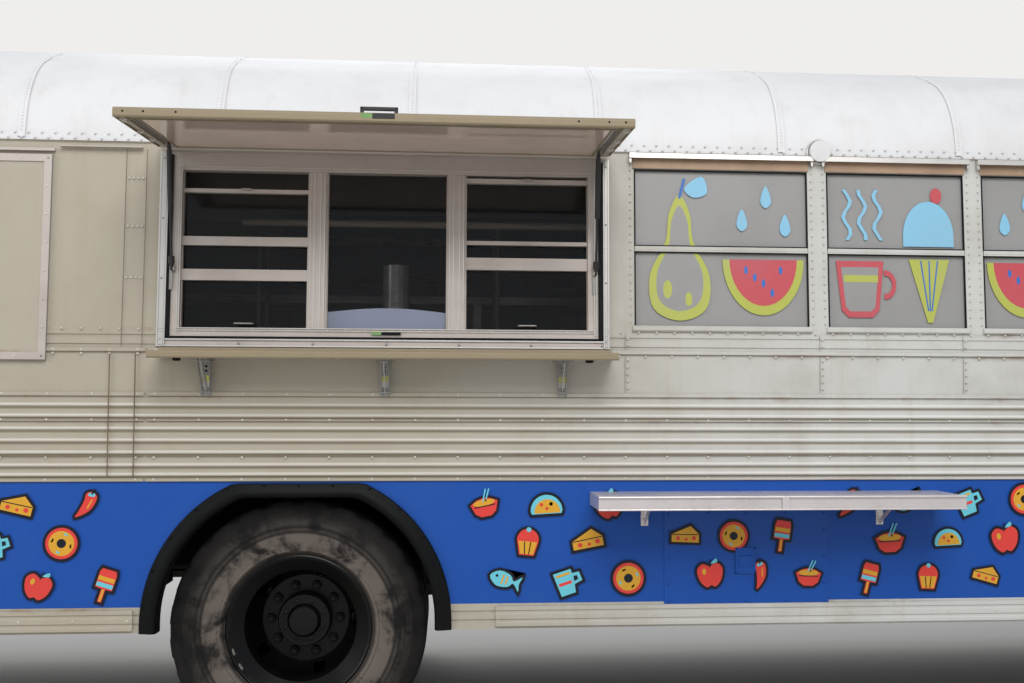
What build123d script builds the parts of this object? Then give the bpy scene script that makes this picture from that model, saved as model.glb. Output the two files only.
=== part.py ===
"""Food truck on a flat-front bus body: separate solids for every real panel and fitting.

Working frame while modelling, in millimetres: X forward from the rear axle, Y to the
left of the vehicle (street side), Z up from the ground. The curb side faces -Y.
Every node is moved at the end so that the origin is the middle of the footprint.
"""
from math import cos, radians, sin, sqrt, tan
import os

from build123d import *

# Driving sizes of the vehicle
wheelbase = 5200
front_overhang = 1980
rear_overhang = 2950
body_width = 2438
wall = 50
skirt_bottom = 513
belt_bottom = 1627
sill_height = 1731
window_top = 2405
header_height = 70
roof_rise = 595
tumblehome_deg = 2.58
roof_corner_radius = 420
shell_skin = 40
cap_depth_rear = 200
cap_depth_front = 480
rear_corner_radius = 160
front_corner_radius = 380
windscreen_rake_deg = 9
rake_start = 1400
brow_lift = 125
brow_setback = 230
fit = 0.3

# Beads pressed out of the side panels, and grooves of the belt and skirt rails, by height
bead_heights = (1136, 1174, 1224, 1272, 1319, 1370, 1413)
bead_width = 20
bead_flat = 6
bead_rise = 6
groove_width = 12
groove_depth = 5
belt_grooves = (1652, 1690)
rail_grooves = (545, 580)

# Floor, cross bearers and step well
floor_top = 1100
floor_thickness = 40
bearer_height = 60
bearer_width = 60
bearer_places = (-2650, -2000, -1350, -700, 700, 1350, 2000, 2650, 3300, 3950)
last_bearer_behind_axle = 650
step_well_floor = 430
step_well_width = 640
step_plate = 12

# Wheels and tyres
tyre_radius = 515
tyre_width = 280
tyre_sides = 40
rim_radius = 290
rim_width = 230
rim_skin = 12
rim_flange = 12
rim_well_depth = 52
rim_well_half = 58
disc_plate = 14
disc_offset = 165
disc_bore = 110
drum_radius = 200
drum_length = 220
twin_spacing = 330
tyre_inset = 40
hub_radius = 105
hub_length = 85
hub_cap_radius = 62
hub_cap_length = 25
hand_holes = 5
hand_hole_radius = 26
hand_hole_circle = 205
disc_flat = 180
spindle_radius = 45
bearing_gap = 0.05
axle_gap = 10

# Wheel arches: a round arch on straight legs, its top cut flat
arch_radius = 556
arch_centre_height = 545
arch_flat = 1050
flare_outer_radius = 614
flare_inner_radius = 546
flare_outer_flat = 1101
flare_inner_flat = 1043
flare_stand = 28

# Chassis
rail_centre = 430
rail_height = 240
rail_width = 76
rail_plate = 9
rail_bottom = 760
member_height = 160
member_plate = 12
middle_members = (-2050, -1200, -350, 450, 1250, 2100, 2950, 3800)
end_member_inset_rear = 90
end_member_inset_front = 120
members_from_front_axle = (-500, 1100)
kingpin_inset = 175
kingpin_radius = 22
axle_beam_height = 110
axle_beam_width = 90
axle_beam_drop = 95
axle_boss = 90
knuckle_ear = 50
axle_tube_radius = 72
banjo_radius = 210
banjo_depth = 150
spring_width = 76
spring_leaf = 14
spring_leaves = 6
front_spring_length = 1400
rear_spring_length = 1500
hanger_length = 80

# Engine block between the rails, under a cover in the cabin
engine_behind_axle = 250
engine_length = 1100
engine_width = 700
engine_bottom = 600
engine_top = 1380
engine_cover_height = 420
cover_clear = 20
cover_plate = 40
shaft_height = 720
shaft_radius = 45
pinion_length = 420
pinion_radius = 90

# Fuel tank and exhaust
tank_rear = 2400
tank_front = 3700
tank_radius = 240
tank_height = 740
tank_clear = 40
muffler_place = 290
muffler_height = 650
muffler_radius = 105
muffler_rear = 900
muffler_length = 1000
pipe_radius = 38

# Side windows, painted over: first and last edge of each
pane_thickness = 8
pane_recess = 12
split_height = 2069
split_bar = 20
curb_windows = ((1359, 2099), (2182, 2782), (2862, 3602), (3682, 4422), (4502, 5242), (-2640, -2000))
street_window_first = -2600
street_window_width = 700
street_window_pitch = 790
street_window_count = 9
driver_window_from_axle = 200
driver_window_width = 700
driver_sill = 1580
infill_panel = (-1860, -993)
infill_bottom = 1591
infill_over_windows = 10
infill_edge = 30
infill_stand = 10

# Service window in the curb wall; mullions by place, sash bars by height and size
service_left = -570
service_right = 1253
service_bottom = 1647
service_under_wall_top = 37
service_flange = 42
flange_stand = 6
service_depth = 56
head_bar = 32
sill_bar = 32
jamb_width = 46
mullion_places = (59, 622)
mullion_width = 78
sash_bars = ((0, 2284, 16), (0, 2088, 16), (0, 1940, 45), (2, 2344, 20), (2, 2085, 16), (2, 1998, 50))
sash_depth = 28
service_glass = 6

# Awning over the service window, hinged at its top edge
awning_length = 745
awning_frame = 27
awning_bar = 40
awning_margin = 4
awning_hinge_lift = 11
awning_hinge_stand = 24
awning_slope_deg = 2.7
awning_pane = 4
hinge_radius = 7
handle_width = 120
handle_height = 28
handle_bar = 6

# Gas struts of the awning
strut_anchor_height = 1960
strut_anchor_stand = 24
strut_reach = 110
strut_side_gap = 14
strut_tube_radius = 11
strut_rod_radius = 5
strut_tube_length = 265
strut_rod_start = 150
strut_neck = 18
strut_bore_gap = 0.05
strut_pin_radius = 4
strut_eye_radius = 9
strut_eye_width = 9
strut_pin_gap = 0.05
strut_stud_length = 5
strut_bracket = 5

# Service shelf on folding brackets
shelf_left = -558
shelf_right = 1261
shelf_top = 1622
shelf_thickness = 24
shelf_depth = 205
bracket_places = (-370, 338, 1057)
bracket_width = 30
bracket_drop = 147
bracket_plate = 5

# Lower stainless shelf
tray_left = 1173
tray_right = 2637
tray_top = 1064
tray_depth = 322
tray_lip = 52
tray_plate = 6
tray_brackets = (1399, 2390)
tray_bracket_drop = 135

# Locker door under the lower shelf
locker_left = 1481
locker_right = 2170
locker_bottom = 597
locker_top = 1000
locker_skin = 4
locker_pan = 40
locker_margin = 25
locker_play = 9

# Entry door: one leaf hinged on its front post
door_from_axle = 670
door_post = 80
door_bottom = 530
door_under_window_top = 25
hinge_clear = 40
door_play = 8
leaf_edge = 60
leaf_rail_height = 1180
leaf_thickness = 40
glass_recess = 16
rear_hinge_half = 440

# Rear door
rear_door_width = 860
rear_door_bottom = 1110
rear_door_under_wall_top = 35
rear_window_places = (560, 960)

# Front
windscreen_bottom = 1520
windscreen_under_wall_top = 35
windscreen_half = 820
windscreen_post = 60
screen_glass = 8
grille_width = 900
grille_bottom = 760
grille_top = 1150
grille_slots = 7
grille_slot_height = 30
headlamp_radius = 95
headlamp_place = 700
headlamp_height = 950
bumper_height = 260
bumper_bottom = 430
bumper_depth = 90
bumper_clear = 40
bumper_width = 2380
bumper_arm = 50
marker_radius = 45
marker_depth = 36
marker_place = 2150
marker_lift = 17
tail_lamp_radius = 70
tail_lamp_places = (820, 1000)
tail_lamp_height = 1300
mirror_width = 180
mirror_height = 400
mirror_low = 1700
mirror_reach = 60
mirror_pipe = 12

# Cabin
seat_from_axle = 700
seat_across = 700
seat_width = 480
seat_pedestal = 300
seat_cushion = 120
seat_back_height = 600
seat_back_thickness = 110
seat_back_rake = 70
dash_from_front = 420
dash_half = 780
dash_top = 1480
steering_rim = 225
steering_tube = 14
bench_rear = -1100
bench_front = 2600
bench_depth = 620
bench_height = 900
hood_rear = -300
hood_front = 1700
hood_depth = 700
hood_height = 350
hood_under_wall_top = 15

half_width = body_width / 2
wall_top = window_top + header_height
crown_height = wall_top + roof_rise
brow_height = wall_top + brow_lift
front_axle = wheelbase
front_end = wheelbase + front_overhang
rear_end = -rear_overhang
wall_front = front_end - cap_depth_front
wall_rear = rear_end + cap_depth_rear
engine_rear = front_axle - engine_behind_axle
engine_front = engine_rear + engine_length
end_members = (rear_end + end_member_inset_rear, front_end - end_member_inset_front)
cross_members = (*end_members, *middle_members, *[front_axle + x for x in members_from_front_axle])
door_left = front_axle + door_from_axle
door_right = wall_front - door_post
door_top = window_top - door_under_window_top
driver_window_rear = front_axle + driver_window_from_axle
driver_window = (driver_window_rear, driver_window_rear + driver_window_width)
seat_place = (front_axle + seat_from_axle, seat_across)
dash_rear = front_end - dash_from_front
infill_top = window_top + infill_over_windows
service_top = wall_top - service_under_wall_top
awning_hinge_height = service_top + awning_hinge_lift
rear_door_top = wall_top - rear_door_under_wall_top
windscreen_top = wall_top - windscreen_under_wall_top
marker_height = wall_top + marker_lift
hood_top = wall_top - hood_under_wall_top
tumble = tan(radians(tumblehome_deg))
axle_height = tyre_radius
wheel_centre = half_width - tyre_inset - tyre_width / 2
kingpin_place = wheel_centre - kingpin_inset
rail_outer = rail_centre + rail_width / 2
rail_inner = rail_centre - rail_width / 2
rail_top = rail_bottom + rail_height
cabin_half = half_width - wall - fit
rear_spring_centre = rail_outer + fit + spring_width / 2


def outer_y(z):
    """Half width of the body at a height: upright to the belt, then leaning in."""
    return half_width - max(0, z - belt_bottom) * tumble


def face_x(z):
    """Place of the front face at a height: upright, then raked back."""
    return front_end - max(0, z - rake_start) * tan(radians(windscreen_rake_deg))


def box(x0, x1, y0, y1, z0, z1):
    """A block between two opposite corners."""
    size = Box(abs(x1 - x0), abs(y1 - y0), abs(z1 - z0))
    return Pos((x0 + x1) / 2, (y0 + y1) / 2, (z0 + z1) / 2) * size


def cylinder_y(x, z, radius, y0, y1):
    """A round bar across the vehicle."""
    return Pos(x, (y0 + y1) / 2, z) * Rot(90, 0, 0) * Cylinder(radius, abs(y1 - y0))


def cylinder_x(y, z, radius, x0, x1):
    """A round bar along the vehicle."""
    return Pos((x0 + x1) / 2, y, z) * Rot(0, 90, 0) * Cylinder(radius, abs(x1 - x0))


def along_x(points, x0, x1):
    """A closed outline of (y, z) points drawn out along X."""
    outline = make_face(Polyline(*[(0, y, z) for y, z in points], close=True))
    return Pos(x0, 0, 0) * extrude(outline, amount=x1 - x0, dir=(1, 0, 0))


def along_y(points, y0, y1):
    """A closed outline of (x, z) points drawn out along Y."""
    outline = make_face(Polyline(*[(x, 0, z) for x, z in points], close=True))
    return Pos(0, y0, 0) * extrude(outline, amount=y1 - y0, dir=(0, 1, 0))


def turned_y(points):
    """A closed outline of (radius, y) points turned about the Y axis."""
    return revolve(make_face(Polyline(*[(r, y, 0) for r, y in points], close=True)), Axis.Y)


def rod_between(start, end, radius):
    """A round rod from one point to another."""
    a, b = Vector(*start), Vector(*end)
    along = b - a
    return Solid.make_cylinder(radius, along.length, Plane(origin=a, z_dir=along.normalized()))


def mirrored(shape):
    """The same piece on the other side of the vehicle."""
    return mirror(shape, about=Plane.XZ)


def joined(pieces):
    """One node from several solids."""
    whole = pieces[0]
    for piece in pieces[1:]:
        whole += piece
    return whole


def leaning(piece, side):
    """Turn a piece drawn upright on the wall line into the leaning plane above the belt."""
    turn = Rot(side * tumblehome_deg, 0, 0)
    return Pos(0, side * half_width, belt_bottom) * turn * Pos(0, -side * half_width, -belt_bottom) * piece


def up_wall(z):
    """Upright height that lands on height z once it leans."""
    return belt_bottom + (z - belt_bottom) / cos(radians(tumblehome_deg))


def wall_profile():
    """Section of the street side wall with its pressed beads and grooves, as (y, z) points."""
    grooves = (*rail_grooves, *belt_grooves)
    pressings = [(height, groove_width, groove_width / 2, -groove_depth) for height in grooves]
    pressings += [(height, bead_width, bead_flat, bead_rise) for height in bead_heights]
    points = [(half_width, skirt_bottom)]
    for height, width, flat, rise in sorted(pressings):
        face = outer_y(height)
        points += [(face, height - width / 2), (face + rise, height - flat / 2),
                   (face + rise, height + flat / 2), (face, height + width / 2)]
    return points + [(outer_y(wall_top), wall_top), (outer_y(wall_top) - wall, wall_top),
                     (half_width - wall, belt_bottom), (half_width - wall, skirt_bottom)]


def body_section(offset, bottom):
    """Closed body section with its three-centred roof arch, moved in by offset."""
    span, rise, corner = outer_y(wall_top), crown_height - wall_top, roof_corner_radius
    corner_y = span - corner
    crown_radius = (corner_y ** 2 + rise ** 2 - corner ** 2) / (2 * (rise - corner))
    lean = Vector(0, corner_y, crown_radius - rise).normalized()
    centre = Vector(0, corner_y, wall_top)
    joint = centre + lean * (corner - offset)
    middle = (Vector(0, 1, 0) + lean).normalized()
    knee = centre + middle * (corner - offset)
    foot = Vector(0, span - offset, wall_top)
    crown = Vector(0, 0, crown_height - offset)
    low = half_width - offset

    def flip(point):
        return Vector(0, -point.Y, point.Z)

    arch = [ThreePointArc(foot, knee, joint), ThreePointArc(joint, crown, flip(joint)),
            ThreePointArc(flip(joint), flip(knee), flip(foot))]
    sides = Polyline(flip(foot), (0, -low, belt_bottom), (0, -low, bottom), (0, low, bottom),
                     (0, low, belt_bottom), foot)
    return make_face([*arch, *sides.edges()])


def plan_block(offset):
    """Plan view of the body with rounded corners, drawn up past the roof."""
    middle = (front_end + rear_end) / 2
    block = Pos(middle, 0, 0) * extrude(
        Rectangle(front_end - rear_end - 2 * offset, body_width - 2 * offset), amount=crown_height + 10)
    rear = [edge for edge in block.edges().filter_by(Axis.Z) if edge.center().X < middle]
    block = fillet(rear, rear_corner_radius - offset)
    front = [edge for edge in block.edges().filter_by(Axis.Z) if edge.center().X > front_end - offset - 1]
    return fillet(front, front_corner_radius - offset)


def rake_block(offset):
    """Side view whose front leans back at the windscreen and more at the brow."""
    top = crown_height + 10
    back = rear_end - 1
    points = [(back, skirt_bottom - 2), (face_x(0) - offset, skirt_bottom - 2), (face_x(0) - offset, rake_start),
              (face_x(brow_height) - offset, brow_height), (face_x(brow_height) - offset - brow_setback, top),
              (back, top)]
    return along_y(points, -half_width - 1, half_width + 1)


def body_form(offset, bottom):
    """Outer or inner form of the whole body."""
    drawn = extrude(body_section(offset, bottom), amount=front_end - rear_end, dir=(1, 0, 0))
    return (Pos(rear_end, 0, 0) * drawn) & plan_block(offset) & rake_block(offset)


def arch_form(axle, radius, flat, y0, y1, low=skirt_bottom - 40):
    """A round arch on straight legs with a flat top, as a solid from y0 to y1."""
    rise = flat - arch_centre_height
    half_flat = sqrt(radius ** 2 - rise ** 2)
    middle = (Vector(1, 0, 0) + Vector(half_flat, 0, rise).normalized()).normalized() * radius

    def at(x, z):
        return Vector(axle + x, 0, z)

    edges = [Line(at(-radius, low), at(-radius, arch_centre_height)),
             ThreePointArc(at(-radius, arch_centre_height), at(-middle.X, arch_centre_height + middle.Z),
                           at(-half_flat, flat)),
             Line(at(-half_flat, flat), at(half_flat, flat)),
             ThreePointArc(at(half_flat, flat), at(middle.X, arch_centre_height + middle.Z),
                           at(radius, arch_centre_height)),
             Line(at(radius, arch_centre_height), at(radius, low)),
             Line(at(radius, low), at(-radius, low))]
    return Pos(0, y0, 0) * extrude(make_face(edges), amount=y1 - y0, dir=(0, 1, 0))


def wall_cut(x0, x1, z0, z1, side):
    """A cutter through one side wall."""
    return box(x0, x1, side * (half_width - wall - 60), side * (half_width + 20), z0, z1)


def street_windows():
    """First and last edge of each painted window on the street side."""
    firsts = [street_window_first + n * street_window_pitch for n in range(street_window_count)]
    return [(first, first + street_window_width) for first in firsts]


def build_walls():
    """Side walls with windows, arches, doors and the service opening cut."""
    street = along_x(wall_profile(), wall_rear + fit, wall_front - fit)
    curb = mirrored(street)
    reach = half_width - wall - 20
    for axle in (0, front_axle):
        street -= arch_form(axle, arch_radius, arch_flat, reach, half_width + 20)
        curb -= arch_form(axle, arch_radius, arch_flat, -half_width - 20, -reach)
    for x0, x1 in street_windows():
        street -= wall_cut(x0, x1, sill_height, window_top, 1)
    street -= wall_cut(*driver_window, driver_sill, window_top, 1)
    for x0, x1 in curb_windows:
        curb -= wall_cut(x0, x1, sill_height, window_top, -1)
    edge = service_flange - locker_play
    curb -= leaning(box(service_left + edge, service_right - edge, -reach, -half_width - 20,
                        up_wall(service_bottom) + edge, up_wall(service_top) - edge), -1)
    curb -= wall_cut(infill_panel[0] + infill_edge, infill_panel[1] - infill_edge,
                     infill_bottom + infill_edge, infill_top - infill_edge, -1)
    curb -= wall_cut(door_left, door_right, skirt_bottom - 10, door_top, -1)
    curb -= box(door_left - hinge_clear, wall_front, -half_width, -half_width - 2 * bead_rise,
                bead_heights[0] - bead_width, bead_heights[-1] + bead_width)
    curb -= wall_cut(locker_left + locker_margin, locker_right - locker_margin,
                     locker_bottom + locker_margin, locker_top - locker_margin / 2, -1)
    return {"street_wall": street, "curb_wall": curb}


def build_shell():
    """Roof and the rear and front caps, cut from one shell."""
    shell = body_form(0, skirt_bottom) - body_form(shell_skin, skirt_bottom - 1)
    far = crown_height + 100
    roof = shell & box(wall_rear + fit, wall_front - fit, -far, far, wall_top + fit, far)
    rear = shell & box(rear_end - 1, wall_rear, -far, far, 0, far)
    through = (rear_end - 10, rear_end + shell_skin + 10)
    rear -= box(*through, -rear_door_width / 2, rear_door_width / 2, rear_door_bottom, rear_door_top)
    rear -= cylinder_x(-muffler_place, muffler_height, pipe_radius + 12, rear_end - 10, rear_end + shell_skin + 10)
    near, away = rear_window_places
    for side in (1, -1):
        rear -= box(*through, side * near, side * away, sill_height, window_top)
    front = shell & box(wall_front, front_end + 1, -far, far, 0, far)
    for side in (1, -1):
        front -= box(wall_front + 60, front_end + 10, side * windscreen_post / 2, side * windscreen_half,
                     windscreen_bottom, windscreen_top)
        front -= cylinder_x(side * headlamp_place, headlamp_height, headlamp_radius + fit,
                            front_end - shell_skin - 10, front_end + 10)
    pitch = (grille_top - grille_bottom) / grille_slots
    for n in range(grille_slots):
        z = grille_bottom + pitch * (n + 0.5)
        front -= box(front_end - shell_skin - 10, front_end + 10, -grille_width / 2, grille_width / 2,
                     z - grille_slot_height / 2, z + grille_slot_height / 2)
    return {"roof": roof, "rear_wall": rear, "front_cap": front}


def build_floor():
    """Floor slab with its cross bearers, open over the step well and the engine."""
    under = floor_top - floor_thickness
    nose = front_end - shell_skin - fit
    straight = front_end - front_corner_radius
    tail = rear_end + rear_corner_radius
    slab = [box(tail, wall_front, -cabin_half, cabin_half, under, floor_top),
            box(rear_end + shell_skin + fit, tail + 1, rear_corner_radius - half_width,
                half_width - rear_corner_radius, under, floor_top),
            box(wall_front - 1, nose, front_corner_radius - half_width, half_width - front_corner_radius,
                under, floor_top)]
    for x in (*bearer_places, front_axle - last_bearer_behind_axle):
        slab.append(box(x - bearer_width / 2, x + bearer_width / 2, -cabin_half, cabin_half,
                        under - bearer_height, under + 1))
    floor = joined(slab)
    inner = step_well_width - cabin_half
    hole = engine_width / 2 + cover_clear
    floor -= box(door_left, door_right, -cabin_half - 1, inner, 0, floor_top + 1)
    floor -= box(engine_rear - cover_clear, engine_front + cover_clear, -hole, hole, 0, floor_top + 1)
    return {"floor": floor}


def build_steps():
    """Entry steps: a folded stair plate between two cheeks that hang from the floor."""
    left, right = door_left + fit, door_right - fit
    inner = step_well_width - cabin_half - fit
    top = floor_top - fit
    rise = (floor_top - step_well_floor) / 3
    tread = (step_well_width - step_plate) / 2
    outline = [(-cabin_half, step_well_floor), (tread - cabin_half, step_well_floor),
               (tread - cabin_half, step_well_floor + rise), (2 * tread - cabin_half, step_well_floor + rise),
               (2 * tread - cabin_half, top), (inner, top),
               (inner, step_well_floor + rise - step_plate),
               (tread - cabin_half + step_plate, step_well_floor + rise - step_plate),
               (tread - cabin_half + step_plate, step_well_floor - step_plate),
               (-cabin_half, step_well_floor - step_plate)]
    steps = along_x(outline, left, right)
    for x in (left, right - step_plate):
        steps += box(x, x + step_plate, -cabin_half, inner, step_well_floor - step_plate, top)
    return {"entry_steps": steps}


def build_engine_cover():
    """Cover beside the driver, over the engine: four walls and a lid that stand on the floor."""
    hole = engine_width / 2 + cover_clear
    wide = hole + cover_plate
    cover = box(engine_rear - cover_clear - cover_plate, engine_front + cover_clear + cover_plate, -wide, wide,
                floor_top + fit, floor_top + engine_cover_height)
    cover -= box(engine_rear - cover_clear, engine_front + cover_clear, -hole, hole,
                 floor_top, floor_top + engine_cover_height - cover_plate)
    return {"engine_cover": cover}


def build_frame():
    """Ladder frame of two channel rails and its cross members."""
    rear, front = rear_end + shell_skin + 20, front_end - shell_skin - 20
    pieces = []
    for side in (1, -1):
        web, lip = side * rail_outer, side * rail_inner
        pieces.append(box(rear, front, web, web - side * rail_plate, rail_bottom, rail_top))
        pieces.append(box(rear, front, web, lip, rail_bottom, rail_bottom + rail_plate))
        pieces.append(box(rear, front, web, lip, rail_top - rail_plate, rail_top))
    middle = (rail_bottom + rail_top) / 2
    for x in cross_members:
        pieces.append(box(x - member_plate / 2, x + member_plate / 2, rail_plate / 2 - rail_outer,
                          rail_outer - rail_plate / 2, middle - member_height / 2, middle + member_height / 2))
    return {"chassis_frame": joined(pieces)}


def spring(axle_x, y, seat, length, top):
    """One leaf spring: a stack of shortening leaves, with a hanger at each end."""
    pieces = []
    for n in range(spring_leaves):
        half = length / 2 * (1 - 0.13 * (spring_leaves - 1 - n))
        low = seat + fit + n * spring_leaf
        pieces.append(box(axle_x - half, axle_x + half, y - spring_width / 2, y + spring_width / 2,
                          low, low + spring_leaf))
    high = seat + fit + spring_leaves * spring_leaf
    for end in (-1, 1):
        x = axle_x + end * (length - hanger_length) / 2
        pieces.append(box(x - hanger_length / 2, x + hanger_length / 2, y - spring_width / 2,
                          y + spring_width / 2, high - 1, top))
    return joined(pieces)


def build_axles():
    """Rear axle with its round centre housing, dropped front axle beam and the leaf springs."""
    tube_end = wheel_centre - disc_offset - drum_length - axle_gap - 2 * disc_plate
    spindle_end = wheel_centre - disc_offset + hub_length - 10
    rear = cylinder_y(0, axle_height, axle_tube_radius, -tube_end, tube_end)
    rear += cylinder_x(0, axle_height, banjo_radius, -banjo_depth / 2, banjo_depth / 2)
    rear += cylinder_x(0, axle_height, pinion_radius, 0, pinion_length)
    rear += cylinder_y(0, axle_height, spindle_radius, -spindle_end, spindle_end)
    for side in (1, -1):
        rear += cylinder_y(0, axle_height, drum_radius, side * (tube_end - disc_plate), side * tube_end)

    low = axle_height - axle_beam_drop
    arm = rail_centre + spring_width
    wide, tall, boss = axle_beam_width / 2, axle_beam_height / 2, axle_boss / 2
    front = box(front_axle - wide, front_axle + wide, -arm, arm, low - tall, low + tall)
    for side in (1, -1):
        front += along_x([(side * (arm - 1), low - tall), (side * (kingpin_place - boss), axle_height - boss),
                          (side * kingpin_place, axle_height - boss), (side * kingpin_place, axle_height + boss),
                          (side * (kingpin_place - boss), axle_height + boss), (side * (arm - 1), low + tall)],
                         front_axle - wide, front_axle + wide)
        pin = Pos(front_axle, side * kingpin_place, axle_height)
        front -= box(front_axle - wide - 1, front_axle + wide + 1, side * kingpin_place,
                     side * (kingpin_place + boss), axle_height - boss - 1, axle_height + boss + 1)
        front += pin * Cylinder(boss, axle_boss)
        front -= pin * Cylinder(kingpin_radius + bearing_gap, axle_boss + 2)

    springs = []
    for side in (1, -1):
        springs.append(spring(0, side * rear_spring_centre, axle_height + axle_tube_radius,
                              rear_spring_length, rail_bottom + rail_height / 2))
        springs.append(spring(front_axle, side * rail_centre, low + tall, front_spring_length, rail_bottom - fit))
    return {"rear_axle": rear, "front_axle": front, "leaf_springs": joined(springs)}


def build_drive():
    """Engine block, propeller shaft, fuel tank and exhaust."""
    parts = {}
    engine = box(engine_rear, engine_front, -engine_width / 2, engine_width / 2, engine_bottom, engine_top)
    middle = (engine_rear + engine_front) / 2
    engine += box(middle - 60, middle + 60, fit - rail_inner, rail_inner - fit, rail_bottom + 20, rail_top - 20)
    parts["engine"] = engine
    slope = (shaft_height - axle_height) / (engine_rear - pinion_length)
    shaft_gap = fit + shaft_radius * slope
    parts["drive_shaft"] = rod_between((pinion_length + shaft_gap, 0, axle_height),
                                       (engine_rear - shaft_gap, 0, shaft_height), shaft_radius)
    centre = rail_outer + tank_clear + tank_radius
    tank = cylinder_x(centre, tank_height, tank_radius, tank_rear, tank_front)
    for x in (tank_rear + 200, tank_front - 200):
        tank += box(x - 30, x + 30, rail_outer + fit, centre, tank_height + tank_radius - 70,
                    tank_height + tank_radius - 30)
    parts["fuel_tank"] = tank
    pipe = cylinder_x(-muffler_place, muffler_height, pipe_radius, rear_end - 15, engine_rear - fit)
    pipe += cylinder_x(-muffler_place, muffler_height, muffler_radius, muffler_rear, muffler_rear + muffler_length)
    for x in (muffler_rear + 80, muffler_rear + muffler_length - 80):
        pipe += box(x - 15, x + 15, -rail_centre, -muffler_place, muffler_height + muffler_radius - 15,
                    rail_bottom - fit)
    parts["exhaust"] = pipe
    return parts


def disc_wheel():
    """One disc wheel on the Y axis at the origin, dished so that its disc lies towards -Y."""
    half, well = rim_width / 2, rim_radius - rim_well_depth
    outer = [(rim_radius, half), (rim_radius, half - rim_flange), (well, rim_well_half),
             (well, -rim_well_half), (rim_radius, rim_flange - half), (rim_radius, -half)]
    ring = turned_y(outer + [(radius - rim_skin, y) for radius, y in reversed(outer)])
    seat, inner = -disc_offset, well - rim_skin + 1
    lift = -rim_well_half + disc_plate
    disc = turned_y([(disc_bore, seat), (disc_bore, seat + disc_plate), (disc_flat, seat + disc_plate),
                     (inner, lift + disc_plate), (inner, lift - disc_plate / 2), (disc_flat + 5, seat)])
    for n in range(hand_holes):
        turn = Rot(0, 360 / hand_holes * (n + 0.5), 0)
        disc -= turn * Pos(hand_hole_circle, seat + 70, 0) * Rot(90, 0, 0) * Cylinder(hand_hole_radius, 160)
    return ring + disc


def ring_y(radius, y):
    """A flat-sided ring outline about the Y axis, with a flat at its foot."""
    turned = RegularPolygon(radius, tyre_sides, major_radius=False, rotation=180 / tyre_sides)
    return Plane(origin=(0, y, 0), x_dir=(1, 0, 0), z_dir=(0, 1, 0)) * turned


def tyre():
    """One tyre on the Y axis at the origin, its round drawn with flat sides."""
    half = tyre_width / 2
    rows = [(rim_radius + 100, half), (tyre_radius - 70, half - 8), (tyre_radius - 18, half - 28),
            (tyre_radius, half - 60)]
    rows += [(radius, -y) for radius, y in reversed(rows)]
    body = loft([ring_y(radius, y) for radius, y in rows], ruled=True)
    for side in (1, -1):
        dish = [ring_y(rim_radius + 100, side * half), ring_y(rim_radius + fit, side * (rim_width / 2 + fit))]
        body -= loft(dish, ruled=True)
    bore = ring_y(rim_radius + fit, -half)
    return body - extrude(bore, amount=tyre_width, dir=(0, 1, 0))


def build_wheels():
    """Twin rear wheels, front wheels and the knuckles that carry these."""
    parts = {}
    for side, name in ((1, "street"), (-1, "curb")):
        dish_in = Rot(0, 0, 0 if side > 0 else 180)
        dish_out = Rot(0, 0, 180 if side > 0 else 0)
        outer = Pos(0, side * wheel_centre, axle_height)
        inner = Pos(0, side * (wheel_centre - twin_spacing), axle_height)
        front = Pos(front_axle, side * wheel_centre, axle_height)

        mate = wheel_centre - twin_spacing / 2
        drum_end = mate - disc_plate
        pieces = [outer * dish_in * disc_wheel(), inner * dish_out * disc_wheel(),
                  cylinder_y(0, axle_height, drum_radius, side * (drum_end - drum_length), side * drum_end),
                  cylinder_y(0, axle_height, hub_radius, side * (drum_end - 1), side * (mate + hub_length)),
                  cylinder_y(0, axle_height, hub_cap_radius, side * (mate + hub_length - 1),
                             side * (mate + hub_length + hub_cap_length))]
        bore = cylinder_y(0, axle_height, spindle_radius + bearing_gap, side * (drum_end - drum_length - 1),
                          side * (mate + hub_length))
        parts[f"rear_wheels_{name}"] = joined(pieces) - bore
        parts[f"rear_tyres_{name}"] = joined([outer * tyre(), inner * tyre()])

        seat = wheel_centre + disc_offset - disc_plate
        drum_start = kingpin_place + 82
        pieces = [front * dish_out * disc_wheel(),
                  cylinder_y(front_axle, axle_height, drum_radius, side * drum_start, side * (drum_start + 150)),
                  cylinder_y(front_axle, axle_height, hub_radius + 60, side * (drum_start + 149), side * seat),
                  cylinder_y(front_axle, axle_height, hub_radius - 20, side * (seat - 1), side * (seat + 50))]
        bore = cylinder_y(front_axle, axle_height, spindle_radius + bearing_gap, side * (drum_start - 1),
                          side * (seat + 20))
        parts[f"front_wheel_{name}"] = joined(pieces) - bore
        parts[f"front_tyre_{name}"] = front * tyre()

        ear_low = axle_boss / 2 + 5
        knuckle = [Pos(front_axle, side * kingpin_place, axle_height) * Cylinder(kingpin_radius, 2 * ear_low + 60)]
        for way in (-1, 1):
            z0, z1 = axle_height + way * ear_low, axle_height + way * (ear_low + knuckle_ear)
            knuckle.append(box(front_axle - 38, front_axle + 38, side * (kingpin_place - 30),
                               side * (kingpin_place + 70), z0, z1))
        knuckle.append(box(front_axle - 45, front_axle + 45, side * (kingpin_place + 52),
                           side * (kingpin_place + 70), axle_height - 100, axle_height + 100))
        knuckle.append(cylinder_y(front_axle, axle_height, spindle_radius, side * (kingpin_place + 60),
                                  side * (seat + 10)))
        knuckle.append(box(front_axle - 190, front_axle - 30, side * (kingpin_place - 25),
                           side * (kingpin_place + 15), axle_height - 95, axle_height - 65))
        parts[f"knuckle_{name}"] = joined(knuckle)
    return parts


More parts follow.
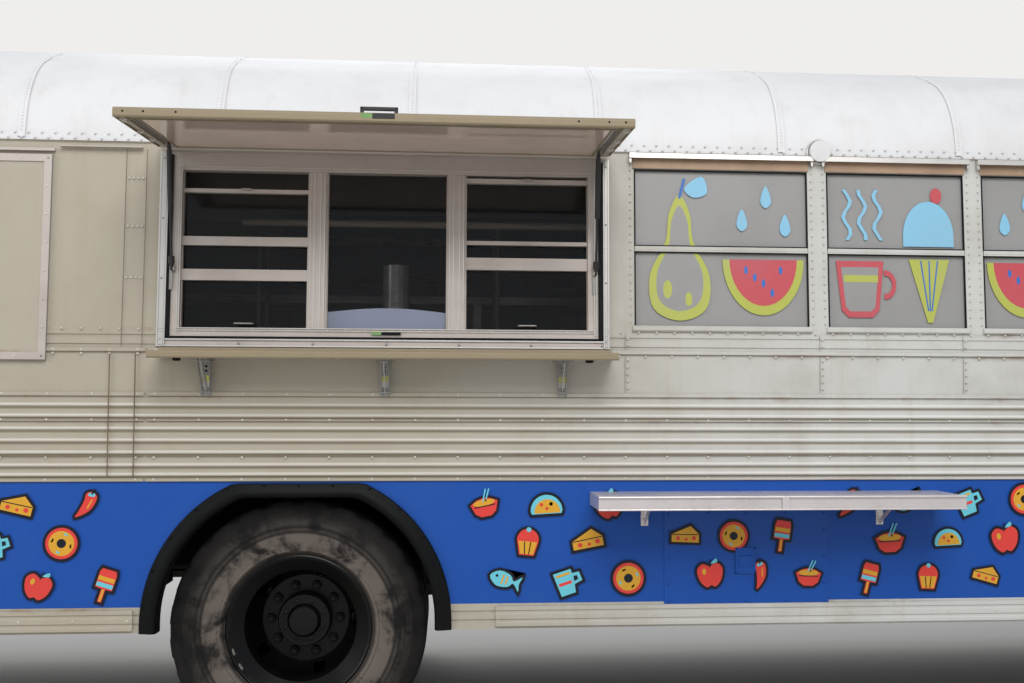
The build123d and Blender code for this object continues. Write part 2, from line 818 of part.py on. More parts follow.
def build_side_fittings():
    """Arch flares and the painted window panes with the infill panel."""
    flares = []
    for side in (1, -1):
        near, far = sorted((side * (half_width + fit), side * (half_width + flare_stand)))
        for axle in (0, front_axle):
            ring = arch_form(axle, flare_outer_radius, flare_outer_flat, near, far, skirt_bottom)
            flares.append(ring - arch_form(axle, flare_inner_radius, flare_inner_flat, near - 1, far + 1))

    panes = []
    spots = [(x0, x1, -1) for x0, x1 in curb_windows] + [(x0, x1, 1) for x0, x1 in street_windows()]
    for x0, x1, side in spots:
        face = side * (half_width - pane_recess)
        bar = up_wall(split_height)
        pane = box(x0 + fit, x1 - fit, face, face - side * pane_thickness, up_wall(sill_height) + 1,
                   up_wall(window_top) - 1)
        pane += box(x0 + fit, x1 - fit, face + side * pane_thickness, face - side * pane_thickness * 2,
                    bar - split_bar / 2, bar + split_bar / 2)
        panes.append(leaning(pane, side))
    x0, x1 = infill_panel
    low, high = up_wall(infill_bottom), up_wall(infill_top)
    panel = box(x0, x1, -half_width - fit, -half_width - infill_stand, low, high)
    panel -= box(x0 + infill_edge, x1 - infill_edge, -half_width - infill_stand + 4, -half_width - infill_stand - 4,
                 low + infill_edge, high - infill_edge)
    panes.append(leaning(panel, -1))
    return {"wheel_flares": joined(flares), "side_panels": joined(panes)}


def service_bays():
    """First and last edge of the three lights of the service window."""
    edges = [service_left + service_flange + jamb_width]
    for x in mullion_places:
        edges += [x - mullion_width / 2, x + mullion_width / 2]
    edges.append(service_right - service_flange - jamb_width)
    return [(edges[n], edges[n + 1]) for n in (0, 2, 4)]


def build_service_window():
    """Aluminium frame with mullions and sash bars, and its three panes."""
    face = -half_width - fit
    front = face - flange_stand
    low, high = up_wall(service_bottom), up_wall(service_top)
    edge = service_flange
    flange = box(service_left, service_right, face, front, low, high)
    sleeve = box(service_left + edge - 6, service_right - edge + 6, front, face + service_depth,
                 low + edge - 6, high - edge + 6)
    open_low, open_high = low + edge + sill_bar, high - edge - head_bar
    bays = service_bays()
    frame = flange + sleeve - box(bays[0][0], bays[2][1], front - 1, face + service_depth + 1, open_low, open_high)
    for x in mullion_places:
        frame += box(x - mullion_width / 2, x + mullion_width / 2, face + 4, face + service_depth - 6,
                     open_low, open_high)
    glass_face = face + 10 + sash_depth + fit
    for bay, z, height in sash_bars:
        x0, x1 = bays[bay]
        frame += box(x0, x1, face + 10, face + 10 + sash_depth, up_wall(z) - height / 2, up_wall(z) + height / 2)
    panes = [box(x0 + fit, x1 - fit, glass_face, glass_face + service_glass, open_low + fit, open_high - fit)
             for x0, x1 in bays]
    return {"service_frame": leaning(frame, -1), "service_glass": leaning(joined(panes), -1),
            "awning_fixings": build_awning_fixings(front)}


def build_awning_fixings(front):
    """Rail that carries the awning's hinge, and the wall brackets with the lower pins of the struts."""
    face = -half_width - fit
    rail_front = -half_width - awning_hinge_stand + hinge_radius + fit
    fixings = [leaning(box(service_left + service_flange, service_right - service_flange, face, rail_front,
                           up_wall(service_top) + fit, up_wall(wall_top)), -1)]
    y, z = strut_anchor()
    foot = up_wall(z)
    for side in (-1, 1):
        x = strut_x(side)
        inner = x - side * (strut_eye_width / 2 + 1)
        bracket = leaning(box(inner, inner - side * strut_bracket, -half_width - strut_anchor_stand - 8,
                              front - fit, foot - 10, foot + 10), -1)
        bracket += cylinder_x(y, z, strut_pin_radius, inner - side, x + side * strut_eye_width / 2)
        fixings.append(bracket)
    return joined(fixings)


def awning_axis():
    """Hinge line of the awning as (y, z)."""
    return -outer_y(awning_hinge_height) - awning_hinge_stand, awning_hinge_height


def strut_x(side):
    """Place of a gas strut along the vehicle: -1 at the rear end of the awning, 1 at the front."""
    edge = awning_margin + awning_bar + strut_side_gap
    return service_left + edge if side < 0 else service_right - edge


def strut_anchor():
    """Lower pin of a gas strut as (y, z)."""
    return -outer_y(strut_anchor_height) - strut_anchor_stand, strut_anchor_height


def awning_turn():
    """Move from the level drawing of the awning to its parked slope."""
    y, z = awning_axis()
    return Pos(0, y, z) * Rot(awning_slope_deg, 0, 0) * Pos(0, -y, -z)


def strut_head():
    """Upper pin of a gas strut on the open awning, as (y, z)."""
    y, z = awning_axis()
    point = (awning_turn() * Vertex(0, y - strut_reach, z)).center()
    return point.Y, point.Z


def build_awning():
    """Top-hinged awning with its panes, handle and strut brackets."""
    hy, hz = awning_axis()
    x0, x1 = service_left + awning_margin, service_right - awning_margin
    end, bar, top = hy - awning_length, awning_bar, hz + awning_frame
    back = hy - hinge_radius - 1
    frame = box(x0, x1, back, end, hz, top) - box(x0 + bar, x1 - bar, back - bar, end + bar, hz - 1, top + 1)
    for x in mullion_places:
        frame += box(x - bar / 2, x + bar / 2, back - bar + 1, end + bar - 1, hz, top)
    frame += cylinder_x(hy, hz, hinge_radius, x0 + bar, x1 - bar)
    frame += box(x0 + bar, x1 - bar, hy, back - 1, hz, hz + 4)
    middle = (x0 + x1) / 2
    high = top + handle_height
    for x in (middle - handle_width / 2, middle + handle_width / 2):
        frame += box(x - handle_bar, x + handle_bar, end + bar / 2 - handle_bar, end + bar / 2 + handle_bar,
                     top - 1, high)
    frame += box(middle - handle_width / 2, middle + handle_width / 2, end + bar / 2 - handle_bar,
                 end + bar / 2 + handle_bar, high - 2 * handle_bar, high)
    y, z = hy - strut_reach, hz
    for side in (-1, 1):
        x = strut_x(side)
        bar_edge = x0 + bar if side < 0 else x1 - bar
        stud_end = x + side * (strut_eye_width / 2 + fit)
        frame += box(bar_edge + side, stud_end + side * strut_stud_length, y - 10, y + 10, z - 8, z + 10)
        frame += cylinder_x(y, z, strut_pin_radius, stud_end + side * (strut_stud_length + 1), stud_end)
    edges = [x0 + bar]
    for x in mullion_places:
        edges += [x - bar / 2, x + bar / 2]
    edges.append(x1 - bar)
    panes = [box(edges[n] + fit, edges[n + 1] - fit, back - bar - fit, end + bar + fit, top - 1 - awning_pane,
                 top - 1) for n in (0, 2, 4)]
    turn = awning_turn()
    return {"awning_frame": turn * frame, "awning_panes": turn * joined(panes)}


def build_struts():
    """Gas struts: a tube on the wall pin and a rod that ends in a closed socket at the awning's stud."""
    parts = {}
    low, high = strut_anchor(), strut_head()
    for side, name in ((-1, "rear"), (1, "front")):
        x = strut_x(side)
        a, b = Vector(x, *low), Vector(x, *high)
        along = (b - a).normalized()
        eye = strut_eye_radius
        reach = a + along * strut_tube_length
        tube = rod_between(a + along * strut_neck, reach, strut_tube_radius)
        tube += rod_between(a + along * eye * 0.8, a + along * (strut_neck + 1), strut_eye_width / 2)
        tube -= rod_between(a + along * (eye + 20), reach + along, strut_rod_radius + strut_bore_gap)
        tube += cylinder_x(a.Y, a.Z, eye, x - strut_eye_width / 2, x + strut_eye_width / 2)
        tube -= cylinder_x(a.Y, a.Z, strut_pin_radius + strut_pin_gap, x - strut_eye_width, x + strut_eye_width)
        rod = rod_between(a + along * strut_rod_start, b - along * eye * 0.8, strut_rod_radius)
        rod += cylinder_x(b.Y, b.Z, eye, x - strut_eye_width / 2, x + strut_eye_width / 2)
        parts[f"strut_tube_{name}"] = tube
        parts[f"strut_rod_{name}"] = rod
    return parts


def shelf_bracket(x, top, drop, depth, width):
    """Folding bracket: a plate on the wall, an arm under the shelf and a slanting stay."""
    wall_face = -half_width - fit
    plate = bracket_plate
    stay = along_x([(wall_face, top - drop), (wall_face, top - drop + 20), (wall_face - depth + 30, top - plate),
                    (wall_face - depth, top - plate)], x - plate / 2, x + plate / 2)
    back = box(x - width / 2, x + width / 2, wall_face, wall_face - plate, top - drop, top)
    arm = box(x - width / 2, x + width / 2, wall_face, wall_face - depth, top - plate, top)
    return joined([back, arm, stay])


def build_shelves():
    """Service shelf and the lower stainless shelf, each on its brackets."""
    face = -half_width - fit
    low = shelf_top - shelf_thickness
    shelf = [box(shelf_left, shelf_right, face, face - shelf_depth, low, shelf_top)]
    shelf += [shelf_bracket(x, low + 1, bracket_drop, shelf_depth - 50, bracket_width) for x in bracket_places]
    under = tray_top - tray_plate
    end = face - tray_depth
    tray = [box(tray_left, tray_right, face, end, under, tray_top),
            box(tray_left, tray_right, end + tray_plate, end, tray_top - tray_lip, tray_top),
            box(tray_left, tray_right, face, face - tray_plate, under - 20, tray_top)]
    for x in (tray_left, tray_right - tray_plate):
        tray.append(box(x, x + tray_plate, face, end, tray_top - tray_lip, tray_top))
    tray += [shelf_bracket(x, under + 1, tray_bracket_drop, tray_depth - 60, bracket_width) for x in tray_brackets]
    return {"service_shelf": joined(shelf), "lower_shelf": joined(tray)}


def build_locker_door():
    """Locker door: an outer skin over the wall with a pan that fills the opening."""
    face = -half_width - fit
    door = box(locker_left, locker_right, face, face - locker_skin, locker_bottom, locker_top - 10)
    inset = locker_margin + locker_play
    door += box(locker_left + inset, locker_right - inset, face - 1, face + locker_pan,
                locker_bottom + inset, locker_top - inset)
    door += cylinder_x(locker_axis()[0], locker_axis()[1], hinge_radius - 1, locker_left + 60, locker_right - 60)
    door += box(locker_left + 60, locker_right - 60, face, face - locker_skin, locker_top - 11, locker_axis()[1])
    return {"locker_door": door}


def locker_axis():
    """Hinge line of the locker door as (y, z)."""
    return -half_width - hinge_radius - fit, locker_top - 4


def build_doors():
    """Entry door with its glass, and the rear door."""
    parts = {}
    x0, x1 = door_left + door_play, door_right - door_play
    low, high = door_bottom, door_top - door_play
    outline = [(-half_width, low), (-half_width, belt_bottom), (-outer_y(high), high)]
    leaf = along_x(outline + [(y + leaf_thickness, z) for y, z in reversed(outline)], x0, x1)
    panes = []
    for z0, z1 in ((low + leaf_edge, leaf_rail_height), (leaf_rail_height + leaf_edge, high - leaf_edge)):
        leaf -= box(x0 + leaf_edge, x1 - leaf_edge, -half_width - 10, leaf_thickness - half_width + 60, z0, z1)
        heights = [z0 + fit, *[z for z in (belt_bottom,) if z0 < z < z1], z1 - fit]
        face = [(glass_recess - outer_y(z), z) for z in heights]
        panes.append(along_x(face + [(y + screen_glass, z) for y, z in reversed(face)],
                             x0 + leaf_edge + fit, x1 - leaf_edge - fit))
    y, x = entry_door_axis()
    leaf += Pos(x, y, (low + belt_bottom) / 2) * Cylinder(hinge_radius, belt_bottom - low)
    leaf += box(x - 10, x, y - 2, y + 2, low, belt_bottom) + box(x - 12, x - 8, y, 1 - half_width, low, belt_bottom)
    parts["entry_door"] = leaf
    parts["entry_glass"] = joined(panes)

    half = rear_door_width / 2 - door_play
    door = box(rear_end, rear_end + shell_skin, -half, half, rear_door_bottom + door_play, rear_door_top - door_play)
    y, x = rear_door_axis()
    middle = (rear_door_bottom + rear_door_top) / 2
    door += Pos(x, y, middle) * Cylinder(hinge_radius, 2 * rear_hinge_half)
    door += box(x - 2, x + 2, y, 10 - half, middle - rear_hinge_half, middle + rear_hinge_half)
    door += box(x, rear_end + 1, -half, 10 - half, middle - rear_hinge_half, middle + rear_hinge_half)
    parts["rear_door"] = door
    return parts


def entry_door_axis():
    """Hinge line of the entry door as (y, x), on its front post."""
    return -half_width - hinge_radius - fit, door_right


def rear_door_axis():
    """Hinge line of the rear door as (y, x)."""
    return -rear_door_width / 2 - 4, rear_end - hinge_radius - fit


def build_cab():
    """Windscreen, driver's window, rear windows, dash with steering wheel and the driver's seat."""
    parts = {}
    z0, z1 = windscreen_bottom + fit, windscreen_top - fit
    glass = []
    for side in (1, -1):
        points = [(face_x(z0) - 14, z0), (face_x(z1) - 14, z1), (face_x(z1) - 14 - screen_glass, z1),
                  (face_x(z0) - 14 - screen_glass, z0)]
        y0, y1 = side * (windscreen_post / 2 + fit), side * (windscreen_half - fit)
        glass.append(along_y(points, min(y0, y1), max(y0, y1)))
    x0, x1 = driver_window
    outline = [(outer_y(z) - 14, z) for z in (driver_sill + fit, belt_bottom, window_top - fit)]
    back = [(y - screen_glass, z) for y, z in reversed(outline)]
    glass.append(along_x(outline + back, x0 + fit, x1 - fit))
    near, away = rear_window_places
    depth = rear_end + (shell_skin - screen_glass) / 2
    for side in (1, -1):
        glass.append(box(depth, depth + screen_glass, side * (near + fit), side * (away - fit),
                         sill_height + fit, window_top - fit))
    parts["cab_glass"] = joined(glass)

    nose = front_end - shell_skin - fit
    dash = along_y([(dash_rear, dash_top - 200), (dash_rear + 60, dash_top), (nose - 60, dash_top - 40),
                    (nose - 60, floor_top + fit), (nose - 160, floor_top + fit), (nose - 160, dash_top - 240)],
                   -dash_half, dash_half)
    y = seat_place[1]
    hub = Vector(dash_rear - 180, y, dash_top - 60)
    dash += rod_between(hub, (dash_rear + 40, y, dash_top - 150), 28)
    tilt = Pos(*hub) * Rot(0, -28, 0)
    rim_section = Plane.XZ * Pos(steering_rim - steering_tube, 0) * RegularPolygon(steering_tube, 6)
    dash += tilt * revolve(rim_section, Axis.Z)
    dash += tilt * Cylinder(45, 30)
    for turn in (0, 90, 180, 270):
        dash += tilt * Rot(0, 0, turn) * Pos((steering_rim - steering_tube) / 2, 0, 0) * \
            Box(steering_rim - steering_tube, 22, 12)
    parts["dash"] = dash

    x, y = seat_place
    half = seat_width / 2
    rear = x - half
    low, high = floor_top + seat_pedestal, floor_top + seat_pedestal + seat_cushion
    back_top = high + seat_back_height
    seat = box(x - 150, x + 150, y - 130, y + 130, floor_top + fit, low + 1)
    seat += box(rear, x + half + 20, y - half, y + half, low, high)
    seat += along_y([(rear, high - 20), (rear + seat_back_thickness, high - 20),
                     (rear + seat_back_thickness - seat_back_rake, back_top), (rear - seat_back_rake + 20, back_top)],
                    y - half, y + half)
    parts["driver_seat"] = seat
    return parts


def build_kitchen():
    """Stainless work bench on the street side and the canopy hood above it."""
    top = floor_top + bench_height
    back = outer_y(top) - wall - fit
    bench = [box(bench_rear, bench_front, back - bench_depth, back, top - 40, top),
             box(bench_rear + 20, bench_front - 20, back - bench_depth + 30, back - 20, floor_top + 240,
                 floor_top + 260)]
    count = 5
    for n in range(count):
        x = bench_rear + 40 + (bench_front - bench_rear - 80) * n / (count - 1)
        for y in (back - bench_depth + 45, back - 45):
            bench.append(box(x - 20, x + 20, y - 20, y + 20, floor_top + fit, top - 39))
    y0 = outer_y(hood_top) - wall - fit
    outline = [(y0, hood_top), (y0, hood_top - hood_height), (y0 - hood_depth, hood_top - hood_height),
               (y0 - hood_depth, hood_top - hood_height + 80), (y0 - hood_depth + 260, hood_top)]
    hood = along_x(outline, hood_rear, hood_front)
    inner = [(y0 - 20, hood_top - 20), (y0 - 20, hood_top - hood_height - 1),
             (y0 - hood_depth + 20, hood_top - hood_height - 1),
             (y0 - hood_depth + 20, hood_top - hood_height + 74), (y0 - hood_depth + 270, hood_top - 20)]
    hood -= along_x(inner, hood_rear + 20, hood_front - 20)
    return {"kitchen_bench": joined(bench), "kitchen_hood": hood}


def build_outside():
    """Bumpers, lamps and mirrors."""
    parts = {}
    z0, z1 = bumper_bottom, bumper_bottom + bumper_height
    half = bumper_width / 2
    x0 = front_end + bumper_clear
    front = [box(x0, x0 + bumper_depth, -half, half, z0, z1)]
    x1 = rear_end - bumper_clear
    rear = [box(x1 - bumper_depth, x1, -half, half, z0, z1)]
    under = skirt_bottom - 5
    for side in (1, -1):
        y0, y1 = side * rail_inner, side * rail_outer
        front.append(box(front_end - 400, x0 + 1, y0, y1, under - bumper_arm, under))
        front.append(box(front_end - 400, front_end - 200, y0, y1, under - bumper_arm, rail_bottom - fit))
        rear.append(box(x1 - 1, rear_end + 400, y0, y1, under - bumper_arm, under))
        rear.append(box(rear_end + 200, rear_end + 400, y0, y1, under - bumper_arm, rail_bottom - fit))
    parts["bumpers"] = joined([joined(front), joined(rear)])

    lamps = []
    for side in (1, -1):
        lamps.append(cylinder_x(side * headlamp_place, headlamp_height, headlamp_radius,
                                front_end - shell_skin, front_end + 12))
        for y in tail_lamp_places:
            lamps.append(cylinder_x(side * y, tail_lamp_height, tail_lamp_radius, rear_end - 20, rear_end - fit))
    base = -outer_y(marker_height - marker_radius)
    lamps.append(cylinder_y(marker_place, marker_height, marker_radius, base - marker_depth, base - fit))
    parts["lamps"] = joined(lamps)

    mirrors = []
    for side in (1, -1):
        x = wall_front + 60
        y = half_width + mirror_reach + mirror_width / 2
        glass = box(x, x + 60, side * (y - mirror_width / 2), side * (y + mirror_width / 2),
                    mirror_low, mirror_low + mirror_height)
        for z in (mirror_low + 40, mirror_low + mirror_height - 40):
            glass += cylinder_y(x + 30, z, mirror_pipe, side * (outer_y(z - mirror_pipe) + fit), side * y)
        mirrors.append(glass)
    parts["mirrors"] = joined(mirrors)
    return parts


def assemble():
    """Every node of the vehicle, in its working frame."""
    parts = {}
    for build in (build_walls, build_shell, build_floor, build_steps, build_engine_cover, build_frame,
                  build_axles, build_drive, build_wheels, build_side_fittings, build_service_window,
                  build_awning, build_struts, build_shelves, build_locker_door, build_doors, build_cab,
                  build_kitchen, build_outside):
        parts.update(build())
    return parts


def footprint_shift(parts):
    """Move that brings the middle of the footprint to the origin."""
    boxes = [shape.bounding_box() for shape in parts.values()]
    low = [min(getattr(b.min, axis) for b in boxes) for axis in "XYZ"]
    high = [max(getattr(b.max, axis) for b in boxes) for axis in "XYZ"]
    return Vector(-(low[0] + high[0]) / 2, -(low[1] + high[1]) / 2, -low[2])


def main():
    """Build every node, move it to the shared origin and write it."""
    os.makedirs("parts", exist_ok=True)
    parts = assemble()
    shift = Pos(*footprint_shift(parts))
    for name, shape in parts.items():
        export_step(shift * shape, f"parts/{name}.step")


if __name__ == "__main__":
    main()
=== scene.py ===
"""Looks of a food truck: finishes, trim, rivets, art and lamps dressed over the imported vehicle.

Places are in metres: x forward from the rear axle, y from the middle of the body (the
service side is negative) and z up from the ground. Site.at turns them into the frame.
"""
from __future__ import annotations

import logging
from dataclasses import dataclass, field
from enum import Enum
from functools import cache
from math import atan, cos, pi, radians, sin, tan
from random import Random
from typing import Callable, Iterable, Sequence

import bmesh
import bpy
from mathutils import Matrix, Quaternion, Vector


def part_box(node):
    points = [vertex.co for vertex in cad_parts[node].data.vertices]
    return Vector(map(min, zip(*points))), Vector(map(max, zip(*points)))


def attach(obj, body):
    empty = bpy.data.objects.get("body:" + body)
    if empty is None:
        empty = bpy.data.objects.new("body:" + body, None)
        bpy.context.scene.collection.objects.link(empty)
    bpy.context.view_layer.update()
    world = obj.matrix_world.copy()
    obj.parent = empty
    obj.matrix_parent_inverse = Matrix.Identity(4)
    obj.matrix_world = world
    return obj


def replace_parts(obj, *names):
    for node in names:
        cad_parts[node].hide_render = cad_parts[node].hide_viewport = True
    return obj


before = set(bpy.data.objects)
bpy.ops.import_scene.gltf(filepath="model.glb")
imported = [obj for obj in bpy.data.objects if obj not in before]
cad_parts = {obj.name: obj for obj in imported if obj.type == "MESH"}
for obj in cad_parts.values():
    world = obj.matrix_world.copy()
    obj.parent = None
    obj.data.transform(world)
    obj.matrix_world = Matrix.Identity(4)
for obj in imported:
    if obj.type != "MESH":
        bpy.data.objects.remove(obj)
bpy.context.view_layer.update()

log = logging.getLogger("food_truck")

Point = tuple[float, float, float]
Flat = tuple[float, float]
Place = Callable[[float, float, float], Vector]
Tree = bpy.types.NodeTree
Node = bpy.types.Node
Socket = bpy.types.NodeSocket

SHELL = "chassis"

SKIRT_BOTTOM = 0.513
BAND_BOTTOM = 0.614
BAND_TOP = 1.111
FLUTES_TOP = 1.450
BELT = 1.627
SILL = 1.731
SPLIT_BOTTOM = 2.059
SPLIT_TOP = 2.079
WINDOW_TOP = 2.405
WALL_TOP = 2.475
CROWN = 3.070
LEAN = radians(2.58)
AXLE_HEIGHT = 0.515
WHEELBASE = 5.200
FRONT_END = 7.180
REAR_END = -2.950
WALL_REAR = -2.750
WALL_FRONT = 6.700
CURB_WINDOWS = ((1.359, 2.099), (2.182, 2.782), (2.862, 3.602), (3.682, 4.422), (4.502, 5.242),
                (-2.640, -2.000))
STREET_WINDOWS = tuple((-2.600 + 0.790 * n, -1.900 + 0.790 * n) for n in range(9))
PANE_RECESS = 0.012


@dataclass(frozen=True)
class Site:
    """Where the vehicle stands in the frame.

    Args:
        axle: place of the rear axle along the frame's X.
        middle: place of the body's middle plane along the frame's Y.
        half: half the width of the body at its skirt.
    """

    axle: float
    middle: float
    half: float

    @classmethod
    def read(cls) -> Site:
        """Read the places from the nodes of the frame.

        Returns:
            The site of this vehicle.
        """
        tyre_low, tyre_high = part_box("rear_tyres_curb")
        curb_low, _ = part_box("curb_wall")
        _, street_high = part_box("street_wall")
        return cls((tyre_low.x + tyre_high.x) / 2, (curb_low.y + street_high.y) / 2,
                   (street_high.y - curb_low.y) / 2)

    def at(self, x: float, y: float, z: float) -> Vector:
        """Turn a place on the vehicle into a point of the frame."""
        return Vector((self.axle + x, self.middle + y, z))

    def skin(self, z: float) -> float:
        """Half width of the body at a height: upright to the belt, then leaning in."""
        return self.half - max(0.0, z - BELT) * tan(LEAN)

    def wall(self, side: int) -> Place:
        """Make the map from a side wall's own places to the frame.

        Args:
            side: 1 for the street wall and -1 for the curb wall.

        Returns:
            A function of the place along the wall, the distance out of it and the height.
        """

        def place(x: float, out: float, z: float) -> Vector:
            lean = LEAN if z > BELT else 0.0
            return self.at(x, side * (self.skin(z) + out * cos(lean)), z + out * sin(lean))

        return place


def linear(code: str) -> tuple[float, float, float, float]:
    """Turn an sRGB colour code into a linear colour.

    Args:
        code: six hexadecimal digits after a hash sign.

    Returns:
        Red, green, blue and alpha.
    """
    parts = [int(code[n:n + 2], 16) / 255 for n in (1, 3, 5)]
    values = [v / 12.92 if v <= 0.04045 else ((v + 0.055) / 1.055) ** 2.4 for v in parts]
    return values[0], values[1], values[2], 1.0


def add(tree: Tree, kind: str, settings: dict | None = None, inputs: dict | None = None) -> Node:
    """Add a node with its settings and links.

    Args:
        tree: the node tree of a material or the world.
        kind: the node's type after its ShaderNode prefix.
        settings: properties of the node by name.
        inputs: a value or a socket to link, by the input's name or number.

    Returns:
        The new node.
    """
    node = tree.nodes.new("ShaderNode" + kind)
    for key, value in (settings or {}).items():
        setattr(node, key, value)
    for key, value in (inputs or {}).items():
        if isinstance(value, Socket):
            tree.links.new(value, node.inputs[key])
        else:
            node.inputs[key].default_value = value
    return node


def patches(tree: Tree, place: Socket, noise: dict, levels: Flat, shares: Flat) -> Socket:
    """Spread soft patches over a surface.

    Args:
        tree: the node tree.
        place: where the surface is.
        noise: settings of the noise that draws the patches, by the input's name.
        levels: values of the noise where a patch starts and where it is full.
        shares: how much shows outside the patches and inside them.

    Returns:
        The share that shows.
    """
    pattern = add(tree, "TexNoise", None, {"Vector": place, **noise})
    return add(tree, "MapRange", {"interpolation_type": "SMOOTHSTEP"},
               {0: pattern.outputs[0], 1: levels[0], 2: levels[1], 3: shares[0], 4: shares[1]}).outputs[0]


def through_stops(tree: Tree, value: Socket, ends: Flat, stops: Sequence[Flat]) -> Socket:
    """Give a share that runs through stops between two ends of a value.

    Args:
        tree: the node tree.
        value: what the share follows.
        ends: the value at position 0 and at position 1.
        stops: position and share, point by point.

    Returns:
        The share.
    """
    ramp = add(tree, "ValToRGB", None,
               {0: add(tree, "MapRange", None, {0: value, 1: ends[0], 2: ends[1]}).outputs[0]})
    spots = ramp.color_ramp.elements
    while len(spots) < len(stops):
        spots.new(0.5)
    for spot, (position, share) in zip(spots, stops):
        spot.position = position
        spot.color = (share, share, share, 1.0)
    return ramp.outputs[0]


class Form:
    """Vertices and faces of one piece, gathered in its own places and put into the frame."""

    def __init__(self, place: Place | None = None) -> None:
        """Start an empty form.

        Args:
            place: map from the form's own places to the frame, or None for places on the vehicle.
        """
        self.place = place or SITE.at
        self.points: list[Vector] = []
        self.faces: list[tuple[int, ...]] = []

    def mesh(self, points: Iterable[Point], faces: Iterable[Sequence[int]]) -> None:
        """Add points in the form's own places, and faces between them."""
        first = len(self.points)
        self.points += [self.place(*point) for point in points]
        self.faces += [tuple(first + n for n in face) for face in faces]

    def block(self, low: Point, high: Point) -> None:
        """Add a block between two opposite corners."""
        (x0, y0, z0), (x1, y1, z1) = low, high
        points = [(x, y, z) for z in (z0, z1) for y in (y0, y1) for x in (x0, x1)]
        self.mesh(points, [(0, 2, 3, 1), (4, 5, 7, 6), (0, 1, 5, 4), (2, 6, 7, 3), (0, 4, 6, 2),
                           (1, 3, 7, 5)])

    def prism(self, outline: Sequence[Flat], axis: int, start: float, stop: float) -> None:
        """Add a closed outline drawn out along one axis.

        Args:
            outline: points in the two other axes, in their order.
            axis: 0, 1 or 2 for x, y or z.
            start: place of the first end along the axis.
            stop: place of the other end.
        """
        def lift(point: Flat, along: float) -> Point:
            values = list(point)
            values.insert(axis, along)
            return values[0], values[1], values[2]

        count = len(outline)
        points = [lift(point, start) for point in outline] + [lift(point, stop) for point in outline]
        self.mesh(points, [tuple(range(count))[::-1], tuple(range(count, 2 * count)), *between(count)])

    def rings(self, rings: Sequence[Sequence[Point]], closed: bool = False, caps: bool = True) -> None:
        """Join rings of points that have equal counts into a skin.

        Args:
            rings: the rings in order.
            closed: whether the last ring meets the first.
            caps: whether the two ends are closed by a face.
        """
        count, last = len(rings[0]), len(rings)
        faces = []
        for row in range(last if closed else last - 1):
            a, b = row * count, (row + 1) % last * count
            faces += [(a + n, a + (n + 1) % count, b + (n + 1) % count, b + n) for n in range(count)]
        if caps and not closed:
            faces += [tuple(range(count))[::-1], tuple((last - 1) * count + n for n in range(count))]
        self.mesh([point for ring in rings for point in ring], faces)

    def tube(self, path: Sequence[Point], radius: float, sides: int = 10) -> None:
        """Add a round bar along a path of points."""
        spots = [Vector(point) for point in path]
        rings = []
        normal = None
        for n, spot in enumerate(spots):
            ahead = spots[min(n + 1, len(spots) - 1)] - spots[max(n - 1, 0)]
            along = ahead.normalized()
            if normal is None:
                normal = along.orthogonal().normalized()
            normal = (normal - along * normal.dot(along)).normalized()
            other = along.cross(normal)
            turns = [2 * pi * s / sides for s in range(sides)]
            rings.append([tuple(spot + (normal * cos(turn) + other * sin(turn)) * radius) for turn in turns])
        self.rings(rings)

    def border(self, low: Flat, high: Flat, width: float, back: float, face: float) -> None:
        """Add the four bars of an upright frame on a wall.

        Args:
            low: lower corner at the start, along the wall and in height.
            high: upper corner at the end.
            width: width of a bar.
            back: how far out of the wall the bars start.
            face: how far out they end.
        """
        (x0, z0), (x1, z1) = low, high
        for a, b in ((x0, x0 + width), (x1 - width, x1)):
            self.block((a, back, z0), (b, face, z1))
        for a, b in ((z0, z0 + width), (z1 - width, z1)):
            self.block((x0, back, a), (x1, face, b))

    def lathe(self, profile: Sequence[Flat], centre: Point, axis: int, steps: int = 48,
              closed: bool = False) -> None:
        """Turn a profile about one axis.

        Args:
            profile: radius and place along the axis, point by point.
            centre: the point that the places are counted from.
            axis: 0, 1 or 2 for x, y or z.
            steps: how many sides the round has.
            closed: whether the profile's last point meets its first.
        """
        others = [n for n in range(3) if n != axis]
        rings = []
        for radius, along in profile:
            ring = []
            for s in range(steps):
                point = list(centre)
                point[axis] += along
                point[others[0]] += radius * cos(2 * pi * s / steps)
                point[others[1]] += radius * sin(2 * pi * s / steps)
                ring.append(tuple(point))
            rings.append(ring)
        self.rings(rings, closed)

    def dome(self, centre: Point, axis: int, radius: float, rise: float, sides: int = 8) -> None:
        """Add a low round head, such as a rivet's, that rises along one axis."""
        self.lathe([(radius, 0.0), (radius * 0.86, rise * 0.6), (radius * 0.45, rise)], centre, axis, sides)

    def piece(self, name: str, finish: Surface, body: str = SHELL, edge: float = 0.0, smooth: float = 35.0,
              slot: str | None = None) -> bpy.types.Object:
        """Make the object, dress it and let it ride on a body.

        Args:
            name: the piece's name.
            finish: the surface that it gets.
            body: the body that carries it.
            edge: radius of its rounded edges, or zero.
            smooth: the angle in degrees above which an edge stays sharp.
            slot: material slot of the record, or None for the finish's own; not used.

        Returns:
            The finished object.
        """
        data = bpy.data.meshes.new(name)
        data.from_pydata(self.points, [], self.faces)
        data.validate()
        turned = bpy.data.objects.new(name, data)
        bpy.context.scene.collection.objects.link(turned)
        data.materials.append(finish.material())
        face_out(data)
        data.shade_smooth()
        data.set_sharp_from_angle(angle=radians(smooth))
        if edge:
            bevel = turned.modifiers.new("edges", "BEVEL")
            bevel.width = edge
            bevel.segments = 2
            bevel.limit_method = "ANGLE"
            bevel.harden_normals = True
        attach(turned, body)
        log.info("%s: %d faces", name, len(self.faces))
        return turned


def forms(count: int, place: Place | None = None) -> list[Form]:
    """Start several empty forms in the same places."""
    return [Form(place) for _ in range(count)]


